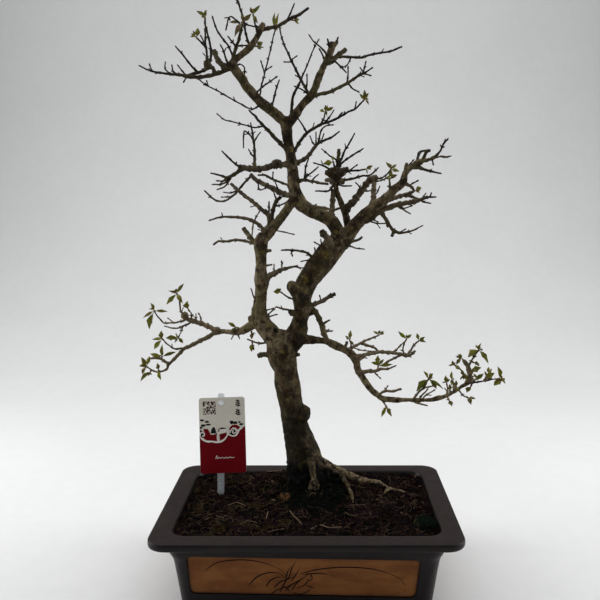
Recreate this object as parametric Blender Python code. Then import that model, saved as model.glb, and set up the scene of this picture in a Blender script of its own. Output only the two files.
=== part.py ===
"""Trident maple bonsai in its rectangular pot, with soil, surface roots, leafy shoots and a plant label.

Metres, +Z up. The origin is under the middle of the pot, on the surface that it stands on, and +X runs
along the pot's long side. The tree is drawn as strands: each is a list of places read from the front
view, with how far each lies behind the pot's middle, and sight() turns such a place into a real point.
"""

import math
import random

import bmesh
import bpy
import numpy as np
from mathutils import Matrix, Vector

MM = 0.001
GAP = 0.0003

# Pot, in metres
RIM_LENGTH = 0.330
RIM_DEPTH = 0.231
POT_HEIGHT = 0.094
FOOT_HEIGHT = 0.0115
FOOT_SIZE = (0.040, 0.030)
RIM_CORNER = 0.020
BODY_CORNER = 0.015
CORNER_STEPS = 4
# The outer and inner outline of the wall: how far in from the rim's edge, and how far below its top
OUTER_PROFILE = (
    (0.0015, 0.0), (0.0, 0.0017), (0.0, 0.0080), (0.0022, 0.0094), (0.0135, 0.0116),
    (0.0165, 0.0150), (0.0185, 0.0230), (0.0215, 0.0290), (0.0232, 0.0360),
)
BODY_FOOT_INSET = 0.0290
INNER_PROFILE = (
    (0.0205, 0.0), (0.0222, 0.0012), (0.0240, 0.0080), (0.0265, 0.0180), (0.0295, 0.0290), (0.0320, 0.0400),
)
FLOOR_INSET = 0.0370
FLOOR_THICKNESS = 0.009
PANEL_TOP = 0.0240
PANEL_HEIGHT = 0.0445
PANEL_MARGIN = 0.0145
PANEL_CORNER = 0.0040
PANEL_SPREAD = 0.0018
PANEL_DEPTH = 0.0016
DRAIN_RADIUS = 0.008
DRAIN_OFFSET = 0.062
SCREEN_SIDE = 0.028
SCREEN_THICKNESS = 0.0012
SCREEN_HOLE = 0.0052

# Soil, in metres: its edge lies this far below the rim, and a mound rises round the trunk
SOIL_EDGE_DROP = 0.0042
SOIL_MOUND = 0.0130
SOIL_MOUND_PLACE = (0.002, 0.044)
SOIL_MOUND_REACH = 0.062
SOIL_RELIEF = 0.0007
SOIL_RINGS = 7

# Moss clump near the front right corner
MOSS_RADIUS = 0.0130
MOSS_HEIGHT = 0.0100
MOSS_SUNK = 0.0025

# Label: a plastic card on a stake
CARD_SIZE = (0.0552, 0.0905)
CARD_THICKNESS = 0.0008
CARD_CORNER = 0.0032
CARD_HOLE_RADIUS = 0.0031
CARD_HOLE_DROP = 0.0068
CARD_HOLE_SHIFT = -0.0008
CARD_ROLL = math.radians(1.8)
LABEL_LEAN = math.radians(9)
STAKE_WIDTH = 0.0080
STAKE_THICKNESS = 0.0018
STAKE_RIB = 0.0006
STAKE_OVER_CARD = 0.0045
STAKE_IN_SOIL = 0.036
PEG_RADIUS = 0.0026

# Front view: the eye's place over the rim, its dip, and the view's centre and focal length in view units
EYE_ACROSS = 0.0172
EYE_DISTANCE = 0.8289
EYE_OVER_RIM = 0.3462
EYE_DIP = math.radians(7.66)
VIEW_CENTRE = (323.0, 300.0)
VIEW_FOCAL = 744.0

# Places in the front view
MOSS_PLACE = (422.5, 525)
LABEL_PLACE = (221, 495)
CARD_HOLE_PLACE = (221, 403)

# Main strands: places of (across, down, back in mm, thickness in mm)
TRUNK = (
    (311, 506, 52, 53), (310, 490, 52, 53), (308, 474, 52, 51), (305, 461, 51, 45), (302.5, 450, 50, 40.5),
    (297.5, 433.5, 48.5, 34), (294, 420, 47, 30), (290.5, 400, 45, 29.8), (287.2, 382, 43, 30.5),
    (284.9, 366, 42.5, 29.5), (282.6, 358, 41.5, 34.5), (282.5, 350, 40.5, 38), (283, 342, 40, 37),
    (283.5, 335, 39.5, 32), (284.5, 331.5, 39.5, 24),
)
LEFT_STEM = (
    (281, 346, 40, 25), (272.3, 335, 39, 24), (263.5, 325.5, 38, 22), (259.5, 315, 37, 20),
    (260, 303, 35, 15.5), (261, 291, 33, 15.5), (262, 281, 32, 17.5),
    (261, 270, 31, 14), (261, 259, 30, 12.8), (261, 249, 29, 16),
    (262, 240, 28, 16), (264, 234, 28, 12),
)
LEFT_BRIDGE = (
    (263, 240, 28, 12), (270, 232, 29, 12), (276, 224, 31, 11.5), (283, 215, 34, 11), (290, 205, 38, 11),
    (296, 197, 40, 10),
)
RIGHT_STEM = (
    (287, 349, 40, 25), (296, 335, 41, 25.5), (298.6, 328, 42, 22.5), (300, 321, 43, 19.5),
    (302.5, 311, 45, 20.5), (302, 299, 47, 22.5),
    (304, 288, 49, 24.5), (309, 279, 50, 26), (316, 269, 51, 28), (323.5, 260, 52, 29.5), (331, 250, 52, 28),
    (339, 241, 52, 24), (344, 234, 52, 17),
)
UPPER_STEM = (
    (342, 242, 52, 18), (337, 230, 51, 17), (331, 221, 50, 16), (322, 215, 48, 15.5), (311, 211, 46, 15.5),
    (301, 204, 43, 16), (295, 192, 40, 15), (293.5, 180, 38, 14), (292.5, 169, 37, 13.2),
    (291, 158, 36, 12.6), (289.5, 148, 36, 11.6), (288, 139, 36, 11.6), (286.5, 130, 35, 13),
    (285, 120, 34, 12.5), (285, 116, 34, 8),
)
LEFT_LEADER = (
    (287, 128, 34, 10), (281, 119, 34, 11.4), (272, 111, 33, 11.4), (260, 101, 31, 11), (248, 88, 28, 10.4),
    (240, 76, 25, 10.4), (232, 65, 22, 10.5), (229, 61, 21, 7),
)
RIGHT_LEADER = (
    (286, 129, 34, 10), (290, 122, 34, 10), (296, 114, 35, 10), (304, 103, 37, 9.5), (312, 94, 39, 9.5),
    (318, 80, 42, 8.4), (325, 64, 46, 8), (330, 52, 50, 8), (333, 42, 53, 8.6),
)
LEFT_HEAD = (
    (230, 66, 21, 9), (233, 62, 22, 8.5), (240, 56, 24, 8), (248, 49, 27, 7.6), (254, 42, 30, 7.2),
    (259, 33, 33, 7), (262, 27, 35, 7.6), (264, 23, 36, 5),
)
RIGHT_MAIN = (
    (341, 245, 52, 19), (345, 239, 51, 19), (352, 229, 49, 17), (362, 218, 45, 15.5), (373, 208, 40, 13.5),
    (385, 199, 33, 11.5), (395, 189, 25, 10), (403, 182, 18, 8.6), (405, 173, 13, 6.6), (412, 167, 7, 6),
    (419, 162, 3, 6.4), (427, 160, -4, 4.4), (434, 158, -8, 3.8), (440, 156.5, -12, 3), (446, 157, -16, 2.6),
    (453, 155.3, -21, 1.8),
)
BACK_STEM = (
    (343, 245, 54, 11), (345.5, 236, 57, 8.5), (347, 221, 60, 8.2), (344, 210, 62, 7.6), (340, 200, 64, 6.6),
    (336, 188, 66, 6.6), (335, 178, 67, 9),
)
RIGHT_UPPER = (
    (345, 214, 61, 7), (349, 206, 63, 8), (354, 201, 65, 8), (360, 193, 69, 7.6), (366, 185, 72, 7.2),
    (372, 179, 75, 8.2), (377, 177, 77, 7),
)
LOW_LEFT = (
    (262, 321, 38, 14), (255, 323.5, 41, 12), (249, 327, 44, 10.6), (244, 329.8, 47, 10), (239, 331.8, 50, 9),
    (232, 332, 55, 7.4),
    (225, 331.5, 59, 6.2), (217, 331, 63, 6.2),
)
LOW_RIGHT = (
    (289, 341, 37, 14), (300, 339.5, 36, 13), (309, 339.4, 34, 10.8), (319, 340.6, 32, 8.6),
    (327, 341.6, 30, 8.8), (334, 344.8, 27.5, 10), (339, 347, 26, 9.8), (345, 350, 24, 9.6),
    (352, 355, 21, 10), (356, 362, 19, 8.8), (358, 370, 16, 8.2), (363, 378, 13, 7.6),
    (369, 387, 9, 7.2), (376, 394, 5, 6.8), (382, 398, 1, 6.8), (392, 399.5, -3, 6.2),
    (405, 400, -9, 5.8), (420, 400, -15, 5.6), (434, 399, -20, 5.2), (448, 395, -26, 4.8),
    (455, 391, -30, 4.4), (462, 386, -35, 4), (470, 383, -39, 3.6), (478, 382, -42, 3.2),
    (485, 381, -45, 2.8), (493, 379, -48, 2.4), (498, 379, -50, 2),
)

# Twigs: how far each reaches back by its tip in mm, its thickness in mm at root and tip, then its route
LOW_LEFT_TWIGS = (
    (9, 6.0, 5.8, (219, 331), (211, 328), (205, 325), (197, 322), (190, 320), (185.5, 317.5)),
    (0, 5.8, 7.4, (186.5, 318), (184, 315), (183, 312.5)),
    (4, 5.8, 3.6, (219, 331), (214, 333), (208, 337), (200, 341), (190, 346), (184, 349), (178, 355),
     (172, 361), (168, 365)),
    (4, 2.2, 1.5, (200, 323), (201, 318), (199.5, 315)),
    (-3, 2.0, 1.5, (196, 322), (196, 315)),
    (4, 2.2, 1.5, (236, 331), (232, 338)),
    (-5, 2.2, 1.5, (236.5, 331), (239, 337.5)),
    (-3, 2.4, 1.6, (191, 320), (191.5, 314), (189.5, 311)),
    (8, 2.6, 1.6, (186, 319), (178, 322), (170, 323), (164, 323), (160, 319), (156, 314), (155, 312)),
    (5, 1.7, 1.4, (174, 323), (169, 319)),
    (-9, 2.5, 1.6, (191, 321), (183, 326), (178, 328), (172, 328), (166, 326.5)),
    (-6, 1.8, 1.4, (183, 326), (181, 332), (179, 336)),
    (-8, 2.4, 1.6, (183, 349), (175, 349), (170, 346), (166, 343), (163.5, 340)),
    (6, 3.6, 2.8, (169, 364), (164, 361), (160, 358.5), (155, 358), (150, 358.5)),
    (1, 2.8, 1.8, (168, 365), (167, 369), (163, 371), (158, 372), (152, 370), (148, 367.5)),
    (-6, 2.6, 1.7, (184, 315), (181, 311), (180, 305), (179, 298), (177.5, 295)),
)
TRUNK_TWIGS = (
    (14, 7.0, 5.6, (284, 356), (268, 355), (262, 354.8), (258.3, 356)),
    (-5, 7.0, 4.0, (290, 356), (296, 355), (299.8, 354.2)),
    (-4, 20.0, 14.5, (295, 415.5), (302, 413), (309.3, 412.8)),
)
LOW_RIGHT_TWIGS = (
    (-3, 6.5, 5.0, (354, 359), (358, 357), (361.5, 355.5)),
    (50, 5.0, 3.2, (357, 359), (365, 355), (372, 353), (380, 352), (390, 352.5), (400, 354), (407, 356),
     (412, 354), (415, 351)),
    (26, 3.8, 2.0, (347, 351), (352, 347.5), (357, 345), (365, 341), (370, 339), (378, 335.5)),
    (9, 3.4, 2.6, (362, 343), (366, 345), (370, 346), (375, 348), (378, 351)),
    (-16, 1.8, 1.4, (350, 353), (353, 348), (360, 350), (370, 351)),
    (-6, 2.4, 3.6, (344, 350), (346, 345), (347, 342)),
    (-7, 1.8, 1.4, (352, 347.5), (350.5, 343), (350, 341)),
    (9, 2.4, 1.5, (391, 353), (396, 350), (400, 346), (404, 342)),
    (-9, 2.2, 1.5, (404, 355), (403, 348), (405, 342), (406, 340)),
    (12, 3.2, 2.0, (408, 355), (411, 350), (416, 343), (418, 341.5)),
    (-16, 3.2, 2.4, (406, 355), (395, 358), (389, 361), (384, 364)),
    (-22, 5.6, 1.8, (358.5, 372), (363, 372), (368, 371), (375, 371), (381, 369), (387, 369), (394, 366.5)),
    (-5, 1.7, 1.4, (373, 371), (379, 377)),
    (4, 2.0, 1.5, (377, 370.5), (378, 367)),
    (-18, 3.2, 2.8, (378, 396), (385, 391), (390, 391.5), (401, 389)),
    (6, 2.0, 1.5, (384, 392), (387, 387)),
    (-6, 2.4, 1.7, (381, 398), (386, 406)),
    (14, 2.8, 2.2, (413, 400), (418, 393), (424, 388), (431, 386.5)),
    (-6, 2.0, 1.5, (424, 388), (427, 382), (428, 380)),
    (-9, 2.2, 1.8, (420, 399), (427, 390)),
    (9, 2.0, 1.6, (423, 399), (428, 394), (433, 391)),
    (-10, 2.2, 2.0, (414, 401), (419, 403.5), (425, 405)),
    (9, 2.5, 1.7, (447, 395), (447.5, 388), (447, 385)),
    (-8, 2.2, 1.6, (450, 394), (450, 391)),
    (16, 2.8, 1.8, (454, 391), (453.5, 385), (453, 382)),
    (-12, 2.0, 1.5, (456, 390), (456, 387)),
    (-6, 2.4, 1.7, (447, 396), (448.5, 399)),
    (-10, 2.0, 1.6, (458, 389), (464, 396), (466.5, 397)),
    (14, 6.4, 4.2, (469, 383), (469.5, 372), (467, 365), (463.5, 360.5)),
    (-7, 2.2, 1.6, (468.5, 379), (465, 375), (460, 369), (456.5, 366.5)),
    (-14, 2.4, 1.7, (468, 367), (472, 360), (476, 354), (478, 351)),
    (-9, 2.2, 1.8, (469, 376), (472, 373)),
    (9, 2.2, 1.7, (472, 382.5), (475.5, 379.5)),
    (10, 2.0, 1.6, (485, 381), (487, 377), (488, 374.5)),
)
LEFT_STEM_TWIGS = (
    (-14, 2.8, 1.8, (268, 342), (258, 343), (252, 341), (249.5, 340)),
    (-6, 2.2, 1.6, (255, 298), (251.5, 290)),
    (3, 9.4, 7.6, (257, 318.5), (252, 318.3), (248, 319)),
    (-17, 11.5, 9.5, (270, 335.5), (273.5, 333), (276, 330.5)),
    (-8, 2.4, 1.6, (267, 310), (271, 309)),
    (4, 2.4, 1.5, (266, 315), (272, 311), (275, 308)),
    (-5, 2.4, 1.8, (266, 316), (275, 315)),
    (4, 3.2, 2.4, (264, 266), (270, 265)),
    (-22, 8.4, 2.0, (263, 279), (270, 275.5), (275, 273), (281, 270), (288, 268), (296, 266)),
    (-4, 1.8, 1.4, (274, 273), (274, 266)),
    (4, 1.7, 1.3, (282, 270), (281.5, 263)),
    (-6, 1.8, 1.4, (294, 266.5), (303, 268), (309, 266)),
    (26, 5.6, 4.4, (268, 233), (271, 226), (272, 215), (274, 207), (277, 200), (281, 197)),
    (4, 2.6, 1.7, (277, 200.5), (275, 196), (274, 193)),
    (-4, 2.3, 1.6, (275.5, 205), (284, 203.5), (289, 200.5)),
    (5, 2.6, 2.2, (269.5, 228), (269, 213), (269, 204)),
    (48, 5.6, 3.8, (267, 231), (269.5, 224), (269, 217), (266, 213), (260, 208), (252, 201), (245, 196),
     (238, 190), (231, 184)),
    (-38, 4.8, 1.8, (264, 232), (258, 224), (252, 220.5), (243, 218), (232, 217), (222, 217), (217, 218),
     (211, 220)),
    (-4, 1.9, 1.4, (254.5, 221.5), (256, 217), (258.5, 213)),
    (4, 1.8, 1.4, (223, 217), (222, 214)),
    (-6, 1.9, 1.4, (253.5, 221), (252.5, 230), (252, 236)),
    (24, 3.8, 2.6, (258, 244), (252, 243), (245, 241), (236, 240), (226, 241.5), (218, 241.5), (215, 243.5)),
    (10, 6.4, 5.2, (259, 245), (250, 237), (243.5, 228)),
    (-6, 1.8, 1.4, (274, 230), (284, 232), (292, 234)),
    (-5, 4.4, 3.4, (262, 252), (267, 251), (271, 250.5)),
)
RIGHT_STEM_TWIGS = (
    (-14, 20.0, 12.5, (303, 300), (297, 292.5), (291.2, 286.5)),
    (-13, 15.5, 12.0, (304, 308), (308.5, 310.3), (312, 311.5)),
    (-12, 3.0, 1.6, (299, 298), (290, 298), (284, 294.5), (282, 293)),
    (-13, 3.2, 2.2, (299, 314), (294, 313), (288.5, 310), (283, 309), (278, 307.5)),
    (-13, 8.2, 6.2, (300, 316), (295, 314), (290, 311.5)),
    (-14, 5.2, 4.4, (308, 306), (315, 304), (322, 301), (329, 297), (335, 294)),
    (-4, 2.0, 1.6, (321, 301), (320, 297)),
    (-15, 6.6, 6.0, (308, 304), (312, 308), (316, 313), (320, 321), (323, 330), (326, 339), (328, 342)),
    (-3, 3.4, 2.4, (322, 324), (327.5, 321)),
    (3, 3.4, 2.4, (324, 331), (330, 331)),
    (-22, 8.4, 7.4, (336, 254), (333, 248), (328, 240), (322, 231)),
    (-20, 3.6, 2.2, (319, 263), (314, 260), (312, 257), (307, 253), (300, 251), (290, 250), (284, 250)),
    (3, 1.8, 1.4, (291, 250), (292, 254)),
    (-4, 2.0, 1.5, (312, 259), (303, 261)),
    (-8, 2.8, 2.0, (322, 262), (316, 256), (315, 250)),
    (-8, 2.6, 1.8, (327, 253), (321, 246), (316, 243)),
    (-3, 2.0, 1.6, (322, 247), (321, 241)),
    (14, 4.2, 3.0, (340, 246), (347, 243), (353, 241), (360, 239), (362, 237)),
    (10, 2.4, 1.6, (340, 247), (350, 246), (355, 248), (363, 249)),
    (-16, 4.4, 4.0, (306, 283), (302, 279), (299, 277)),
)
UPPER_STEM_TWIGS = (
    (16, 6.4, 5.8, (331, 221), (332, 208), (333, 196), (333, 190)),
    (-16, 3.8, 2.6, (302, 204), (313, 206), (325, 208), (333, 210), (340, 208), (345, 205)),
    (-26, 3.6, 2.8, (296, 181), (301, 180), (310, 181), (320, 183), (328, 184)),
    (-5, 2.4, 1.6, (305, 180.5), (307, 176), (311, 173), (317, 168)),
    (4, 2.0, 1.6, (312, 181), (314, 178), (317, 175.5)),
    (8, 3.0, 1.8, (298, 182), (303, 180), (306, 166), (308, 160)),
    (-22, 5.6, 2.2, (290, 151), (287, 149), (281, 144), (275, 138), (268, 130), (262, 124), (258, 120),
     (255, 116), (250.5, 112)),
    (8, 1.9, 1.4, (264, 126), (255, 127.5), (247, 125.5), (237, 123), (230, 121), (225, 120), (218.5, 115)),
    (-42, 7.0, 6.0, (291, 164), (280, 165), (272, 166), (262, 168.5), (252, 169), (244, 168), (239.5, 166.5)),
    (-1, 8.2, 6.4, (279, 165), (276, 163.5), (273, 164.5)),
    (-6, 4.6, 3.4, (243, 168), (240, 170), (235, 174), (230, 176.5), (226, 178)),
    (4, 2.8, 1.9, (227, 178), (222, 176), (213, 173.5)),
    (-4, 2.2, 1.7, (226, 178), (223, 181), (219, 181)),
    (5, 2.2, 1.7, (229, 178), (222, 184), (214, 184.5)),
    (-6, 2.2, 1.7, (230.5, 177), (228, 182), (224, 187), (219, 189)),
    (-6, 2.5, 2.0, (240, 167), (233, 162), (228, 157), (224, 153)),
    (22, 3.6, 1.9, (254.5, 169), (254.5, 155), (254, 145), (253, 138), (252, 130), (251, 125)),
    (-5, 2.0, 1.5, (253, 139), (248, 133), (244.5, 131), (243.7, 135), (243.5, 146)),
    (4, 1.9, 1.4, (254, 142), (257, 137), (259.5, 133.5)),
    (-4, 1.9, 1.5, (254.5, 157), (252, 155), (249.5, 151)),
    (34, 7.0, 5.0, (294, 194), (287, 195), (280, 192), (270, 187), (262, 183), (254, 178), (250.5, 175)),
    (20, 3.0, 2.2, (251.5, 175.5), (246, 181), (240, 188), (236, 193), (231, 197), (225, 201), (218, 201),
     (212, 198), (206, 192)),
    (-5, 1.9, 1.5, (238, 190), (230, 193), (225, 192.5)),
    (5, 1.9, 1.5, (232, 196.5), (223, 197)),
    (-5, 2.0, 1.5, (259, 182), (260, 190), (264, 189)),
    (18, 3.0, 2.4, (292, 186), (288, 185), (280, 182), (272, 179), (265, 175), (260, 175)),
    (-4, 1.9, 1.5, (272.5, 179), (273, 174)),
    (-5, 2.0, 1.6, (279, 191), (276, 184)),
    (-14, 4.2, 1.8, (291, 154), (296, 148), (301, 140), (306, 134), (313, 129), (320, 125), (328, 122),
     (338, 118), (350, 111), (355, 109), (360, 104), (363, 101)),
    (-5, 2.0, 1.4, (324, 123.5), (328, 119), (333, 111.5)),
    (4, 1.8, 1.5, (355, 109), (356, 103)),
    (-6, 2.4, 1.6, (320, 125.5), (324, 118), (325, 113.5)),
    (4, 2.0, 2.4, (338, 118), (341, 114)),
    (5, 2.4, 1.6, (307, 133), (303, 126), (299, 120)),
    (26, 5.6, 2.0, (292, 164), (297, 163), (303, 160), (309, 155), (314, 148), (319, 143), (325, 140),
     (332, 137), (338, 132.5)),
    (-4, 2.0, 1.5, (316, 146), (316, 134)),
    (4, 2.0, 1.5, (316, 146), (313, 143), (310.5, 137.5)),
    (-4, 1.9, 1.5, (321, 142), (323.5, 135)),
    (6, 2.2, 1.6, (318, 144), (320, 135), (322, 129), (326, 126), (331, 125)),
    (6, 6.0, 4.4, (287, 124), (290, 118), (291.5, 115)),
    (-6, 3.6, 2.6, (291, 117), (292, 105), (293, 96), (296, 90), (300, 82)),
)
BACK_TWIGS = (
    (0, 12.0, 9.0, (336, 184), (334.5, 175), (334, 167)),
    (-7, 11.0, 6.0, (334, 176), (329, 173), (326, 172)),
    (-5, 10.0, 7.0, (335, 177), (341, 174), (345, 172)),
    (6, 9.0, 5.0, (335, 179), (341, 181), (344, 183)),
    (4, 5.0, 4.0, (336, 170), (338, 160), (339, 149)),
    (-9, 3.0, 1.8, (336, 168), (341, 160), (345, 150), (350, 142), (353.5, 135.5)),
    (5, 3.0, 2.0, (337, 169), (342, 163), (350, 157), (361, 150)),
    (-6, 2.4, 1.5, (336, 168), (337, 161), (330, 156), (323, 150)),
    (-4, 2.4, 2.0, (334.5, 170), (334, 165), (333.5, 163)),
    (-7, 3.0, 1.8, (332, 173), (325, 166.5), (316, 163.5)),
    (-8, 5.8, 5.0, (341, 172), (348, 168.5)),
    (6, 3.2, 2.0, (343, 173), (349, 171), (358, 170.5), (364, 169.5)),
    (-3, 2.0, 1.6, (349, 171), (355.5, 166)),
    (9, 3.4, 1.9, (340, 180), (343, 180), (353, 178.5), (362, 176), (370, 175), (377, 169)),
    (5, 2.6, 2.0, (337, 184), (343, 186), (349, 186)),
    (-8, 2.8, 2.0, (334, 185), (330, 190), (318, 191)),
    (10, 6.0, 5.0, (335, 183), (329, 180), (326, 180)),
)
RIGHT_MAIN_TWIGS = (
    (18, 6.0, 5.4, (373, 207), (373.5, 198), (373.5, 190), (374.5, 183)),
    (-4, 2.2, 1.6, (375.5, 194), (379, 188)),
    (-8, 7.6, 5.4, (366, 219), (380, 211), (390, 207), (400, 204), (407, 203), (414, 202)),
    (-5, 5.0, 2.0, (413, 202), (420, 200), (425, 198), (430, 197), (433.5, 197)),
    (4, 2.0, 1.5, (421.5, 199), (425, 194.5)),
    (-3, 1.9, 1.5, (430, 197), (431, 194)),
    (14, 6.2, 4.6, (382, 203), (388, 200), (394, 198), (400, 196), (407, 195)),
    (6, 3.6, 1.9, (406, 195), (413, 197), (420, 200), (424, 202), (428.5, 203)),
    (-4, 4.4, 3.2, (405, 195.5), (409, 193.5), (413.5, 191.5)),
    (-5, 2.0, 1.4, (388, 196), (394, 194), (398, 190.5)),
    (-5, 2.4, 1.6, (398, 206), (402, 208.5), (410, 206.5)),
    (4, 2.4, 1.8, (400, 206), (404, 210), (409, 213)),
    (-6, 2.2, 1.6, (364, 218), (371, 221.5), (377, 223.5), (383, 223.5)),
    (4, 2.2, 1.8, (366, 217), (372, 219.5), (376, 221)),
    (-12, 5.0, 3.4, (379, 211), (384, 216), (387, 221), (390, 226), (393, 230), (396, 232)),
    (8, 3.2, 1.5, (395, 231.5), (400, 233), (407, 232), (414, 230), (421, 226.5)),
    (-3, 3.6, 3.4, (394, 231), (392, 236.5)),
    (-3, 2.0, 1.6, (399, 233), (404, 230)),
    (5, 3.2, 3.2, (386, 219), (388, 227)),
    (-8, 4.0, 2.8, (403, 183), (408, 185), (412, 188), (414, 190.5)),
    (-4, 2.0, 1.6, (410, 185.5), (416, 181.7)),
    (9, 4.6, 3.6, (404, 178), (405, 172), (406, 166), (407, 163.5)),
    (-3, 2.0, 1.5, (406.5, 166.5), (412, 161.7)),
    (-10, 4.4, 1.8, (392, 192), (390, 186), (389.5, 181)),
    (-4, 6.6, 5.6, (415, 165), (418, 167)),
    (-9, 3.8, 1.9, (417, 166.5), (424, 169.5), (430, 171), (438.5, 173)),
    (9, 3.6, 2.6, (417, 164), (418, 157), (420, 152), (423, 151)),
    (-4, 4.2, 3.4, (420, 163), (425, 155), (427, 151), (430.5, 150.5)),
    (6, 3.0, 1.8, (432, 158.5), (438, 154), (440, 151.5), (442, 147), (444.5, 141.5)),
    (-3, 1.8, 1.6, (443, 144.5), (446.5, 140.8)),
    (-3, 1.9, 1.6, (432, 159), (433, 163)),
)
RIGHT_UPPER_TWIGS = (
    (-10, 2.4, 1.7, (376, 178), (380, 178.5), (386, 175), (390, 170.5)),
    (6, 2.2, 1.8, (374, 181), (379, 181), (384, 179.5), (388, 177)),
    (8, 2.6, 2.0, (362, 190), (366, 191), (369, 191)),
    (-5, 2.2, 1.6, (361, 191), (359, 186), (357, 184)),
)
LEFT_LEADER_TWIGS = (
    (-12, 1.9, 1.5, (262, 103), (253, 109), (240, 103.5), (230, 98), (216, 90), (208, 86), (202, 82),
     (197, 77)),
    (3, 1.6, 1.4, (208, 86), (207, 82)),
    (10, 2.6, 1.8, (270, 110), (273, 102), (276, 90), (278.5, 82)),
    (-6, 2.2, 1.6, (251, 92), (254, 94), (261, 88), (268, 83), (275, 78)),
    (16, 2.0, 1.5, (257, 99), (259, 97), (261, 88), (263, 80), (265.5, 70), (268, 60), (271, 48), (273, 38),
     (275, 31)),
    (-3, 1.6, 1.4, (264.5, 73), (261.5, 63)),
    (3, 1.6, 1.4, (266, 70), (270, 67.5)),
    (8, 1.9, 1.5, (235, 69), (240, 64), (244, 67), (244.5, 75)),
    (-14, 5.0, 3.6, (232, 67), (222, 72), (212, 75), (200, 77), (188, 77), (184, 76)),
    (4, 4.0, 3.2, (215, 74), (212, 67.5), (205, 70), (197, 73), (186, 75.5)),
    (-4, 7.0, 6.4, (209, 68.5), (207, 63.5), (206.5, 61)),
    (-12, 3.4, 1.6, (186, 76), (180, 75), (170, 74), (155, 72), (148, 70), (141, 66.5)),
    (-4, 1.8, 1.4, (170, 74), (165, 68), (165, 64)),
    (5, 2.4, 1.7, (184, 76), (173, 71), (172, 67)),
    (-4, 2.0, 1.5, (186, 75.5), (179, 67)),
    (4, 1.9, 1.5, (187, 76.5), (184.5, 80.5)),
    (3, 1.7, 1.4, (152, 71), (150, 66)),
    (-10, 2.6, 1.8, (198, 73), (190, 64), (183, 55), (177, 48)),
    (8, 3.0, 2.0, (208, 64), (211, 52), (209.5, 42), (207, 32), (205, 22), (205, 19)),
    (-8, 2.8, 1.9, (207, 62), (206.5, 50), (205.5, 45), (205.5, 38), (205, 31)),
    (-3, 2.2, 1.7, (206, 47.5), (202, 43), (197.8, 39)),
    (4, 1.9, 1.6, (205, 44), (201.5, 37)),
    (12, 6.2, 5.4, (225, 68), (219, 62), (214, 50)),
    (4, 2.4, 1.8, (231, 62), (229, 47), (222, 38), (217, 30), (213, 19)),
    (-8, 2.4, 1.8, (229, 64), (226, 59), (223, 50), (221.5, 47)),
)
LEFT_HEAD_TWIGS = (
    (14, 4.6, 3.0, (261, 29), (270, 28), (278, 26), (283, 23), (290, 19), (300, 14), (308.5, 8)),
    (-4, 2.2, 1.7, (287, 20.5), (291, 12), (293.5, 6)),
    (-6, 2.0, 1.6, (260, 28), (252, 26), (248, 25), (245, 23)),
    (-10, 4.0, 2.8, (233, 62), (235, 50), (238, 42), (241, 30), (242, 24)),
    (14, 2.8, 2.2, (250, 47.5), (248, 42), (245.5, 32), (243.5, 20), (242, 14), (240, 8), (238, 1)),
    (-5, 2.2, 1.7, (236.5, 47), (229.5, 38.5)),
    (5, 2.0, 1.7, (237, 46), (245, 45.5)),
    (-6, 2.0, 1.5, (241.5, 26), (235, 19), (230.5, 16.5), (228.5, 19), (226.5, 27.5)),
    (4, 1.8, 1.6, (239.5, 6), (236, -0.5)),
    (-8, 2.2, 1.6, (258, 36), (255, 24), (253.5, 16.5)),
)
RIGHT_LEADER_TWIGS = (
    (3, 5.0, 2.4, (333, 46), (335, 45), (337.5, 39.5)),
    (-4, 3.6, 2.2, (330.5, 50), (329, 45), (328, 41)),
    (-8, 2.6, 1.8, (327.5, 58), (325, 52), (322, 48.5)),
    (4, 2.4, 1.8, (325.5, 63), (323, 56), (320.5, 51)),
    (5, 2.0, 1.6, (325, 52), (318, 45), (314, 42), (310, 36.5)),
    (8, 6.2, 5.2, (328, 62), (334, 59), (341, 53), (346, 49)),
    (26, 3.2, 2.2, (327, 61), (340, 57), (350, 57), (361, 57.5), (370, 55), (380, 53), (390, 51.5),
     (400, 47.5)),
    (-5, 1.8, 1.5, (351, 57), (349, 62), (347, 65), (344, 67)),
    (-7, 2.6, 1.8, (327, 60), (334, 61), (340, 66), (345, 71)),
    (-3, 5.4, 5.0, (326, 62), (332.5, 62)),
    (-34, 4.4, 2.8, (312, 95), (320, 94), (330, 92), (338, 88), (347, 83.5), (355, 78), (362, 74), (365, 73)),
    (-3, 2.0, 1.6, (364, 73.5), (361, 69)),
    (3, 2.0, 1.6, (363, 73.5), (365.5, 63.5)),
    (-3, 2.0, 1.6, (364.5, 73), (370.5, 69)),
    (3, 2.0, 1.6, (364, 73.5), (369, 75)),
    (-5, 2.2, 1.6, (347, 83.5), (348, 75), (348, 69)),
    (4, 2.0, 1.6, (348, 83), (353, 89), (357, 91)),
    (26, 3.6, 1.6, (311, 97), (309, 94), (304, 85), (300, 78), (295, 68), (292, 62), (288, 53), (284, 44),
     (281, 35), (279.5, 26)),
    (-3, 1.7, 1.5, (292.3, 62), (286, 62)),
    (3, 1.7, 1.5, (291, 60), (295.5, 57)),
    (-6, 2.0, 1.4, (301, 80), (302, 77), (306, 68), (310, 58), (314, 48), (318, 41)),
    (-4, 2.0, 1.6, (309, 95), (304, 91), (299, 88), (296.5, 87)),
    (-3, 2.0, 1.6, (306, 89), (307, 83), (307, 77)),
)

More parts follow.
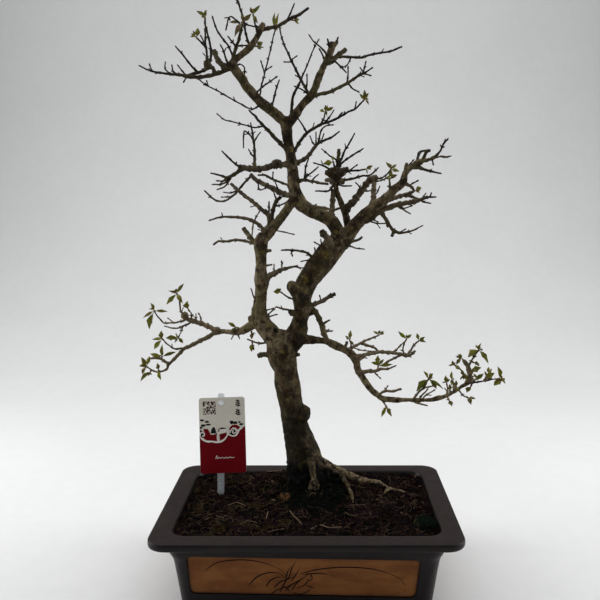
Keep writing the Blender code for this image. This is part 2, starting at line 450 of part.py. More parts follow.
# Roots that show: places of (across, down, back in mm, thickness in mm)
ROOTS = (
    ((312, 461, 44, 11), (318.6, 464.4, 40, 7), (323.8, 466.6, 40, 5.4), (332.4, 470.7, 42, 5.2),
     (339.9, 474.7, 42, 5.2), (345.6, 482.7, 33, 5.4), (349, 489, 21, 5.6), (351.9, 495.9, 7, 5.5),
     (353, 503, -10, 4)),
    ((313, 459, 54, 14), (323, 462, 58, 9.5), (332.5, 467, 60, 8.8), (341, 471.3, 61, 10),
     (349.5, 476.5, 60, 12), (359, 480.5, 54, 10.5), (368, 482, 55, 8), (376, 482.5, 57, 6.4),
     (383, 485, 49, 4.6), (390, 489, 37, 4.2), (398, 490.5, 36, 4), (410, 494, 25, 3.2)),
    ((309, 456, 40, 13), (312, 466, 30, 7.4), (313.5, 474, 26, 6.2), (314, 481, 20, 8), (313.8, 486, 15, 13),
     (313.5, 491, 9, 9.5)),
    ((390, 488.8, 37, 4.6), (386, 491.3, 30, 4), (382, 495.5, 18, 3)),
)

# Shoots: the strand group each grows on, its place there, then its leaves' tips with each leaf's width in mm
SHOOTS = {
    "low_left_01": ("low_left", (177.5, 295), (184, 283, 3.6), (166, 304, 5.0), (168, 291, 2.4),
                    (183, 304, 4.5)),
    "low_left_02": ("low_left", (189.5, 311), (187, 301, 8.0)),
    "low_left_03": ("low_left", (155, 312), (149.5, 329, 6.8), (142.5, 317.5, 3.2), (168, 311, 3.2),
                    (150, 302.5, 2.6)),
    "low_left_04": ("low_left", (179, 336), (183.5, 343, 3.6), (166, 338, 5.6)),
    "low_left_05": ("low_left", (163.5, 340), (161, 330.5, 4.5), (152, 340, 3.2), (154, 349, 4.6)),
    "low_left_06": ("low_left", (162, 359.5), (177, 352.5, 3.6), (162, 344, 3.6), (150, 353, 4.4)),
    "low_left_07": ("low_left", (148, 367.5), (141, 357, 4.4), (150, 356, 4.0), (139, 366.5, 4.6),
                    (142, 374, 4.0)),
    "low_left_08": ("low_left", (152, 370), (140, 381, 4.6)),
    "low_left_09": ("low_left", (160, 371.7), (161, 380, 4.0), (157, 363, 3.6)),
    "low_left_10": ("low_left", (240, 329), (228, 322.5, 3.6), (231, 332, 3.4)),
    "low_left_11": ("low_left", (249, 327), (252, 339.5, 3.6)),
    "low_left_12": ("left_stem", (253, 341.5), (251.2, 352.3, 4.4)),
    "low_right_01": ("low_right", (378, 335.5), (380, 330, 2.6), (373, 331, 2.6)),
    "low_right_02": ("low_right", (350, 341), (351, 330, 3.6), (354, 345.5, 2.6)),
    "low_right_03": ("low_right", (406, 340), (398, 331, 3.6), (412, 334.5, 3.0)),
    "low_right_04": ("low_right", (418, 341.5), (417, 333, 3.6), (425, 336.5, 3.2), (426, 342, 3.0)),
    "low_right_05": ("low_right", (378, 367), (378, 355, 5.2), (393, 364, 3.6), (371, 362, 3.0),
                     (384, 359, 3.0)),
    "low_right_06": ("low_right", (386, 406), (381, 417, 3.6), (392, 416.5, 3.6)),
    "low_right_07": ("low_right", (428, 380), (417, 392, 7.4), (423, 371, 2.8), (433, 373, 2.8),
                     (436, 389, 4.4), (443, 390, 3.0)),
    "low_right_08": ("low_right", (447, 385), (446, 375, 3.2)),
    "low_right_09": ("low_right", (450, 391), (450, 384.5, 2.8)),
    "low_right_10": ("low_right", (453, 382), (452, 371, 3.4)),
    "low_right_11": ("low_right", (456, 387), (456, 380, 2.8)),
    "low_right_12": ("low_right", (448.5, 399), (452, 406.5, 3.4)),
    "low_right_13": ("low_right", (466.5, 397), (471, 405, 4.2)),
    "low_right_14": ("low_right", (471, 383), (467, 393, 4.6)),
    "low_right_15": ("low_right", (456.5, 366.5), (461, 370, 3.4), (461, 357, 3.2), (451, 362, 2.8)),
    "low_right_16": ("low_right", (463.5, 360.5), (459, 354, 2.8)),
    "low_right_17": ("low_right", (462, 371.5), (467, 380, 3.6)),
    "low_right_18": ("low_right", (478, 351), (468, 357.5, 7.0), (489, 363, 5.0), (479, 345, 4.0)),
    "low_right_19": ("low_right", (472, 373), (481, 367.5, 7.2)),
    "low_right_20": ("low_right", (475.5, 379.5), (484, 373.5, 3.8)),
    "low_right_21": ("low_right", (484, 381), (495, 373, 5.8)),
    "low_right_22": ("low_right", (488, 374.5), (489, 366.5, 2.8)),
    "low_right_23": ("low_right", (498, 379), (498, 366, 4.2), (505, 382, 3.8), (500, 385, 2.8),
                     (494, 386, 4.6)),
    "low_right_24": ("low_right", (471, 362), (478, 364, 3.6)),
    "crown_01": ("upper_stem", (363, 101), (359.5, 93, 2.8), (364.5, 89.5, 3.2), (369, 92.5, 3.0)),
    "crown_02": ("upper_stem", (325, 113.5), (319.5, 110.5, 3.0), (327.5, 105, 3.0), (333.5, 107, 3.2)),
    "crown_03": ("back_stem", (333.5, 163), (323, 163.5, 6.4)),
    "crown_04": ("back_stem", (364, 169.5), (373, 165.5, 3.4)),
    "crown_05": ("right_upper", (390, 170.5), (386, 161.5, 3.0), (397, 164.5, 3.0), (400, 171, 3.6),
                 (393, 178, 4.2)),
    "crown_06": ("right_main", (389.5, 181), (397.5, 174.5, 3.8), (386, 177, 2.6)),
    "crown_07": ("right_main", (413.5, 191.5), (421.5, 187.5, 4.4)),
    "crown_08": ("right_stem", (282, 293), (273, 291.5, 4.4)),
    "crown_09": ("left_leader", (205, 19), (205.5, 9.5, 3.0), (196.5, 10.5, 3.4)),
    "crown_10": ("left_leader", (197.8, 39), (197.5, 27.5, 4.4)),
    "crown_11": ("left_head", (242, 24), (234.5, 38, 4.4), (252, 14, 4.2), (229, 22, 2.8)),
    "crown_12": ("left_head", (253.5, 16.5), (250.5, 7, 3.0), (261, 5.5, 3.2), (258, 24, 3.4)),
    "crown_13": ("left_head", (253, 43.5), (262, 41.5, 3.4), (261, 49.5, 3.0)),
    "crown_14": ("left_leader", (275, 31), (275, 12.5, 3.4), (279, 13, 3.2)),
    "crown_15": ("left_head", (291, 18.5), (299, 19.5, 3.4)),
}

COLOURS = {
    "pot": (0.060, 0.048, 0.044),
    "soil": (0.050, 0.028, 0.020),
    "wood": (0.150, 0.115, 0.085),
    "leaf": (0.330, 0.330, 0.080),
    "moss": (0.070, 0.085, 0.030),
    "card": (0.420, 0.400, 0.380),
    "stake": (0.550, 0.600, 0.640),
    "screen": (0.020, 0.020, 0.022),
}
ROUGHNESS = {"pot": 0.45, "card": 0.30, "stake": 0.25, "screen": 0.50}

# How many sides a strand has, by its greatest thickness in mm
SIDES = ((4.6, 4), (6.8, 5), (9.8, 6), (14.5, 8), (24.0, 10), (99.0, 12))
FEW_SIDED_SWELL = 1.06
NEARLY_STRAIGHT = 1.06
SAMPLE_STEP = 1.0

# Shoots, in mm: the hub that joins its leaves, the blades, and the least room round a blade
HUB_LENGTH = 3.0
HUB_THICKNESS = 2.2
HUB_GAP = 0.35
LEAF_THICKNESS = 0.7
LOBED_WIDTH = 4.0
LANCE_WIDTH = 3.3
LEAF_FOLD = 0.30
LEAF_ROOM = 1.0
LEANS = (0.2, -0.25, 0.5, -0.55, 0.8, -0.85, 1.2, -1.2, 1.7, -1.7, 2.3, -2.3)
ROLL_LIMITS = (0.4, 0.9, 1.6, 3.0)


def sight(across, down, back):
    """The point seen at (across, down) in the front view and lying back mm behind the pot's middle."""
    slope = (down - VIEW_CENTRE[1]) / VIEW_FOCAL
    level = EYE_DISTANCE + back * MM
    drop = level * (slope * math.cos(EYE_DIP) + math.sin(EYE_DIP))
    drop /= math.cos(EYE_DIP) - slope * math.sin(EYE_DIP)
    ahead = level * math.cos(EYE_DIP) + drop * math.sin(EYE_DIP)
    x = EYE_ACROSS + (across - VIEW_CENTRE[0]) / VIEW_FOCAL * ahead
    return Vector((x, level - EYE_DISTANCE, POT_HEIGHT + EYE_OVER_RIM - drop))


def soil_height(x, y):
    away = ((x - SOIL_MOUND_PLACE[0]) ** 2 + (y - SOIL_MOUND_PLACE[1]) ** 2) / SOIL_MOUND_REACH**2
    relief = math.sin(x * 230 + 1.3) * math.sin(y * 260 + 0.4) + 0.6 * math.sin(x * 470 - y * 390)
    return POT_HEIGHT - SOIL_EDGE_DROP + SOIL_MOUND * math.exp(-away) + SOIL_RELIEF * relief


def sight_on_soil(across, down):
    """The point seen at (across, down) on the soil's surface."""
    near, far = -0.11, 0.11
    for _ in range(24):
        middle = (near + far) / 2
        point = sight(across, down, middle / MM)
        if point.z > soil_height(point.x, point.y):
            near = middle
        else:
            far = middle
    return point


def mesh_object(name, points, faces):
    mesh = bpy.data.meshes.new(name)
    mesh.from_pydata([tuple(p) for p in points], [], faces)
    shell = bmesh.new()
    shell.from_mesh(mesh)
    bmesh.ops.recalc_face_normals(shell, faces=shell.faces)
    shell.to_mesh(mesh)
    shell.free()
    obj = bpy.data.objects.new(name, mesh)
    bpy.context.scene.collection.objects.link(obj)
    return obj


def finish_object(obj, kind, smooth_angle=None):
    """Gives the object its material and, if it is round, smooth shading."""
    material = bpy.data.materials.get(kind) or bpy.data.materials.new(kind)
    material.use_nodes = True
    shader = material.node_tree.nodes["Principled BSDF"]
    shader.inputs["Base Color"].default_value = (*COLOURS[kind], 1.0)
    shader.inputs["Roughness"].default_value = ROUGHNESS.get(kind, 0.85)
    obj.data.materials.clear()
    obj.data.materials.append(material)
    if smooth_angle is not None:
        obj.data.shade_smooth()
        obj.data.set_sharp_from_angle(angle=math.radians(smooth_angle))
    return obj


def loft(rings):
    """Points and faces of a closed body through rings of equal length, capped at both ends."""
    count = len(rings[0])
    points = [p for ring in rings for p in ring]
    faces = [tuple(range(count)), tuple(range(len(points) - count, len(points)))]
    for level in range(len(rings) - 1):
        for i in range(count):
            j = (i + 1) % count
            a, b = level * count, (level + 1) * count
            faces.append((a + i, a + j, b + j, b + i))
    return points, faces


def rounded_ring(half_x, half_y, corner, z, steps=CORNER_STEPS):
    ring = []
    for quarter, (sx, sy) in enumerate(((1, 1), (-1, 1), (-1, -1), (1, -1))):
        for step in range(steps + 1):
            turn = math.pi / 2 * (quarter + step / steps)
            ring.append(Vector((sx * (half_x - corner) + corner * math.cos(turn),
                                sy * (half_y - corner) + corner * math.sin(turn), z)))
    return ring


def pot_ring(inset, drop):
    """The pot's outline this far in from the rim's edge and this far below its top."""
    blend = min(inset / FLOOR_INSET, 1.0)
    corner = RIM_CORNER + (BODY_CORNER - RIM_CORNER) * blend
    return rounded_ring(RIM_LENGTH / 2 - inset, RIM_DEPTH / 2 - inset, corner, POT_HEIGHT - drop)


def cut(obj, other, operation="DIFFERENCE", solver="EXACT"):
    """Adds a Boolean with the other object, which is then hidden."""
    modifier = obj.modifiers.new(other.name, "BOOLEAN")
    modifier.operation = operation
    modifier.solver = solver
    modifier.object = other
    other.hide_render = True
    other.display_type = "WIRE"


def inner_inset(drop):
    """How far in from the rim's edge the pot's inner wall lies, this far below the rim."""
    profile = INNER_PROFILE + ((FLOOR_INSET, POT_HEIGHT - FOOT_HEIGHT - FLOOR_THICKNESS),)
    return float(np.interp(drop, [p[1] for p in profile], [p[0] for p in profile]))


def wall_taper():
    """The slope of the pot's straight outer wall from upright."""
    inset, drop = OUTER_PROFILE[-1]
    return math.atan((BODY_FOOT_INSET - inset) / (POT_HEIGHT - FOOT_HEIGHT - drop))


def panel_cutter(name, half_width, half_span, axis):
    """A tray with round corners, a little wider at its top, laid on the wall that faces axis."""
    half_height = PANEL_HEIGHT / 2
    outline = []
    for p in rounded_ring(half_width, half_height, PANEL_CORNER, 0.0):
        outline.append((p.x + math.copysign(PANEL_SPREAD, p.x) * p.y / half_height, p.y))
    inset, drop = OUTER_PROFILE[-1]
    middle_drop = PANEL_TOP + half_height
    middle_inset = inset + (middle_drop - drop) * math.tan(wall_taper())
    rings = [[Vector((x, depth, z)) for x, z in outline] for depth in (-0.01, PANEL_DEPTH)]
    lean = Matrix.Rotation(wall_taper(), 4, "X")
    place = Matrix.Translation((0, -(half_span - middle_inset), POT_HEIGHT - middle_drop))
    turn_round = Matrix.Rotation(axis, 4, "Z")
    return mesh_object(name, *loft([[turn_round @ place @ lean @ p for p in ring] for ring in rings]))


def make_pot():
    base_drop = POT_HEIGHT - FOOT_HEIGHT
    outer = [pot_ring(BODY_FOOT_INSET, base_drop)] + [pot_ring(*p) for p in reversed(OUTER_PROFILE)]
    inner = [pot_ring(*p) for p in INNER_PROFILE] + [pot_ring(FLOOR_INSET, base_drop - FLOOR_THICKNESS)]
    pot = mesh_object("pot", *loft(outer + inner))
    foot_x = RIM_LENGTH / 2 - BODY_FOOT_INSET - FOOT_SIZE[0] / 2 - 0.002
    foot_y = RIM_DEPTH / 2 - BODY_FOOT_INSET - FOOT_SIZE[1] / 2 - 0.002
    for number, (sx, sy) in enumerate(((1, 1), (-1, 1), (-1, -1), (1, -1)), 1):
        rings = []
        for z, shrink in ((0.0, 0.0025), (0.0025, 0.0012), (FOOT_HEIGHT + 0.002, 0.0)):
            ring = rounded_ring(FOOT_SIZE[0] / 2 - shrink, FOOT_SIZE[1] / 2 - shrink, 0.006, z, 2)
            rings.append([p + Vector((sx * foot_x, sy * foot_y, 0)) for p in ring])
        cut(pot, mesh_object(f"foot_{number}", *loft(rings)), "UNION")
    wall_x = RIM_LENGTH / 2 - BODY_FOOT_INSET - PANEL_MARGIN
    wall_y = RIM_DEPTH / 2 - BODY_FOOT_INSET - PANEL_MARGIN
    for side, (half_width, half_span) in enumerate(((wall_x, RIM_DEPTH / 2), (wall_y, RIM_LENGTH / 2)) * 2):
        cut(pot, panel_cutter(f"panel_{side}", half_width, half_span, side * math.pi / 2))
    for side in (-1, 1):
        hole = disc(f"drain_{side}", (side * DRAIN_OFFSET, 0, 0), DRAIN_RADIUS,
                    (FOOT_HEIGHT - 0.004, FOOT_HEIGHT + FLOOR_THICKNESS + 0.004), 20)
        cut(pot, hole)
    finish_object(pot, "pot", 35)


def disc(name, middle, radius, heights, sides):
    rings = []
    for z in heights:
        turns = [2 * math.pi * i / sides for i in range(sides)]
        rings.append([Vector((middle[0] + radius * math.cos(t), middle[1] + radius * math.sin(t), z))
                      for t in turns])
    return mesh_object(name, *loft(rings))


def box(name, low, high):
    corners = ((low[0], low[1]), (high[0], low[1]), (high[0], high[1]), (low[0], high[1]))
    return mesh_object(name, *loft([[Vector((x, y, z)) for x, y in corners] for z in (low[2], high[2])]))


def make_screens():
    """A square plastic mesh over each drain hole, flat on the pot's floor."""
    floor = FOOT_HEIGHT + FLOOR_THICKNESS + GAP
    half = SCREEN_SIDE / 2
    for side, word in ((-1, "left"), (1, "right")):
        x = side * DRAIN_OFFSET
        top = floor + SCREEN_THICKNESS
        screen = box(f"drain_screen_{word}", (x - half, -half, floor), (x + half, half, top))
        pitch = SCREEN_SIDE / 3.6
        for i in (-1, 0, 1):
            for j in (-1, 0, 1):
                a, b = x + i * pitch, j * pitch
                r = SCREEN_HOLE / 2
                hole = box(f"mesh_{word}_{i}_{j}", (a - r, b - r, floor - 0.002), (a + r, b + r, top + 0.004))
                cut(screen, hole)
        finish_object(screen, "screen")


def frames(points):
    """An across and an up direction at each point, turned as little as possible along the way."""
    last = len(points) - 1
    axes = [(points[min(i + 1, last)] - points[max(i - 1, 0)]).normalized() for i in range(last + 1)]
    across = axes[0].orthogonal().normalized()
    found = []
    for axis in axes:
        across = (across - axis * across.dot(axis)).normalized()
        found.append((across, axis.cross(across)))
    return found


def tube(points, radii, sides):
    rings = []
    for point, radius, (across, up) in zip(points, radii, frames(points)):
        turns = [2 * math.pi * i / sides for i in range(sides)]
        rings.append([point + radius * (across * math.cos(t) + up * math.sin(t)) for t in turns])
    return loft(rings)


def sides_for(thickness):
    return next(sides for limit, sides in SIDES if thickness <= limit)


def thinned(places):
    """Leaves out the places that lie nearly on a straight run between those kept."""
    first, last = Vector(places[0]), Vector(places[-1])
    along = last - first
    worst, where = NEARLY_STRAIGHT, None
    for i in range(1, len(places) - 1):
        offset = Vector(places[i]) - first
        astray = (offset - along * (offset.dot(along) / along.length_squared)).length
        if astray > worst:
            worst, where = astray, i
    if where is None:
        return [places[0], places[-1]]
    return thinned(places[: where + 1])[:-1] + thinned(places[where:])


class Strands:
    """Every strand of wood so far, and points sampled along them for finding where the next one grows."""

    def __init__(self):
        self.tubes = []
        self.samples = []

    def add(self, group, places):
        """Adds a strand through places of (across, down, back, thickness)."""
        places = thinned(places)
        real = [sight(*p[:3]) for p in places]
        last = len(places) - 2
        for k, (a, b) in enumerate(zip(places, places[1:])):
            steps = max(1, round(math.dist(a[:2], b[:2]) / SAMPLE_STEP))
            for step in range(steps + (k == last)):
                self.sample(group, a, b, real[k], real[k + 1], step / steps)
        sides = sides_for(max(p[3] for p in places))
        swell = FEW_SIDED_SWELL if sides < 8 else 1.0
        self.tubes.append((real, [p[3] * swell / 2 * MM for p in places], sides))

    def sample(self, group, a, b, pa, pb, part):
        view = (a[0] + (b[0] - a[0]) * part, a[1] + (b[1] - a[1]) * part)
        back = a[2] + (b[2] - a[2]) * part
        thickness = a[3] + (b[3] - a[3]) * part
        axis = (pb - pa).normalized()
        self.samples.append((group, view, back, thickness, pa.lerp(pb, part), axis, part == 1.0))

    def nearest(self, group, across, down):
        own = [s for s in self.samples if s[0] == group]
        return min(own, key=lambda s: (s[1][0] - across) ** 2 + (s[1][1] - down) ** 2)

    def grow(self, group, twig):
        """Adds a twig, rooted on the middle of the strand that its route starts on."""
        reach, root_thickness, tip_thickness, *route = twig
        root = self.nearest(group, *route[0])
        if math.hypot(root[1][0] - route[0][0], root[1][1] - route[0][1]) > 0.6:
            route = [root[1]] + route
        lengths = [0.0]
        for a, b in zip(route, route[1:]):
            lengths.append(lengths[-1] + math.hypot(b[0] - a[0], b[1] - a[1]))
        places = []
        for (across, down), length in zip(route, lengths):
            part = length / lengths[-1]
            thickness = root_thickness + (tip_thickness - root_thickness) * part
            places.append((across, down, root[2] + reach * part, thickness))
        self.add(group, places)


def grow_tree():
    strands = Strands()
    limbs = (
        ("trunk", TRUNK, TRUNK_TWIGS), ("left_stem", LEFT_STEM, LEFT_STEM_TWIGS),
        ("left_bridge", LEFT_BRIDGE, ()), ("right_stem", RIGHT_STEM, RIGHT_STEM_TWIGS),
        ("upper_stem", UPPER_STEM, UPPER_STEM_TWIGS), ("back_stem", BACK_STEM, BACK_TWIGS),
        ("right_main", RIGHT_MAIN, RIGHT_MAIN_TWIGS), ("right_upper", RIGHT_UPPER, RIGHT_UPPER_TWIGS),
        ("left_leader", LEFT_LEADER, LEFT_LEADER_TWIGS), ("left_head", LEFT_HEAD, LEFT_HEAD_TWIGS),
        ("right_leader", RIGHT_LEADER, RIGHT_LEADER_TWIGS), ("low_left", LOW_LEFT, LOW_LEFT_TWIGS),
        ("low_right", LOW_RIGHT, LOW_RIGHT_TWIGS),
    )
    for group, main, twigs in limbs:
        strands.add(group, main)
        for twig in twigs:
            strands.grow(group, twig)
    return strands


def root_tubes():
    """Points, radii and sides of each root that shows."""
    return [([sight(*p[:3]) for p in places], [p[3] / 2 * MM for p in places], 6) for places in ROOTS]


def fattened(points, radii, sides):
    """The same strand with the gap that its hole in the soil leaves round it."""
    ends = [points[0] + (points[0] - points[1]).normalized() * GAP * 2]
    ends.append(points[-1] + (points[-1] - points[-2]).normalized() * GAP * 2)
    return ends[:1] + points[1:-1] + ends[1:], [r + GAP * 1.3 for r in radii], sides


def fuse(name, shapes, solver="EXACT"):
    """One object from overlapping closed shapes, each given as its points and faces."""
    body = mesh_object(name, *shapes[0])
    if len(shapes) == 1:
        return body
    others = bpy.data.collections.new(f"{name}_pieces")
    bpy.context.scene.collection.children.link(others)
    for number, shape in enumerate(shapes[1:]):
        piece = mesh_object(f"{name}_piece_{number}", *shape)
        bpy.context.scene.collection.objects.unlink(piece)
        others.objects.link(piece)
    modifier = body.modifiers.new("union", "BOOLEAN")
    modifier.operation = "UNION"
    modifier.operand_type = "COLLECTION"
    modifier.collection = others
    modifier.solver = solver
    graph = bpy.context.evaluated_depsgraph_get()
    joined = bpy.data.meshes.new_from_object(body.evaluated_get(graph))
    body.modifiers.clear()
    body.data = joined
    for piece in list(others.objects):
        bpy.data.objects.remove(piece)
    bpy.data.collections.remove(others)
    return body


def make_wood(strands):
    shapes = [tube(*t) for t in strands.tubes + root_tubes()]
    finish_object(fuse("wood", shapes, "MANIFOLD"), "wood", 50)


def make_soil(strands):
    """Soil up to the inner wall, its top rising to the mound, with a hole for all that stands in it."""
    edge = inner_inset(SOIL_EDGE_DROP + 0.001) + GAP * 1.2
    rings = [pot_ring(FLOOR_INSET + GAP, POT_HEIGHT - FOOT_HEIGHT - FLOOR_THICKNESS - GAP)]
    for _, drop in reversed(INNER_PROFILE[2:]):
        rings.append(pot_ring(inner_inset(drop) + GAP * 1.2, drop))
    rim = pot_ring(edge, SOIL_EDGE_DROP + 0.001)
    rings.append(rim)
    for level in range(SOIL_RINGS):
        part = (1 - level / SOIL_RINGS) ** 0.9 * 0.985
        ring = []
        for p in rim:
            x = p.x * part + SOIL_MOUND_PLACE[0] * (1 - part)
            y = p.y * part + SOIL_MOUND_PLACE[1] * (1 - part)
            ring.append(Vector((x, y, soil_height(x, y))))
        rings.append(ring)
    soil = mesh_object("soil", *loft(rings))
    holes = [tube(*fattened(*strands.tubes[0]))] + [tube(*fattened(*t)) for t in root_tubes()]
    cut(soil, fuse("root_hole", holes), solver="MANIFOLD")
    moss_hole = mesh_object("moss_hole", *moss_shape(sight_on_soil(*MOSS_PLACE), GAP * 1.3))
    cut(soil, moss_hole, solver="MANIFOLD")
    cut(soil, stake_hole(), solver="MANIFOLD")
    floor = FOOT_HEIGHT + FLOOR_THICKNESS
    half = SCREEN_SIDE / 2 + GAP
    for side in (-1, 1):
        x = side * DRAIN_OFFSET
        pocket = box(f"pocket_{side}", (x - half, -half, floor - 0.002),
                     (x + half, half, floor + SCREEN_THICKNESS + 2 * GAP))
        cut(soil, pocket, solver="MANIFOLD")
    finish_object(soil, "soil", 60)


def moss_shape(place, extra):
    """A low dome with a lumpy outline, its foot sunk in the soil; extra widens it for its hole."""
    rings = []
    for lift, width in ((-MOSS_SUNK, 0.80), (0.0, 1.0), (0.35, 0.94), (0.70, 0.72), (0.95, 0.36)):
        height = lift - extra if lift < 0 else lift * (MOSS_HEIGHT + extra)
        ring = []
        for i in range(14):
            turn = 2 * math.pi * i / 14
            radius = (MOSS_RADIUS * (1 + 0.06 * math.sin(3 * turn + 1)) + extra) * width
            ring.append(place + Vector((radius * math.cos(turn), radius * math.sin(turn), height)))
        rings.append(ring)
    return loft(rings)


def make_moss():
    finish_object(mesh_object("moss_clump", *moss_shape(sight_on_soil(*MOSS_PLACE), 0.0)), "moss", 60)


def label_frame():
    """The label's own axes, leant back, from the middle of the card's hole, and its height over the soil."""
    foot = sight_on_soil(*LABEL_PLACE)
    height = 0.1
    for _ in range(6):
        hole = sight(*CARD_HOLE_PLACE, (foot.y + height * math.sin(LABEL_LEAN)) / MM)
        height = (hole.z - foot.z) / math.cos(LABEL_LEAN)
    return Matrix.Translation(hole) @ Matrix.Rotation(-LABEL_LEAN, 4, "X"), height


def stake_section(z, extra, width_share=1.0):
    """The stake's outline at one height: a flat strip with a rib along the middle of its back."""
    half = STAKE_WIDTH / 2 * width_share + extra
    front = GAP + CARD_THICKNESS / 2 - extra
    back = front + STAKE_THICKNESS + 2 * extra
    rib = STAKE_WIDTH * 0.16 + extra
    outline = ((-half, front), (half, front), (half, back), (rib, back), (rib * 0.6, back + STAKE_RIB),
               (-rib * 0.6, back + STAKE_RIB), (-rib, back), (-half, back))
    return [Vector((x, y, z)) for x, y in outline]


def placed(place, rings):
    return [[place @ p for p in ring] for ring in rings]


def stake_hole():
    place, height = label_frame()
    bottom = -height - STAKE_IN_SOIL
    rings = [stake_section(0.02 - height, GAP), stake_section(bottom + 0.012, GAP),
             stake_section(bottom - GAP * 2, GAP, 0.35)]
    return mesh_object("stake_hole", *loft(placed(place, rings)))


def make_label():
    """The card, rolled a little round its hole, and the stake whose peg goes through that hole."""
    place, height = label_frame()
    roll = Matrix.Rotation(-CARD_ROLL, 4, "Y")
    shift = Vector((-CARD_HOLE_SHIFT, 0, CARD_HOLE_DROP - CARD_SIZE[1] / 2))
    rings = []
    for depth in (-CARD_THICKNESS / 2, CARD_THICKNESS / 2):
        flat = rounded_ring(CARD_SIZE[0] / 2, CARD_SIZE[1] / 2, CARD_CORNER, 0)
        rings.append([roll @ (Vector((p.x, depth, p.y)) + shift) for p in flat])
    card = mesh_object("label_card", *loft(placed(place, rings)))
    cut(card, peg("card_hole", place, CARD_HOLE_RADIUS, (-0.003, 0.003)))
    finish_object(card, "card")
    top, bottom = CARD_HOLE_DROP + STAKE_OVER_CARD, -height - STAKE_IN_SOIL
    levels = ((top, 0.7), (top - 0.002, 1.0), (bottom + 0.012, 1.0), (bottom, 0.35))
    rings = [stake_section(z, 0.0, share) for z, share in levels]
    stake = mesh_object("label_stake", *loft(placed(place, rings)))
    through = (-CARD_THICKNESS / 2 - 0.0003, CARD_THICKNESS / 2 + GAP + STAKE_THICKNESS / 2)
    cut(stake, peg("card_peg", place, PEG_RADIUS, through), "UNION")
    finish_object(stake, "stake")


def peg(name, place, radius, span):
    turns = [2 * math.pi * i / 16 for i in range(16)]
    rings = [[Vector((radius * math.cos(t), depth, radius * math.sin(t))) for t in turns] for depth in span]
    return mesh_object(name, *loft(placed(place, rings)))


def leaf_outline(width_mm):
    """The blade's outline as (along, across) shares, base first, and the faces of one side of it."""
    if width_mm >= LOBED_WIDTH:
        outline = ((0, 0), (0.34, 0.36), (0.68, 0.5), (0.62, 0.2), (1, 0), (0.62, -0.2), (0.68, -0.5),
                   (0.34, -0.36), (0.58, 0))
        faces = ((0, 1, 8), (1, 2, 3), (1, 3, 8), (8, 3, 4), (0, 8, 7), (7, 5, 6), (7, 8, 5), (8, 4, 5))
        return outline, faces, 8
    if width_mm >= LANCE_WIDTH:
        outline = ((0, 0), (0.3, 0.42), (0.66, 0.4), (1, 0), (0.66, -0.4), (0.3, -0.42))
        return outline, ((3, 0, 1), (3, 1, 2), (3, 4, 5), (3, 5, 0)), 6
    return ((0, 0), (0.45, 0.46), (1, 0), (0.45, -0.46)), ((2, 0, 1), (2, 3, 0)), 4


def blade(base, tip, width_mm, roll):
    """Points and faces of one leaf: a thin blade, folded a little along its midrib."""
    outline, faces, rim = leaf_outline(width_mm)
    along = tip - base
    side = along.cross(Vector((0, 1, 0))).normalized()
    side = Matrix.Rotation(roll, 3, along.normalized()) @ side
    normal = side.cross(along).normalized()
    width = width_mm * MM
    half = LEAF_THICKNESS / 2 * MM
    points = []
    for offset in (half, -half):
        for u, v in outline:
            bend = abs(v) * LEAF_FOLD * width - 0.08 * along.length * u * u
            points.append(base + along * u + side * v * width + normal * (offset + bend))
    count = len(outline)
    shell = [tuple(f) for f in faces] + [tuple(i + count for i in reversed(f)) for f in faces]
    for i in range(rim):
        j = (i + 1) % rim
        shell.append((i, i + count, j + count))
        shell.append((i, j + count, j))
    return points, shell


def spread_over(points, faces):
    """Places all over one side of a blade, without its first quarter, which lies in the hub."""
    shares = [(i / 4, j / 4) for i in range(5) for j in range(5 - i)]
    corners = np.array([tuple(p) for p in points])
    found = []
    for a, b, c in faces:
        for u, v in shares:
            found.append(corners[a] + (corners[b] - corners[a]) * u + (corners[c] - corners[a]) * v)
    found = np.array(found)
    reach = np.linalg.norm(found - corners[0], axis=1)
    return found[reach > 0.25 * reach.max()]


class Room:
    """Tells how far a blade would be from the wood and from the other shoots."""

    def __init__(self, strands):
        self.middles = np.array([s[4] for s in strands.samples])
        self.radii = np.array([s[3] / 2 * MM for s in strands.samples])

    def around(self, point):
        near = np.linalg.norm(self.middles - np.array(point), axis=1) < 0.045
        return self.middles[near], self.radii[near]

    def take(self, places):
        self.middles = np.vstack([self.middles, places])
        self.radii = np.append(self.radii, np.zeros(len(places)))


def leaf_for(hub, view_tip, back, width, near, draw):
    """The blade towards a tip in the view, leaning and rolled so that it stays clear of what is near."""
    middles, radii = near
    length = (sight(*view_tip, back) - hub).length
    best = None
    for lean in LEANS:
        for roll_limit in ROLL_LIMITS:
            tip = sight(*view_tip, back + lean * 0.5 * length / MM)
            points, faces = blade(hub, tip, width, draw.uniform(-roll_limit, roll_limit))
            places = spread_over(points, leaf_outline(width)[1])
            away = np.linalg.norm(places[:, None] - middles[None], axis=2) - radii
            if best is None or away.min() > best[0]:
                best = (away.min(), points, faces, places)
        if best[0] > LEAF_ROOM * MM:
            break
    return best[1:]


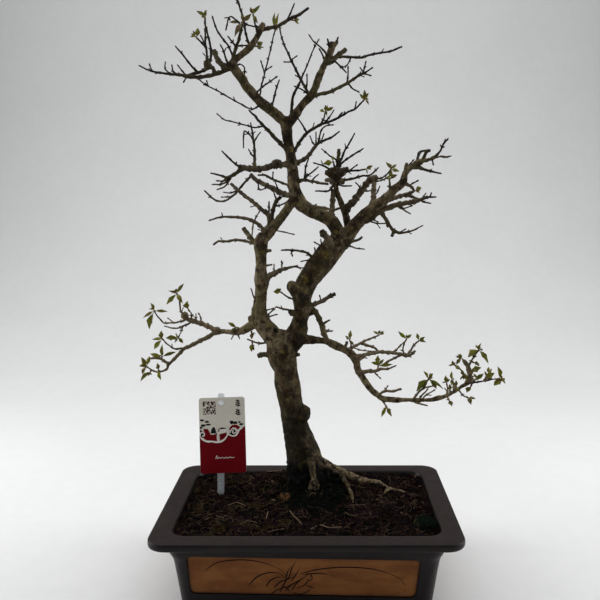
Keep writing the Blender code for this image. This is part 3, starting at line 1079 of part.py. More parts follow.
def make_shoot(name, spec, strands, room, draw):
    """One leafy shoot: a short hub at the twig's end or flank, with its blades sunk in it."""
    group, place, *leaves = spec
    _, _, back, thickness, point, axis, at_tip = strands.nearest(group, *place)
    tips = [sight(across, down, back) for across, down, _ in leaves]
    towards = (sum(tips, Vector()) / len(tips) - point).normalized()
    if at_tip:
        start = point + axis * HUB_GAP * MM
        direction = axis
    else:
        direction = (towards - axis * towards.dot(axis)).normalized()
        start = point + direction * (thickness / 2 * FEW_SIDED_SWELL + HUB_GAP) * MM
    end = start + direction * HUB_LENGTH * MM
    radius = HUB_THICKNESS / 2 * MM
    shapes = [tube([start, end], [radius * 0.8, radius], 4)]
    hub = start.lerp(end, 0.75)
    near = room.around(point)
    taken = [[tuple(start)], [tuple(hub)], [tuple(end)]]
    for across, down, width in leaves:
        points, faces, places = leaf_for(hub, (across, down), back, width, near, draw)
        shapes.append((points, faces))
        taken.append(places)
    room.take(np.vstack(taken))
    finish_object(fuse(f"shoot_{name}", shapes), "leaf")


def make_shoots(strands):
    room = Room(strands)
    draw = random.Random(12)
    for name, spec in SHOOTS.items():
        make_shoot(name, spec, strands, room, draw)


def main():
    for obj in list(bpy.data.objects):
        bpy.data.objects.remove(obj)
    strands = grow_tree()
    make_pot()
    make_screens()
    make_wood(strands)
    make_soil(strands)
    make_moss()
    make_label()
    make_shoots(strands)


main()
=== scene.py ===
"""Looks for the trident maple bonsai: bark, twigs, buds, young leaves, soil, moss, pot and plant label.

Metres, +Z up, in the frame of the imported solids. The tree is drawn as strands: each is a list of places
read from the front view, with how far each lies behind the pot's middle, and sight() turns such a place
into a real point.
"""

import math
import random
from collections import namedtuple

import bmesh
import bpy
import numpy as np
from mathutils import Matrix, Vector, noise


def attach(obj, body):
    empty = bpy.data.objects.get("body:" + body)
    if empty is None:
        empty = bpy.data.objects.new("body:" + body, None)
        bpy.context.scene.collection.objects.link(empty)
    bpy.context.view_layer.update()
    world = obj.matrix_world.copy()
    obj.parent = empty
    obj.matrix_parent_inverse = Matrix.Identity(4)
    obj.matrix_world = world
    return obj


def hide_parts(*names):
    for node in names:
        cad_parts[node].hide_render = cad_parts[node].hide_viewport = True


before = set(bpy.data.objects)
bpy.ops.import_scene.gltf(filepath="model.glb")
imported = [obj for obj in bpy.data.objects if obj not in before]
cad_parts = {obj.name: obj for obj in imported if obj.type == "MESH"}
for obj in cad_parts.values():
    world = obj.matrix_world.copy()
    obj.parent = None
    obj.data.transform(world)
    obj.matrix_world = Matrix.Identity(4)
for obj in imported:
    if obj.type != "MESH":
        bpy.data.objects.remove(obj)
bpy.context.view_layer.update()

MM = 0.001
BODY = "root"

# Pot, in metres, as in its solid
RIM_LENGTH = 0.330
RIM_DEPTH = 0.231
POT_HEIGHT = 0.094
FOOT_HEIGHT = 0.0115
FOOT_SIZE = (0.040, 0.030)
RIM_CORNER = 0.020
BODY_CORNER = 0.015
OUTER_PROFILE = (
    (0.0015, 0.0), (0.0, 0.0017), (0.0, 0.0080), (0.0022, 0.0094), (0.0135, 0.0116),
    (0.0165, 0.0150), (0.0185, 0.0230), (0.0215, 0.0290), (0.0232, 0.0360),
)
BODY_FOOT_INSET = 0.0290
INNER_PROFILE = (
    (0.0205, 0.0), (0.0222, 0.0012), (0.0240, 0.0080), (0.0265, 0.0180), (0.0295, 0.0290), (0.0320, 0.0400),
)
FLOOR_INSET = 0.0370
FLOOR_THICKNESS = 0.009
PANEL_TOP = 0.0240
PANEL_HEIGHT = 0.0445
PANEL_MARGIN = 0.0145
PANEL_SPREAD = 0.0018
PANEL_DEPTH = 0.0016
DRAIN_RADIUS = 0.008
DRAIN_OFFSET = 0.062

# Soil, moss clump and label, in metres, as in their solids
SOIL_EDGE_DROP = 0.0042
SOIL_MOUND = 0.0130
SOIL_MOUND_PLACE = (0.002, 0.044)
SOIL_MOUND_REACH = 0.062
SOIL_RELIEF = 0.0007
SOIL_CORNER = 0.0170
MOSS_RADIUS = 0.0130
MOSS_HEIGHT = 0.0100
CARD_SIZE = (0.0552, 0.0905)
CARD_THICKNESS = 0.0008
CARD_CORNER = 0.0032
CARD_HOLE_RADIUS = 0.0031
CARD_HOLE_DROP = 0.0068
CARD_HOLE_SHIFT = -0.0008
CARD_ROLL = math.radians(1.8)
LABEL_LEAN = math.radians(9)

# Front view: the eye's place over the rim, its dip, and the view's centre and focal length in view units
EYE_ACROSS = 0.0172
EYE_DISTANCE = 0.8289
EYE_OVER_RIM = 0.3462
EYE_DIP = math.radians(7.66)
VIEW_CENTRE = (323.0, 300.0)
VIEW_FOCAL = 744.0
VIEW_SIZE = 600

# Places in the front view
MOSS_PLACE = (422.5, 525)
LABEL_PLACE = (221, 495)
CARD_HOLE_PLACE = (221, 403)

# Main strands: places of (across, down, back in mm, thickness in mm)
TRUNK = (
    (311, 506, 52, 53), (310, 490, 52, 53), (308, 474, 52, 51), (305, 461, 51, 45), (302.5, 450, 50, 40.5),
    (297.5, 433.5, 48.5, 34), (294, 420, 47, 30), (290.5, 400, 45, 29.8), (287.2, 382, 43, 30.5),
    (284.9, 366, 42.5, 29.5), (282.6, 358, 41.5, 34.5), (282.5, 350, 40.5, 38), (283, 342, 40, 37),
    (283.5, 335, 39.5, 32), (284.5, 331.5, 39.5, 24),
)
LEFT_STEM = (
    (281, 346, 40, 25), (272.3, 335, 39, 24), (263.5, 325.5, 38, 22), (259.5, 315, 37, 20),
    (260, 303, 35, 15.5), (261, 291, 33, 15.5), (262, 281, 32, 17.5),
    (261, 270, 31, 14), (261, 259, 30, 12.8), (261, 249, 29, 16),
    (262, 240, 28, 16), (264, 234, 28, 12),
)
LEFT_BRIDGE = (
    (263, 240, 28, 12), (270, 232, 29, 12), (276, 224, 31, 11.5), (283, 215, 34, 11), (290, 205, 38, 11),
    (296, 197, 40, 10),
)
RIGHT_STEM = (
    (287, 349, 40, 25), (296, 335, 41, 25.5), (298.6, 328, 42, 22.5), (300, 321, 43, 19.5),
    (302.5, 311, 45, 20.5), (302, 299, 47, 22.5),
    (304, 288, 49, 24.5), (309, 279, 50, 26), (316, 269, 51, 28), (323.5, 260, 52, 29.5), (331, 250, 52, 28),
    (339, 241, 52, 24), (344, 234, 52, 17),
)
UPPER_STEM = (
    (342, 242, 52, 18), (337, 230, 51, 17), (331, 221, 50, 16), (322, 215, 48, 15.5), (311, 211, 46, 15.5),
    (301, 204, 43, 16), (295, 192, 40, 15), (293.5, 180, 38, 14), (292.5, 169, 37, 13.2),
    (291, 158, 36, 12.6), (289.5, 148, 36, 11.6), (288, 139, 36, 11.6), (286.5, 130, 35, 13),
    (285, 120, 34, 12.5), (285, 116, 34, 8),
)
LEFT_LEADER = (
    (287, 128, 34, 10), (281, 119, 34, 11.4), (272, 111, 33, 11.4), (260, 101, 31, 11), (248, 88, 28, 10.4),
    (240, 76, 25, 10.4), (232, 65, 22, 10.5), (229, 61, 21, 7),
)
RIGHT_LEADER = (
    (286, 129, 34, 10), (290, 122, 34, 10), (296, 114, 35, 10), (304, 103, 37, 9.5), (312, 94, 39, 9.5),
    (318, 80, 42, 8.4), (325, 64, 46, 8), (330, 52, 50, 8), (333, 42, 53, 8.6),
)
LEFT_HEAD = (
    (230, 66, 21, 9), (233, 62, 22, 8.5), (240, 56, 24, 8), (248, 49, 27, 7.6), (254, 42, 30, 7.2),
    (259, 33, 33, 7), (262, 27, 35, 7.6), (264, 23, 36, 5),
)
RIGHT_MAIN = (
    (341, 245, 52, 19), (345, 239, 51, 19), (352, 229, 49, 17), (362, 218, 45, 15.5), (373, 208, 40, 13.5),
    (385, 199, 33, 11.5), (395, 189, 25, 10), (403, 182, 18, 8.6), (405, 173, 13, 6.6), (412, 167, 7, 6),
    (419, 162, 3, 6.4), (427, 160, -4, 4.4), (434, 158, -8, 3.8), (440, 156.5, -12, 3), (446, 157, -16, 2.6),
    (453, 155.3, -21, 1.8),
)
BACK_STEM = (
    (343, 245, 54, 11), (345.5, 236, 57, 8.5), (347, 221, 60, 8.2), (344, 210, 62, 7.6), (340, 200, 64, 6.6),
    (336, 188, 66, 6.6), (335, 178, 67, 9),
)
RIGHT_UPPER = (
    (345, 214, 61, 7), (349, 206, 63, 8), (354, 201, 65, 8), (360, 193, 69, 7.6), (366, 185, 72, 7.2),
    (372, 179, 75, 8.2), (377, 177, 77, 7),
)
LOW_LEFT = (
    (262, 321, 38, 14), (255, 323.5, 41, 12), (249, 327, 44, 10.6), (244, 329.8, 47, 10), (239, 331.8, 50, 9),
    (232, 332, 55, 7.4),
    (225, 331.5, 59, 6.2), (217, 331, 63, 6.2),
)
LOW_RIGHT = (
    (289, 341, 37, 14), (300, 339.5, 36, 13), (309, 339.4, 34, 10.8), (319, 340.6, 32, 8.6),
    (327, 341.6, 30, 8.8), (334, 344.8, 27.5, 10), (339, 347, 26, 9.8), (345, 350, 24, 9.6),
    (352, 355, 21, 10), (356, 362, 19, 8.8), (358, 370, 16, 8.2), (363, 378, 13, 7.6),
    (369, 387, 9, 7.2), (376, 394, 5, 6.8), (382, 398, 1, 6.8), (392, 399.5, -3, 6.2),
    (405, 400, -9, 5.8), (420, 400, -15, 5.6), (434, 399, -20, 5.2), (448, 395, -26, 4.8),
    (455, 391, -30, 4.4), (462, 386, -35, 4), (470, 383, -39, 3.6), (478, 382, -42, 3.2),
    (485, 381, -45, 2.8), (493, 379, -48, 2.4), (498, 379, -50, 2),
)

# Twigs: how far each reaches back by its tip in mm, its thickness in mm at root and tip, then its route
LOW_LEFT_TWIGS = (
    (9, 6.0, 5.8, (219, 331), (211, 328), (205, 325), (197, 322), (190, 320), (185.5, 317.5)),
    (0, 5.8, 7.4, (186.5, 318), (184, 315), (183, 312.5)),
    (4, 5.8, 3.6, (219, 331), (214, 333), (208, 337), (200, 341), (190, 346), (184, 349), (178, 355),
     (172, 361), (168, 365)),
    (4, 2.2, 1.5, (200, 323), (201, 318), (199.5, 315)),
    (-3, 2.0, 1.5, (196, 322), (196, 315)),
    (4, 2.2, 1.5, (236, 331), (232, 338)),
    (-5, 2.2, 1.5, (236.5, 331), (239, 337.5)),
    (-3, 2.4, 1.6, (191, 320), (191.5, 314), (189.5, 311)),
    (8, 2.6, 1.6, (186, 319), (178, 322), (170, 323), (164, 323), (160, 319), (156, 314), (155, 312)),
    (5, 1.7, 1.4, (174, 323), (169, 319)),
    (-9, 2.5, 1.6, (191, 321), (183, 326), (178, 328), (172, 328), (166, 326.5)),
    (-6, 1.8, 1.4, (183, 326), (181, 332), (179, 336)),
    (-8, 2.4, 1.6, (183, 349), (175, 349), (170, 346), (166, 343), (163.5, 340)),
    (6, 3.6, 2.8, (169, 364), (164, 361), (160, 358.5), (155, 358), (150, 358.5)),
    (1, 2.8, 1.8, (168, 365), (167, 369), (163, 371), (158, 372), (152, 370), (148, 367.5)),
    (-6, 2.6, 1.7, (184, 315), (181, 311), (180, 305), (179, 298), (177.5, 295)),
)
TRUNK_TWIGS = (
    (14, 7.0, 5.6, (284, 356), (268, 355), (262, 354.8), (258.3, 356)),
    (-5, 7.0, 4.0, (290, 356), (296, 355), (299.8, 354.2)),
    (-4, 20.0, 14.5, (295, 415.5), (302, 413), (309.3, 412.8)),
)
LOW_RIGHT_TWIGS = (
    (-3, 6.5, 5.0, (354, 359), (358, 357), (361.5, 355.5)),
    (50, 5.0, 3.2, (357, 359), (365, 355), (372, 353), (380, 352), (390, 352.5), (400, 354), (407, 356),
     (412, 354), (415, 351)),
    (26, 3.8, 2.0, (347, 351), (352, 347.5), (357, 345), (365, 341), (370, 339), (378, 335.5)),
    (9, 3.4, 2.6, (362, 343), (366, 345), (370, 346), (375, 348), (378, 351)),
    (-16, 1.8, 1.4, (350, 353), (353, 348), (360, 350), (370, 351)),
    (-6, 2.4, 3.6, (344, 350), (346, 345), (347, 342)),
    (-7, 1.8, 1.4, (352, 347.5), (350.5, 343), (350, 341)),
    (9, 2.4, 1.5, (391, 353), (396, 350), (400, 346), (404, 342)),
    (-9, 2.2, 1.5, (404, 355), (403, 348), (405, 342), (406, 340)),
    (12, 3.2, 2.0, (408, 355), (411, 350), (416, 343), (418, 341.5)),
    (-16, 3.2, 2.4, (406, 355), (395, 358), (389, 361), (384, 364)),
    (-22, 5.6, 1.8, (358.5, 372), (363, 372), (368, 371), (375, 371), (381, 369), (387, 369), (394, 366.5)),
    (-5, 1.7, 1.4, (373, 371), (379, 377)),
    (4, 2.0, 1.5, (377, 370.5), (378, 367)),
    (-18, 3.2, 2.8, (378, 396), (385, 391), (390, 391.5), (401, 389)),
    (6, 2.0, 1.5, (384, 392), (387, 387)),
    (-6, 2.4, 1.7, (381, 398), (386, 406)),
    (14, 2.8, 2.2, (413, 400), (418, 393), (424, 388), (431, 386.5)),
    (-6, 2.0, 1.5, (424, 388), (427, 382), (428, 380)),
    (-9, 2.2, 1.8, (420, 399), (427, 390)),
    (9, 2.0, 1.6, (423, 399), (428, 394), (433, 391)),
    (-10, 2.2, 2.0, (414, 401), (419, 403.5), (425, 405)),
    (9, 2.5, 1.7, (447, 395), (447.5, 388), (447, 385)),
    (-8, 2.2, 1.6, (450, 394), (450, 391)),
    (16, 2.8, 1.8, (454, 391), (453.5, 385), (453, 382)),
    (-12, 2.0, 1.5, (456, 390), (456, 387)),
    (-6, 2.4, 1.7, (447, 396), (448.5, 399)),
    (-10, 2.0, 1.6, (458, 389), (464, 396), (466.5, 397)),
    (14, 6.4, 4.2, (469, 383), (469.5, 372), (467, 365), (463.5, 360.5)),
    (-7, 2.2, 1.6, (468.5, 379), (465, 375), (460, 369), (456.5, 366.5)),
    (-14, 2.4, 1.7, (468, 367), (472, 360), (476, 354), (478, 351)),
    (-9, 2.2, 1.8, (469, 376), (472, 373)),
    (9, 2.2, 1.7, (472, 382.5), (475.5, 379.5)),
    (10, 2.0, 1.6, (485, 381), (487, 377), (488, 374.5)),
)
LEFT_STEM_TWIGS = (
    (-14, 2.8, 1.8, (268, 342), (258, 343), (252, 341), (249.5, 340)),
    (-6, 2.2, 1.6, (255, 298), (251.5, 290)),
    (3, 9.4, 7.6, (257, 318.5), (252, 318.3), (248, 319)),
    (-17, 11.5, 9.5, (270, 335.5), (273.5, 333), (276, 330.5)),
    (-8, 2.4, 1.6, (267, 310), (271, 309)),
    (4, 2.4, 1.5, (266, 315), (272, 311), (275, 308)),
    (-5, 2.4, 1.8, (266, 316), (275, 315)),
    (4, 3.2, 2.4, (264, 266), (270, 265)),
    (-22, 8.4, 2.0, (263, 279), (270, 275.5), (275, 273), (281, 270), (288, 268), (296, 266)),
    (-4, 1.8, 1.4, (274, 273), (274, 266)),
    (4, 1.7, 1.3, (282, 270), (281.5, 263)),
    (-6, 1.8, 1.4, (294, 266.5), (303, 268), (309, 266)),
    (26, 5.6, 4.4, (268, 233), (271, 226), (272, 215), (274, 207), (277, 200), (281, 197)),
    (4, 2.6, 1.7, (277, 200.5), (275, 196), (274, 193)),
    (-4, 2.3, 1.6, (275.5, 205), (284, 203.5), (289, 200.5)),
    (5, 2.6, 2.2, (269.5, 228), (269, 213), (269, 204)),
    (48, 5.6, 3.8, (267, 231), (269.5, 224), (269, 217), (266, 213), (260, 208), (252, 201), (245, 196),
     (238, 190), (231, 184)),
    (-38, 4.8, 1.8, (264, 232), (258, 224), (252, 220.5), (243, 218), (232, 217), (222, 217), (217, 218),
     (211, 220)),
    (-4, 1.9, 1.4, (254.5, 221.5), (256, 217), (258.5, 213)),
    (4, 1.8, 1.4, (223, 217), (222, 214)),
    (-6, 1.9, 1.4, (253.5, 221), (252.5, 230), (252, 236)),
    (24, 3.8, 2.6, (258, 244), (252, 243), (245, 241), (236, 240), (226, 241.5), (218, 241.5), (215, 243.5)),
    (10, 6.4, 5.2, (259, 245), (250, 237), (243.5, 228)),
    (-6, 1.8, 1.4, (274, 230), (284, 232), (292, 234)),
    (-5, 4.4, 3.4, (262, 252), (267, 251), (271, 250.5)),
)
RIGHT_STEM_TWIGS = (
    (-14, 20.0, 12.5, (303, 300), (297, 292.5), (291.2, 286.5)),
    (-13, 15.5, 12.0, (304, 308), (308.5, 310.3), (312, 311.5)),
    (-12, 3.0, 1.6, (299, 298), (290, 298), (284, 294.5), (282, 293)),
    (-13, 3.2, 2.2, (299, 314), (294, 313), (288.5, 310), (283, 309), (278, 307.5)),
    (-13, 8.2, 6.2, (300, 316), (295, 314), (290, 311.5)),
    (-14, 5.2, 4.4, (308, 306), (315, 304), (322, 301), (329, 297), (335, 294)),
    (-4, 2.0, 1.6, (321, 301), (320, 297)),
    (-15, 6.6, 6.0, (308, 304), (312, 308), (316, 313), (320, 321), (323, 330), (326, 339), (328, 342)),
    (-3, 3.4, 2.4, (322, 324), (327.5, 321)),
    (3, 3.4, 2.4, (324, 331), (330, 331)),
    (-22, 8.4, 7.4, (336, 254), (333, 248), (328, 240), (322, 231)),
    (-20, 3.6, 2.2, (319, 263), (314, 260), (312, 257), (307, 253), (300, 251), (290, 250), (284, 250)),
    (3, 1.8, 1.4, (291, 250), (292, 254)),
    (-4, 2.0, 1.5, (312, 259), (303, 261)),
    (-8, 2.8, 2.0, (322, 262), (316, 256), (315, 250)),
    (-8, 2.6, 1.8, (327, 253), (321, 246), (316, 243)),
    (-3, 2.0, 1.6, (322, 247), (321, 241)),
    (14, 4.2, 3.0, (340, 246), (347, 243), (353, 241), (360, 239), (362, 237)),
    (10, 2.4, 1.6, (340, 247), (350, 246), (355, 248), (363, 249)),
    (-16, 4.4, 4.0, (306, 283), (302, 279), (299, 277)),
)
UPPER_STEM_TWIGS = (
    (16, 6.4, 5.8, (331, 221), (332, 208), (333, 196), (333, 190)),
    (-16, 3.8, 2.6, (302, 204), (313, 206), (325, 208), (333, 210), (340, 208), (345, 205)),
    (-26, 3.6, 2.8, (296, 181), (301, 180), (310, 181), (320, 183), (328, 184)),
    (-5, 2.4, 1.6, (305, 180.5), (307, 176), (311, 173), (317, 168)),
    (4, 2.0, 1.6, (312, 181), (314, 178), (317, 175.5)),
    (8, 3.0, 1.8, (298, 182), (303, 180), (306, 166), (308, 160)),
    (-22, 5.6, 2.2, (290, 151), (287, 149), (281, 144), (275, 138), (268, 130), (262, 124), (258, 120),
     (255, 116), (250.5, 112)),
    (8, 1.9, 1.4, (264, 126), (255, 127.5), (247, 125.5), (237, 123), (230, 121), (225, 120), (218.5, 115)),
    (-42, 7.0, 6.0, (291, 164), (280, 165), (272, 166), (262, 168.5), (252, 169), (244, 168), (239.5, 166.5)),
    (-1, 8.2, 6.4, (279, 165), (276, 163.5), (273, 164.5)),
    (-6, 4.6, 3.4, (243, 168), (240, 170), (235, 174), (230, 176.5), (226, 178)),
    (4, 2.8, 1.9, (227, 178), (222, 176), (213, 173.5)),
    (-4, 2.2, 1.7, (226, 178), (223, 181), (219, 181)),
    (5, 2.2, 1.7, (229, 178), (222, 184), (214, 184.5)),
    (-6, 2.2, 1.7, (230.5, 177), (228, 182), (224, 187), (219, 189)),
    (-6, 2.5, 2.0, (240, 167), (233, 162), (228, 157), (224, 153)),
    (22, 3.6, 1.9, (254.5, 169), (254.5, 155), (254, 145), (253, 138), (252, 130), (251, 125)),
    (-5, 2.0, 1.5, (253, 139), (248, 133), (244.5, 131), (243.7, 135), (243.5, 146)),
    (4, 1.9, 1.4, (254, 142), (257, 137), (259.5, 133.5)),
    (-4, 1.9, 1.5, (254.5, 157), (252, 155), (249.5, 151)),
    (34, 7.0, 5.0, (294, 194), (287, 195), (280, 192), (270, 187), (262, 183), (254, 178), (250.5, 175)),
    (20, 3.0, 2.2, (251.5, 175.5), (246, 181), (240, 188), (236, 193), (231, 197), (225, 201), (218, 201),
     (212, 198), (206, 192)),
    (-5, 1.9, 1.5, (238, 190), (230, 193), (225, 192.5)),
    (5, 1.9, 1.5, (232, 196.5), (223, 197)),
    (-5, 2.0, 1.5, (259, 182), (260, 190), (264, 189)),
    (18, 3.0, 2.4, (292, 186), (288, 185), (280, 182), (272, 179), (265, 175), (260, 175)),
    (-4, 1.9, 1.5, (272.5, 179), (273, 174)),
    (-5, 2.0, 1.6, (279, 191), (276, 184)),
    (-14, 4.2, 1.8, (291, 154), (296, 148), (301, 140), (306, 134), (313, 129), (320, 125), (328, 122),
     (338, 118), (350, 111), (355, 109), (360, 104), (363, 101)),
    (-5, 2.0, 1.4, (324, 123.5), (328, 119), (333, 111.5)),
    (4, 1.8, 1.5, (355, 109), (356, 103)),
    (-6, 2.4, 1.6, (320, 125.5), (324, 118), (325, 113.5)),
    (4, 2.0, 2.4, (338, 118), (341, 114)),
    (5, 2.4, 1.6, (307, 133), (303, 126), (299, 120)),
    (26, 5.6, 2.0, (292, 164), (297, 163), (303, 160), (309, 155), (314, 148), (319, 143), (325, 140),
     (332, 137), (338, 132.5)),
    (-4, 2.0, 1.5, (316, 146), (316, 134)),
    (4, 2.0, 1.5, (316, 146), (313, 143), (310.5, 137.5)),
    (-4, 1.9, 1.5, (321, 142), (323.5, 135)),
    (6, 2.2, 1.6, (318, 144), (320, 135), (322, 129), (326, 126), (331, 125)),
    (6, 6.0, 4.4, (287, 124), (290, 118), (291.5, 115)),
    (-6, 3.6, 2.6, (291, 117), (292, 105), (293, 96), (296, 90), (300, 82)),
)
BACK_TWIGS = (
    (0, 12.0, 9.0, (336, 184), (334.5, 175), (334, 167)),
    (-7, 11.0, 6.0, (334, 176), (329, 173), (326, 172)),
    (-5, 10.0, 7.0, (335, 177), (341, 174), (345, 172)),
    (6, 9.0, 5.0, (335, 179), (341, 181), (344, 183)),
    (4, 5.0, 4.0, (336, 170), (338, 160), (339, 149)),
    (-9, 3.0, 1.8, (336, 168), (341, 160), (345, 150), (350, 142), (353.5, 135.5)),
    (5, 3.0, 2.0, (337, 169), (342, 163), (350, 157), (361, 150)),
    (-6, 2.4, 1.5, (336, 168), (337, 161), (330, 156), (323, 150)),
    (-4, 2.4, 2.0, (334.5, 170), (334, 165), (333.5, 163)),
    (-7, 3.0, 1.8, (332, 173), (325, 166.5), (316, 163.5)),
    (-8, 5.8, 5.0, (341, 172), (348, 168.5)),
    (6, 3.2, 2.0, (343, 173), (349, 171), (358, 170.5), (364, 169.5)),
    (-3, 2.0, 1.6, (349, 171), (355.5, 166)),
    (9, 3.4, 1.9, (340, 180), (343, 180), (353, 178.5), (362, 176), (370, 175), (377, 169)),
    (5, 2.6, 2.0, (337, 184), (343, 186), (349, 186)),
    (-8, 2.8, 2.0, (334, 185), (330, 190), (318, 191)),
    (10, 6.0, 5.0, (335, 183), (329, 180), (326, 180)),
)
RIGHT_MAIN_TWIGS = (
    (18, 6.0, 5.4, (373, 207), (373.5, 198), (373.5, 190), (374.5, 183)),
    (-4, 2.2, 1.6, (375.5, 194), (379, 188)),
    (-8, 7.6, 5.4, (366, 219), (380, 211), (390, 207), (400, 204), (407, 203), (414, 202)),
    (-5, 5.0, 2.0, (413, 202), (420, 200), (425, 198), (430, 197), (433.5, 197)),
    (4, 2.0, 1.5, (421.5, 199), (425, 194.5)),
    (-3, 1.9, 1.5, (430, 197), (431, 194)),
    (14, 6.2, 4.6, (382, 203), (388, 200), (394, 198), (400, 196), (407, 195)),
    (6, 3.6, 1.9, (406, 195), (413, 197), (420, 200), (424, 202), (428.5, 203)),
    (-4, 4.4, 3.2, (405, 195.5), (409, 193.5), (413.5, 191.5)),
    (-5, 2.0, 1.4, (388, 196), (394, 194), (398, 190.5)),
    (-5, 2.4, 1.6, (398, 206), (402, 208.5), (410, 206.5)),
    (4, 2.4, 1.8, (400, 206), (404, 210), (409, 213)),
    (-6, 2.2, 1.6, (364, 218), (371, 221.5), (377, 223.5), (383, 223.5)),
    (4, 2.2, 1.8, (366, 217), (372, 219.5), (376, 221)),
    (-12, 5.0, 3.4, (379, 211), (384, 216), (387, 221), (390, 226), (393, 230), (396, 232)),
    (8, 3.2, 1.5, (395, 231.5), (400, 233), (407, 232), (414, 230), (421, 226.5)),
    (-3, 3.6, 3.4, (394, 231), (392, 236.5)),
    (-3, 2.0, 1.6, (399, 233), (404, 230)),
    (5, 3.2, 3.2, (386, 219), (388, 227)),
    (-8, 4.0, 2.8, (403, 183), (408, 185), (412, 188), (414, 190.5)),
    (-4, 2.0, 1.6, (410, 185.5), (416, 181.7)),
    (9, 4.6, 3.6, (404, 178), (405, 172), (406, 166), (407, 163.5)),
    (-3, 2.0, 1.5, (406.5, 166.5), (412, 161.7)),
    (-10, 4.4, 1.8, (392, 192), (390, 186), (389.5, 181)),
    (-4, 6.6, 5.6, (415, 165), (418, 167)),
    (-9, 3.8, 1.9, (417, 166.5), (424, 169.5), (430, 171), (438.5, 173)),
    (9, 3.6, 2.6, (417, 164), (418, 157), (420, 152), (423, 151)),
    (-4, 4.2, 3.4, (420, 163), (425, 155), (427, 151), (430.5, 150.5)),
    (6, 3.0, 1.8, (432, 158.5), (438, 154), (440, 151.5), (442, 147), (444.5, 141.5)),
    (-3, 1.8, 1.6, (443, 144.5), (446.5, 140.8)),
    (-3, 1.9, 1.6, (432, 159), (433, 163)),
)
RIGHT_UPPER_TWIGS = (
    (-10, 2.4, 1.7, (376, 178), (380, 178.5), (386, 175), (390, 170.5)),
    (6, 2.2, 1.8, (374, 181), (379, 181), (384, 179.5), (388, 177)),
    (8, 2.6, 2.0, (362, 190), (366, 191), (369, 191)),
    (-5, 2.2, 1.6, (361, 191), (359, 186), (357, 184)),
)
LEFT_LEADER_TWIGS = (
    (-12, 1.9, 1.5, (262, 103), (253, 109), (240, 103.5), (230, 98), (216, 90), (208, 86), (202, 82),
     (197, 77)),
    (3, 1.6, 1.4, (208, 86), (207, 82)),
    (10, 2.6, 1.8, (270, 110), (273, 102), (276, 90), (278.5, 82)),
    (-6, 2.2, 1.6, (251, 92), (254, 94), (261, 88), (268, 83), (275, 78)),
    (16, 2.0, 1.5, (257, 99), (259, 97), (261, 88), (263, 80), (265.5, 70), (268, 60), (271, 48), (273, 38),
     (275, 31)),
    (-3, 1.6, 1.4, (264.5, 73), (261.5, 63)),
    (3, 1.6, 1.4, (266, 70), (270, 67.5)),
    (8, 1.9, 1.5, (235, 69), (240, 64), (244, 67), (244.5, 75)),
    (-14, 5.0, 3.6, (232, 67), (222, 72), (212, 75), (200, 77), (188, 77), (184, 76)),
    (4, 4.0, 3.2, (215, 74), (212, 67.5), (205, 70), (197, 73), (186, 75.5)),
    (-4, 7.0, 6.4, (209, 68.5), (207, 63.5), (206.5, 61)),
    (-12, 3.4, 1.6, (186, 76), (180, 75), (170, 74), (155, 72), (148, 70), (141, 66.5)),
    (-4, 1.8, 1.4, (170, 74), (165, 68), (165, 64)),
    (5, 2.4, 1.7, (184, 76), (173, 71), (172, 67)),
    (-4, 2.0, 1.5, (186, 75.5), (179, 67)),
    (4, 1.9, 1.5, (187, 76.5), (184.5, 80.5)),
    (3, 1.7, 1.4, (152, 71), (150, 66)),
    (-10, 2.6, 1.8, (198, 73), (190, 64), (183, 55), (177, 48)),
    (8, 3.0, 2.0, (208, 64), (211, 52), (209.5, 42), (207, 32), (205, 22), (205, 19)),
    (-8, 2.8, 1.9, (207, 62), (206.5, 50), (205.5, 45), (205.5, 38), (205, 31)),
    (-3, 2.2, 1.7, (206, 47.5), (202, 43), (197.8, 39)),
    (4, 1.9, 1.6, (205, 44), (201.5, 37)),
    (12, 6.2, 5.4, (225, 68), (219, 62), (214, 50)),
    (4, 2.4, 1.8, (231, 62), (229, 47), (222, 38), (217, 30), (213, 19)),
    (-8, 2.4, 1.8, (229, 64), (226, 59), (223, 50), (221.5, 47)),
)
LEFT_HEAD_TWIGS = (
    (14, 4.6, 3.0, (261, 29), (270, 28), (278, 26), (283, 23), (290, 19), (300, 14), (308.5, 8)),
    (-4, 2.2, 1.7, (287, 20.5), (291, 12), (293.5, 6)),
    (-6, 2.0, 1.6, (260, 28), (252, 26), (248, 25), (245, 23)),
    (-10, 4.0, 2.8, (233, 62), (235, 50), (238, 42), (241, 30), (242, 24)),
    (14, 2.8, 2.2, (250, 47.5), (248, 42), (245.5, 32), (243.5, 20), (242, 14), (240, 8), (238, 1)),
    (-5, 2.2, 1.7, (236.5, 47), (229.5, 38.5)),
    (5, 2.0, 1.7, (237, 46), (245, 45.5)),
    (-6, 2.0, 1.5, (241.5, 26), (235, 19), (230.5, 16.5), (228.5, 19), (226.5, 27.5)),
    (4, 1.8, 1.6, (239.5, 6), (236, -0.5)),
    (-8, 2.2, 1.6, (258, 36), (255, 24), (253.5, 16.5)),
)
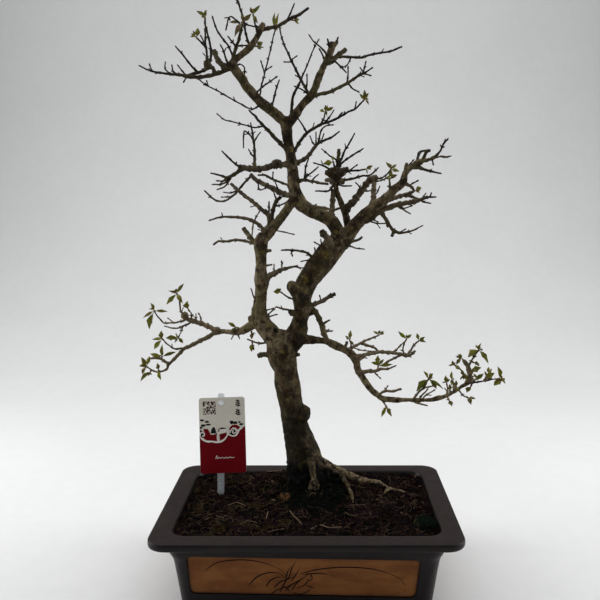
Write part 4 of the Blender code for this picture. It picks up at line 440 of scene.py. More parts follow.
RIGHT_LEADER_TWIGS = (
    (3, 5.0, 2.4, (333, 46), (335, 45), (337.5, 39.5)),
    (-4, 3.6, 2.2, (330.5, 50), (329, 45), (328, 41)),
    (-8, 2.6, 1.8, (327.5, 58), (325, 52), (322, 48.5)),
    (4, 2.4, 1.8, (325.5, 63), (323, 56), (320.5, 51)),
    (5, 2.0, 1.6, (325, 52), (318, 45), (314, 42), (310, 36.5)),
    (8, 6.2, 5.2, (328, 62), (334, 59), (341, 53), (346, 49)),
    (26, 3.2, 2.2, (327, 61), (340, 57), (350, 57), (361, 57.5), (370, 55), (380, 53), (390, 51.5),
     (400, 47.5)),
    (-5, 1.8, 1.5, (351, 57), (349, 62), (347, 65), (344, 67)),
    (-7, 2.6, 1.8, (327, 60), (334, 61), (340, 66), (345, 71)),
    (-3, 5.4, 5.0, (326, 62), (332.5, 62)),
    (-34, 4.4, 2.8, (312, 95), (320, 94), (330, 92), (338, 88), (347, 83.5), (355, 78), (362, 74), (365, 73)),
    (-3, 2.0, 1.6, (364, 73.5), (361, 69)),
    (3, 2.0, 1.6, (363, 73.5), (365.5, 63.5)),
    (-3, 2.0, 1.6, (364.5, 73), (370.5, 69)),
    (3, 2.0, 1.6, (364, 73.5), (369, 75)),
    (-5, 2.2, 1.6, (347, 83.5), (348, 75), (348, 69)),
    (4, 2.0, 1.6, (348, 83), (353, 89), (357, 91)),
    (26, 3.6, 1.6, (311, 97), (309, 94), (304, 85), (300, 78), (295, 68), (292, 62), (288, 53), (284, 44),
     (281, 35), (279.5, 26)),
    (-3, 1.7, 1.5, (292.3, 62), (286, 62)),
    (3, 1.7, 1.5, (291, 60), (295.5, 57)),
    (-6, 2.0, 1.4, (301, 80), (302, 77), (306, 68), (310, 58), (314, 48), (318, 41)),
    (-4, 2.0, 1.6, (309, 95), (304, 91), (299, 88), (296.5, 87)),
    (-3, 2.0, 1.6, (306, 89), (307, 83), (307, 77)),
)

# Roots that show: places of (across, down, back in mm, thickness in mm)
ROOTS = (
    ((312, 461, 44, 11), (318.6, 464.4, 40, 7), (323.8, 466.6, 40, 5.4), (332.4, 470.7, 42, 5.2),
     (339.9, 474.7, 42, 5.2), (345.6, 482.7, 33, 5.4), (349, 489, 21, 5.6), (351.9, 495.9, 7, 5.5),
     (353, 503, -10, 4)),
    ((313, 459, 54, 14), (323, 462, 58, 9.5), (332.5, 467, 60, 8.8), (341, 471.3, 61, 10),
     (349.5, 476.5, 60, 12), (359, 480.5, 54, 10.5), (368, 482, 55, 8), (376, 482.5, 57, 6.4),
     (383, 485, 49, 4.6), (390, 489, 37, 4.2), (398, 490.5, 36, 4), (410, 494, 25, 3.2)),
    ((309, 456, 40, 13), (312, 466, 30, 7.4), (313.5, 474, 26, 6.2), (314, 481, 20, 8), (313.8, 486, 15, 13),
     (313.5, 491, 9, 9.5)),
    ((390, 488.8, 37, 4.6), (386, 491.3, 30, 4), (382, 495.5, 18, 3)),
)

# Shoots: the strand group each grows on, its place there, then its leaves' tips with each leaf's width in mm
SHOOTS = {
    "low_left_01": ("low_left", (177.5, 295), (184, 283, 3.6), (166, 304, 5.0), (168, 291, 2.4),
                    (183, 304, 4.5)),
    "low_left_02": ("low_left", (189.5, 311), (187, 301, 8.0)),
    "low_left_03": ("low_left", (155, 312), (149.5, 329, 6.8), (142.5, 317.5, 3.2), (168, 311, 3.2),
                    (150, 302.5, 2.6)),
    "low_left_04": ("low_left", (179, 336), (183.5, 343, 3.6), (166, 338, 5.6)),
    "low_left_05": ("low_left", (163.5, 340), (161, 330.5, 4.5), (152, 340, 3.2), (154, 349, 4.6)),
    "low_left_06": ("low_left", (162, 359.5), (177, 352.5, 3.6), (162, 344, 3.6), (150, 353, 4.4)),
    "low_left_07": ("low_left", (148, 367.5), (141, 357, 4.4), (150, 356, 4.0), (139, 366.5, 4.6),
                    (142, 374, 4.0)),
    "low_left_08": ("low_left", (152, 370), (140, 381, 4.6)),
    "low_left_09": ("low_left", (160, 371.7), (161, 380, 4.0), (157, 363, 3.6)),
    "low_left_10": ("low_left", (240, 329), (228, 322.5, 3.6), (231, 332, 3.4)),
    "low_left_11": ("low_left", (249, 327), (252, 339.5, 3.6)),
    "low_left_12": ("left_stem", (253, 341.5), (251.2, 352.3, 4.4)),
    "low_right_01": ("low_right", (378, 335.5), (380, 330, 2.6), (373, 331, 2.6)),
    "low_right_02": ("low_right", (350, 341), (351, 330, 3.6), (354, 345.5, 2.6)),
    "low_right_03": ("low_right", (406, 340), (398, 331, 3.6), (412, 334.5, 3.0)),
    "low_right_04": ("low_right", (418, 341.5), (417, 333, 3.6), (425, 336.5, 3.2), (426, 342, 3.0)),
    "low_right_05": ("low_right", (378, 367), (378, 355, 5.2), (393, 364, 3.6), (371, 362, 3.0),
                     (384, 359, 3.0)),
    "low_right_06": ("low_right", (386, 406), (381, 417, 3.6), (392, 416.5, 3.6)),
    "low_right_07": ("low_right", (428, 380), (417, 392, 7.4), (423, 371, 2.8), (433, 373, 2.8),
                     (436, 389, 4.4), (443, 390, 3.0)),
    "low_right_08": ("low_right", (447, 385), (446, 375, 3.2)),
    "low_right_09": ("low_right", (450, 391), (450, 384.5, 2.8)),
    "low_right_10": ("low_right", (453, 382), (452, 371, 3.4)),
    "low_right_11": ("low_right", (456, 387), (456, 380, 2.8)),
    "low_right_12": ("low_right", (448.5, 399), (452, 406.5, 3.4)),
    "low_right_13": ("low_right", (466.5, 397), (471, 405, 4.2)),
    "low_right_14": ("low_right", (471, 383), (467, 393, 4.6)),
    "low_right_15": ("low_right", (456.5, 366.5), (461, 370, 3.4), (461, 357, 3.2), (451, 362, 2.8)),
    "low_right_16": ("low_right", (463.5, 360.5), (459, 354, 2.8)),
    "low_right_17": ("low_right", (462, 371.5), (467, 380, 3.6)),
    "low_right_18": ("low_right", (478, 351), (468, 357.5, 7.0), (489, 363, 5.0), (479, 345, 4.0)),
    "low_right_19": ("low_right", (472, 373), (481, 367.5, 7.2)),
    "low_right_20": ("low_right", (475.5, 379.5), (484, 373.5, 3.8)),
    "low_right_21": ("low_right", (484, 381), (495, 373, 5.8)),
    "low_right_22": ("low_right", (488, 374.5), (489, 366.5, 2.8)),
    "low_right_23": ("low_right", (498, 379), (498, 366, 4.2), (505, 382, 3.8), (500, 385, 2.8),
                     (494, 386, 4.6)),
    "low_right_24": ("low_right", (471, 362), (478, 364, 3.6)),
    "crown_01": ("upper_stem", (363, 101), (359.5, 93, 2.8), (364.5, 89.5, 3.2), (369, 92.5, 3.0)),
    "crown_02": ("upper_stem", (325, 113.5), (319.5, 110.5, 3.0), (327.5, 105, 3.0), (333.5, 107, 3.2)),
    "crown_03": ("back_stem", (333.5, 163), (323, 163.5, 6.4)),
    "crown_04": ("back_stem", (364, 169.5), (373, 165.5, 3.4)),
    "crown_05": ("right_upper", (390, 170.5), (386, 161.5, 3.0), (397, 164.5, 3.0), (400, 171, 3.6),
                 (393, 178, 4.2)),
    "crown_06": ("right_main", (389.5, 181), (397.5, 174.5, 3.8), (386, 177, 2.6)),
    "crown_07": ("right_main", (413.5, 191.5), (421.5, 187.5, 4.4)),
    "crown_08": ("right_stem", (282, 293), (273, 291.5, 4.4)),
    "crown_09": ("left_leader", (205, 19), (205.5, 9.5, 3.0), (196.5, 10.5, 3.4)),
    "crown_10": ("left_leader", (197.8, 39), (197.5, 27.5, 4.4)),
    "crown_11": ("left_head", (242, 24), (234.5, 38, 4.4), (252, 14, 4.2), (229, 22, 2.8)),
    "crown_12": ("left_head", (253.5, 16.5), (250.5, 7, 3.0), (261, 5.5, 3.2), (258, 24, 3.4)),
    "crown_13": ("left_head", (253, 43.5), (262, 41.5, 3.4), (261, 49.5, 3.0)),
    "crown_14": ("left_leader", (275, 31), (275, 12.5, 3.4), (279, 13, 3.2)),
    "crown_15": ("left_head", (291, 18.5), (299, 19.5, 3.4)),
}

# How much bronze a shoot has
BRONZE = {
    "crown_11": 0.85, "crown_12": 0.35, "low_left_03": 0.30, "low_left_07": 0.35, "low_left_08": 0.30,
    "low_right_23": 0.30, "low_left_01": 0.20, "crown_05": 0.15, "crown_14": 0.30, "low_right_07": 0.15,
}

# Strands at least this thick are bark, those whose tip is at least this thick are pruned, in metres
THICK = 0.0085
CUT_END = 0.0027

# Bark, in metres: its steps, then how far lumps, ridges, gnarls at the foot and the root's knob stand out
LIMB_STEP = 0.0025
BARK_VOXEL = 0.0011
LUMP_RELIEF = 0.00090
RIDGE_RELIEF = 0.00042
GNARL_RELIEF = 0.0011
KNOB_RELIEF = 0.0020
ROT_DEPTH = 0.0016
TRUNK_FOOT = (0.003, 0.045)

# Twigs, in metres but for the share of swelling: gaps between nodes, lengths of buds and of their spurs
TWIG_STEP = 0.0014
NODE_GAP = (0.0075, 0.0125)
NODE_SWELL = 0.34
BUD_LENGTH = (0.0017, 0.0029)
END_BUD_LENGTH = (0.0028, 0.0042)
SPUR_LENGTH = 0.0045
# No bud grows this near to a shoot
LEAFY_REACH = 0.003

# Leaves: widths in mm, other sizes in metres, and shares of fullness and of bronze at the tip
LOBED_WIDTH = 5.0
LEAF_FULLNESS = 1.26
TIP_BRONZE = 0.45
LEAF_THICKNESS = 0.00022
STALK_RADIUS = 0.00062
STALK_TAPER = 0.00004
SMALL_LEAF_LENGTH = (0.0040, 0.0080)
SMALL_LEAF_WIDTH = (1.3, 2.3)
BLADE_ROWS = 11
BLADE_COLUMNS = 7

# Soil and moss: how many of each are drawn, then sizes and places in metres
SOIL_GRID = (246, 160)
CRUMBS = 2600
HAIR_ROOTS = 2500
ROOT_HAIRS = 30
HAIR_STRIDE = 0.0018
HAIR_STEP = 0.0014
MOSS_TRIES = 12000
TRUNK_TUFTS = 2600
MOSS_MIDDLE = (0.005, 0.024)
MOSS_REACH = (0.044, 0.060)
MOSS_CLIMB = (0.016, 0.030)
MOSS_SHIFT = 0.0025

# Panels as the hand-made pot has them, in metres, against the solid's
PANEL_SHIFT = -0.0034
PANEL_TILT = math.radians(1.3)
PANEL_GROWTH = 0.0020
PANEL_ROUND = 0.0060
DRAWN_SIDES = (0, 2)
STROKE_WEIGHT = 1.5
# Slip in a panel, ring by ring: height in metres, how far inside the panel's edge, and share of the dark edge
SLIP_DEPTH = 0.0004
SLIP_RINGS = (
    (0.0002, 0.0002, 1.0), (-0.0002, 0.0002, 1.0), (-SLIP_DEPTH, 0.0006, 0.75), (-SLIP_DEPTH, 0.0030, 0.15),
    (-SLIP_DEPTH, 0.0070, 0.0),
)

# Studio, in metres
FLOOR_FRONT = -1.6
FLOOR_HALF_WIDTH = 4.5
BACKDROP_START = 0.75
BACKDROP_BEND = 1.15
BACKDROP_TOP = 3.6

# Lichen on the bark: places in the front view, and how far each spreads
LICHENS = (
    (268.5, 325, 4.5), (305, 280, 4.5), (325, 254, 5.5), (302, 277, 2.5), (268, 325, 3.0), (283, 352, 2.5),
    (300, 205, 2.5), (292, 150, 2.5), (336, 232, 3.0), (352, 228, 2.5), (262, 252, 2.5), (288, 400, 2.2),
)

# Paler bark, partly the bark's own paler patches and partly painted highlight where the limbs are lit: places
# in the front view, how far each spreads, and its share
PALE_AND_LIT_BARK = (
    (262, 305, 34, 1.0), (256, 262, 30, 0.9), (262, 236, 24, 0.6), (314, 213, 26, 0.9), (338, 234, 18, 0.9),
    (240, 330, 30, 1.0), (205, 325, 44, 1.0), (168, 350, 44, 1.0), (276, 335, 20, 0.9), (291, 186, 12, 0.8),
    (392, 190, 40, 0.7), (350, 345, 34, 0.9), (375, 385, 30, 1.0), (402, 398, 30, 1.0), (440, 398, 28, 0.9),
    (470, 382, 24, 0.7), (390, 350, 30, 0.7), (292, 286, 8, 0.8), (308, 311, 7, 1.0), (330, 330, 12, 0.7),
    (330, 75, 34, 0.35), (255, 80, 34, 0.30), (287, 170, 12, 0.7), (310, 440, 9, 0.5), (318, 455, 9, 0.5),
    (320, 300, 14, 0.6), (290, 222, 22, 0.5), (236, 212, 24, 0.5), (224, 190, 20, 0.5),
)

# Painted shade on the bark, where the stems lie in shade, given in the same way
PAINTED_SHADE_BARK = (
    (342, 268, 13, 1.0), (331, 282, 12, 1.0), (319, 294, 11, 1.0), (303, 297, 7, 1.0), (305, 324, 8, 1.0),
    (299, 340, 10, 1.0), (314, 262, 6, 0.8), (298, 352, 9, 0.7), (354, 248, 9, 1.0), (268, 262, 5, 0.8),
    (264, 250, 7, 0.8), (277, 238, 8, 0.8), (300, 372, 10, 0.5), (297, 176, 8, 0.9), (293, 156, 8, 0.7),
    (300, 190, 6, 0.8), (336, 222, 7, 0.9), (349, 232, 6, 0.8), (283, 236, 6, 0.8), (266, 296, 5, 0.7),
    (288, 138, 12, 0.9),
)

# Pale fine roots in the soil: thickness in mm, then places in the front view
PALE_ROOTS = (
    (1.3, ((290, 511), (293, 515), (296, 519), (302, 525))),
    (1.3, ((311, 529), (320, 525), (330, 528.5), (342, 527))),
    (1.1, ((268, 512), (267, 516), (266, 519))),
    (1.0, ((267, 533), (275, 531), (285, 530))),
    (1.1, ((250, 468), (260, 470), (270, 472), (282, 471))),
    (1.0, ((228, 505), (236, 503), (245, 505))),
    (0.9, ((205, 520), (215, 517), (224, 519))),
    (0.9, ((345, 512), (352, 516), (362, 515))),
    (1.0, ((372, 500), (380, 503), (392, 501))),
    (0.9, ((240, 525), (248, 521), (258, 523))),
)

# Grass drawn on the front and back panels: thickness in mm, then places in the front view
ORCHID_STROKES = (
    (0.9, ((206, 570), (215, 563.5), (235, 560), (255, 561), (270, 565), (282, 571), (287, 577))),
    (1.0, ((249, 585), (257, 577), (267, 573), (278, 573), (285, 577))),
    (1.0, ((266, 587), (270, 581), (280, 577), (286, 578))),
    (1.0, ((300, 574), (315, 570), (330, 568), (345, 567.3), (360, 567.7), (375, 569.5), (390, 574),
           (400, 579), (405, 585))),
    (0.8, ((303, 575), (313, 573.5), (325, 574), (335, 576.5))),
    (0.9, ((289, 578), (292, 568), (296, 561))),
    (0.9, ((286, 579), (288, 571), (291, 566))),
    (0.9, ((291, 581), (297, 573), (300, 567))),
    (1.0, ((280, 592), (284, 584), (289, 577), (295, 573))),
    (1.0, ((274, 588), (280, 582), (288, 579), (296, 576))),
    (1.0, ((285, 591), (290, 586), (298, 581), (305, 577))),
    (0.9, ((292, 590), (296, 584), (302, 579), (309, 574))),
    (0.9, ((270, 595), (277, 590), (286, 587), (294, 583))),
    (0.8, ((297, 588), (303, 586), (308, 581), (311, 576))),
    (0.8, ((306, 585), (311, 587), (315, 588.5))),
    (0.8, ((306, 573), (311, 575), (312, 579), (308, 581), (306, 578))),
    (0.8, ((293, 593), (301, 594), (308, 591), (312, 586))),
    (0.7, ((283, 586), (287, 588), (290, 593))),
)

# Swellings of the bark: the strand, the place in the front view, then radius and reach to the front in mm
BURLS = (
    ("trunk", 302.3, 411.5, 9.3, 2), ("trunk", 301.8, 416.5, 9.2, 2), ("right_stem", 292.0, 286.5, 6.8, 2),
    ("right_stem", 307.0, 311.5, 4.6, 8),
)

# Roots: how pale each is, how its places swell or thin out from its tip, and one's knob: place and reach
ROOT_PALENESS = (0.25, 0.80, 0.45, 0.7)
ROOT_TIPS = ((0.45, 0.80, 0.98, 1.22, 1.28, 1.10), (0.55,), (0.95,), (0.55,))
ROOT_KNOB = (313.5, 487.5, 9.5)

# Cut ends that have rotted dark: places in the front view, and their share
HOLLOWS = ((275.5, 330, 1.0), (310, 412, 0.6))

# Tan chip of bark on the soil, in the front view, and how far it spreads, in metres
TAN_CHIP = (285, 496)
TAN_REACH = (0.0080, 0.0110)

# Print on the card, in mm from its middle: a red ground under a pale edge line, red hills, and dark pines
CARD_WAVE = (
    (-27.6, 0.6), (-26.4, -1.6), (-23.9, -4.8), (-19.8, -7.0), (-15.7, -7.6), (-13.2, -7.2), (-10.2, -8.1),
    (-6.0, -8.5), (-1.9, -7.9), (2.3, -5.2), (5.1, -1.4), (6.8, 0.9), (9.3, -0.3), (12.7, -1.4), (16.2, -0.6),
    (18.3, 2.1), (20.5, 6.0), (23.9, 8.3), (27.6, 10.0),
)
CARD_LINES = (
    (1.4, ((-26.9, -0.7), (-26.3, 2.8), (-23.7, 4.0), (-21.8, 2.4), (-22.4, -0.3), (-24.3, -0.1))),
    (1.4, ((-5.5, -7.9), (-6.1, -4.1), (-5.9, 0.0), (-4.1, 2.6), (-0.3, 3.4), (3.9, 4.4))),
    (1.8, ((-3.6, 6.0), (0.0, 6.4), (4.3, 6.1))),
    (1.2, ((9.0, 2.4), (10.0, 5.5), (12.5, 7.3), (15.7, 6.6), (16.6, 3.8), (14.5, 1.9), (12.3, 2.6),
           (12.0, 4.5), (13.7, 5.0))),
    (0.6, ((-9.0, -28.2), (-7.4, -24.4), (-6.6, -28.0), (-4.6, -26.2), (-3.0, -27.6), (-1.0, -26.4),
           (1.2, -27.6), (3.4, -26.4), (5.6, -27.6), (8.0, -26.3), (10.6, -27.3), (13.6, -26.6))),
)
CARD_RED_HILLS = (
    ((-22.9, 8.3), (-17.4, 7.9), (-15.4, 4.1), (-14.1, 1.0), (-10.0, 1.0), (-6.5, 2.8), (-6.5, -7.0),
     (-13.0, -6.1), (-20.1, -5.5), (-23.5, -2.1), (-21.0, 1.4), (-22.0, 4.8)),
    ((-3.8, 1.0), (1.1, 2.4), (5.2, 3.1), (4.8, -0.7), (1.3, -4.5), (-3.2, -6.6)),
    ((7.5, 6.2), (9.5, 9.7), (12.3, 11.9), (17.1, 12.1), (21.5, 9.3), (19.9, 6.9), (17.4, 6.4), (16.3, 8.4),
     (12.6, 9.0), (9.4, 5.9)),
)
CARD_DARK_HILLS = (
    ((8.6, 0.6), (8.2, 3.4), (9.4, 6.6), (12.4, 8.2), (15.8, 7.4), (17.6, 4.2), (16.0, 0.6), (12.6, -0.6)),
    ((-27.0, 1.0), (-25.6, 5.2), (-22.6, 5.0), (-21.0, 2.4), (-22.0, -1.6), (-24.8, -2.6)),
    ((-14.2, 2.4), (-13.5, 6.6), (-12.0, 9.2), (-10.5, 10.2), (-9.2, 9.4), (-8.2, 6.9), (-7.3, 2.4)),
    ((-5.8, 4.0), (-4.3, 7.7), (-1.8, 9.0), (0.5, 9.3), (5.3, 7.9), (2.5, 7.3), (-2.0, 6.9), (-4.2, 4.7)),
)
# Pine clumps on the card: middle, then half width and half height, in mm
CARD_PINES = (
    (-24.1, 18.4, 2.7, 1.3), (-18.4, 16.5, 2.9, 1.3), (-17.0, 13.1, 3.4, 1.1), (-22.9, 12.3, 3.0, 1.5),
    (-25.7, 9.7, 1.9, 1.4), (-26.0, 4.9, 1.3, 2.0), (11.2, 15.0, 2.3, 2.0), (15.5, 14.3, 2.9, 1.7),
    (20.6, 15.0, 1.7, 1.2), (22.8, 12.4, 2.4, 1.3),
)
# Leaf sprigs on the card: foot of the stem and its height, in mm
CARD_SPRIGS = ((19.3, 33.4, 8.6), (19.1, 22.9, 7.8))
# Mosaic square on the card: its middle, the pitch of its tiles in mm, and tiles to a side
CARD_MOSAIC = (-15.0, 33.0, 1.20, 13)
MOSAIC_FILL = 0.56
# Colours of the print: name, then the two that it varies between
CARD_INKS = (
    ("red", (0.145, 0.0030, 0.007), (0.185, 0.005, 0.009)),
    ("white", (0.88, 0.78, 0.75), (0.95, 0.87, 0.84)),
    ("dark", (0.010, 0.012, 0.012), (0.018, 0.020, 0.019)),
    ("brown", (0.085, 0.048, 0.040), (0.120, 0.070, 0.058)),
)


def sight(across, down, back):
    """The point seen at (across, down) in the front view and lying back mm behind the pot's middle."""
    slope = (down - VIEW_CENTRE[1]) / VIEW_FOCAL
    level = EYE_DISTANCE + back * MM
    drop = level * (slope * math.cos(EYE_DIP) + math.sin(EYE_DIP))
    drop /= math.cos(EYE_DIP) - slope * math.sin(EYE_DIP)
    ahead = level * math.cos(EYE_DIP) + drop * math.sin(EYE_DIP)
    x = EYE_ACROSS + (across - VIEW_CENTRE[0]) / VIEW_FOCAL * ahead
    return Vector((x, level - EYE_DISTANCE, POT_HEIGHT + EYE_OVER_RIM - drop))


def seen(point):
    """The place in the front view where a point is seen."""
    level = point[1] + EYE_DISTANCE
    drop = POT_HEIGHT + EYE_OVER_RIM - point[2]
    ahead = level * math.cos(EYE_DIP) + drop * math.sin(EYE_DIP)
    below = drop * math.cos(EYE_DIP) - level * math.sin(EYE_DIP)
    return (VIEW_CENTRE[0] + (point[0] - EYE_ACROSS) / ahead * VIEW_FOCAL,
            VIEW_CENTRE[1] + below / ahead * VIEW_FOCAL)


def soil_height(x, y):
    """The height of the soil's solid at a place."""
    away = ((x - SOIL_MOUND_PLACE[0]) ** 2 + (y - SOIL_MOUND_PLACE[1]) ** 2) / SOIL_MOUND_REACH**2
    relief = math.sin(x * 230 + 1.3) * math.sin(y * 260 + 0.4) + 0.6 * math.sin(x * 470 - y * 390)
    return POT_HEIGHT - SOIL_EDGE_DROP + SOIL_MOUND * math.exp(-away) + SOIL_RELIEF * relief


def sight_on_soil(across, down):
    """The point of the soil seen at (across, down) in the front view."""
    near, far = -0.11, 0.11
    for _ in range(24):
        middle = (near + far) / 2
        point = sight(across, down, middle / MM)
        if point.z > soil_height(point.x, point.y):
            near = middle
        else:
            far = middle
    return point


def smooth_step(value, low, high):
    """Goes smoothly from 0 to 1 as the value goes from low to high."""
    share = np.clip((value - low) / (high - low), 0.0, 1.0)
    return share * share * (3 - 2 * share)


def spread(spots, views):
    """The share that these spots have at places in the front view."""
    share = np.zeros(len(views))
    for across, down, reach, most in spots:
        away = np.hypot(views[:, 0] - across, views[:, 1] - down)
        share = np.maximum(share, most * smooth_step(away, reach, reach * 0.5))
    return share


# Pieces

def turn_out(mesh):
    """Makes all faces look outwards."""
    shell = bmesh.new()
    shell.from_mesh(mesh)
    bmesh.ops.recalc_face_normals(shell, faces=shell.faces)
    shell.to_mesh(mesh)
    shell.free()


def mesh_object(name, points, faces):
    """An object in the scene with these points and faces."""
    mesh = bpy.data.meshes.new(name)
    mesh.from_pydata([tuple(p) for p in points], [], [list(f) for f in faces])
    turn_out(mesh)
    obj = bpy.data.objects.new(name, mesh)
    bpy.context.scene.collection.objects.link(obj)
    return obj


def set_looks(mesh, looks):
    """Stores four shares for each point, which the material reads."""
    paint = mesh.attributes.new("look", "FLOAT_COLOR", "POINT")
    paint.data.foreach_set("color", np.asarray(looks, dtype=np.float32).ravel())


def settle(obj, material, slot, *nodes, angle=None):
    """Gives the piece its material and smooth shading, and says what it rides on and stands for."""
    obj.data.materials.clear()
    obj.data.materials.append(material)
    obj.data.shade_smooth()
    if angle is not None:
        obj.data.set_sharp_from_angle(angle=math.radians(angle))
    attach(obj, BODY)
    if nodes:
        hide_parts(*nodes)


class Shell:
    """Points, faces and looks of a piece in the making."""

    def __init__(self):
        self.points, self.faces, self.looks = [], [], []

    def add(self, points, faces, look=(0.0, 0.0, 0.0, 1.0)):
        start = len(self.points)
        self.points.extend(tuple(p) for p in points)
        self.faces.extend([i + start for i in face] for face in faces)
        self.looks.extend(look if isinstance(look, list) else [look] * (len(self.points) - start))

    def make(self, name, material, slot, *nodes, angle=None):
        obj = mesh_object(name, self.points, self.faces)
        set_looks(obj.data, self.looks)
        settle(obj, material, slot, *nodes, angle=angle)


def loft(rings):
    """Points and faces of a closed body through rings of equal length, capped at both ends."""
    count = len(rings[0])
    points = [p for ring in rings for p in ring]
    faces = [list(range(count)), list(range(len(points) - count, len(points)))]
    for level in range(len(rings) - 1):
        a, b = level * count, (level + 1) * count
        faces.extend([a + i, a + (i + 1) % count, b + (i + 1) % count, b + i] for i in range(count))
    return points, faces


def frames(points):
    """An across and an up direction at each point, turned as little as possible along the way."""
    last = len(points) - 1
    axes = [(points[min(i + 1, last)] - points[max(i - 1, 0)]).normalized() for i in range(last + 1)]
    across = axes[0].orthogonal().normalized()
    found = []
    for axis in axes:
        across = (across - axis * across.dot(axis)).normalized()
        found.append((across, axis.cross(across)))
    return found


def circle(count):
    """Even turns round a circle."""
    return [2 * math.pi * i / count for i in range(count)]


def tube(points, radii, sides):
    """Points and faces of a round body along a route."""
    points = [Vector(p) for p in points]
    rings = []
    for point, radius, (across, up) in zip(points, radii, frames(points)):
        rings.append([point + (across * math.cos(t) + up * math.sin(t)) * float(radius)
                      for t in circle(sides)])
    return loft(rings)


def lump(subdivisions):
    """Points and faces of a ball of triangles."""
    ball = bmesh.new()
    bmesh.ops.create_icosphere(ball, subdivisions=subdivisions, radius=1.0)
    points = np.array([v.co for v in ball.verts])
    faces = [[v.index for v in f.verts] for f in ball.faces]
    ball.free()
    return points, faces


def resampled(points, radii, step):
    """Points, radii and lengths on a smooth curve through those given, about a step apart."""
    rows = np.array([(*p, r) for p, r in zip(points, radii)])
    lengths = np.concatenate([[0.0], np.cumsum(np.linalg.norm(np.diff(rows[:, :3], axis=0), axis=1))])
    slopes = np.gradient(rows, lengths, axis=0)
    at = np.linspace(0, lengths[-1], max(2, math.ceil(lengths[-1] / step)) + 1)
    k = np.clip(np.searchsorted(lengths, at, side="right") - 1, 0, len(lengths) - 2)
    gap = (lengths[k + 1] - lengths[k])[:, None]
    t = (at - lengths[k])[:, None] / gap
    found = (2 * t**3 - 3 * t**2 + 1) * rows[k] + (t**3 - 2 * t**2 + t) * gap * slopes[k]
    found += (3 * t**2 - 2 * t**3) * rows[k + 1] + (t**3 - t**2) * gap * slopes[k + 1]
    return found[:, :3], np.maximum(found[:, 3], min(radii) * 0.8), at


def rounded_ring(half_x, half_y, corner, z, steps):
    """Points round a level rectangle with round corners."""
    ring = []
    for quarter, (sx, sy) in enumerate(((1, 1), (-1, 1), (-1, -1), (1, -1))):
        for step in range(steps + 1):
            turn = math.pi / 2 * (quarter + step / steps)
            ring.append(Vector((sx * (half_x - corner) + corner * math.cos(turn),
                                sy * (half_y - corner) + corner * math.sin(turn), z)))
    return ring


def add_modifiers(obj, modifiers):
    """Adds modifiers, given as kind and settings."""
    for kind, settings in modifiers:
        modifier = obj.modifiers.new(kind, kind)
        for key, value in settings.items():
            setattr(modifier, key, value)


def apply_modifiers(obj, *modifiers):
    """Adds modifiers and keeps their result as the object's own mesh."""
    add_modifiers(obj, modifiers)
    graph = bpy.context.evaluated_depsgraph_get()
    mesh = bpy.data.meshes.new_from_object(obj.evaluated_get(graph))
    obj.modifiers.clear()
    obj.data = mesh


def carved(obj, *others):
    """The object, cut by or joined with other bodies, each given with its operation and then removed."""
    apply_modifiers(obj, *(("BOOLEAN", {"operation": operation, "object": other, "solver": "EXACT"})
                           for operation, other in others))
    for _, other in others:
        bpy.data.objects.remove(other)
    return obj


# Materials

class Paint:
    """A material in the making, built up in layers of colour. Scales are in parts to the metre."""

    def __init__(self, name, **constants):
        self.material = bpy.data.materials.new(name)
        self.material.use_nodes = True
        self.tree = self.material.node_tree
        self.shader = self.tree.nodes["Principled BSDF"]
        for socket, value in constants.items():
            self.shader.inputs[socket.replace("_", " ")].default_value = value
        self.place = self.node("ShaderNodeTexCoord").outputs["Object"]
        look = self.node("ShaderNodeAttribute", attribute_name="look").outputs
        channels = self.node("ShaderNodeSeparateColor", {"Color": look["Color"]}).outputs
        self.red, self.green, self.blue = channels
        self.alpha = look["Alpha"]

    def node(self, kind, sockets=None, **settings):
        node = self.tree.nodes.new(kind)
        for key, value in settings.items():
            setattr(node, key, value)
        for socket, value in (sockets or {}).items():
            self.put(node.inputs[socket], value)
        return node

    def put(self, socket, value):
        if isinstance(value, bpy.types.NodeSocket):
            self.tree.links.new(value, socket)
        else:
            socket.default_value = (*value, 1.0) if socket.type == "RGBA" and len(value) == 3 else value

    def noise(self, scale, detail, rough, stretch=(1, 1, 1), twist=0.0):
        place = self.node("ShaderNodeMapping", {"Vector": self.place, "Scale": stretch}).outputs[0]
        sockets = {"Vector": place, "Scale": scale, "Detail": detail, "Roughness": rough, "Distortion": twist}
        return self.node("ShaderNodeTexNoise", sockets).outputs[0]

    def cells(self, scale, feature="F1"):
        sockets = {"Vector": self.place, "Scale": scale, "Randomness": 1.0}
        return self.node("ShaderNodeTexVoronoi", sockets, feature=feature).outputs["Distance"]

    def between(self, value, low, high, first, last):
        """Goes smoothly from first to last as the value goes from low to high."""
        sockets = {"Value": value, "From Min": low, "From Max": high, "To Min": first, "To Max": last}
        return self.node("ShaderNodeMapRange", sockets, interpolation_type="SMOOTHSTEP").outputs[0]

    def fade(self, value, low, high, most=1.0):
        """A share that goes smoothly from none to its most as the value goes from low to high."""
        return self.between(value, low, high, 0.0, most)

    def start(self, share, first, second):
        """The lowest layer, which varies between two colours by a share."""
        node = self.node("ShaderNodeMix", data_type="RGBA")
        for index, value in ((0, share), (6, first), (7, second)):
            self.put(node.inputs[index], value)
        self.colour = node.outputs[2]

    def layer(self, share, colour):
        """Lays a colour over the layers so far, by its share."""
        self.start(share, self.colour, colour)

    def maths(self, operation, first, second):
        node = self.node("ShaderNodeMath", operation=operation)
        for index, value in enumerate((first, second)):
            self.put(node.inputs[index], value)
        return node.outputs[0]

    def times(self, first, second):
        return self.maths("MULTIPLY", first, second)

    def bump(self, height, distance, under=None):
        sockets = {"Height": height, "Distance": distance, "Strength": 1.0}
        if under is not None:
            sockets["Normal"] = under
        return self.node("ShaderNodeBump", sockets).outputs[0]

    def done(self, roughness, normal):
        for socket, value in (("Base Color", self.colour), ("Roughness", roughness), ("Normal", normal)):
            self.put(self.shader.inputs[socket], value)
        return self.material


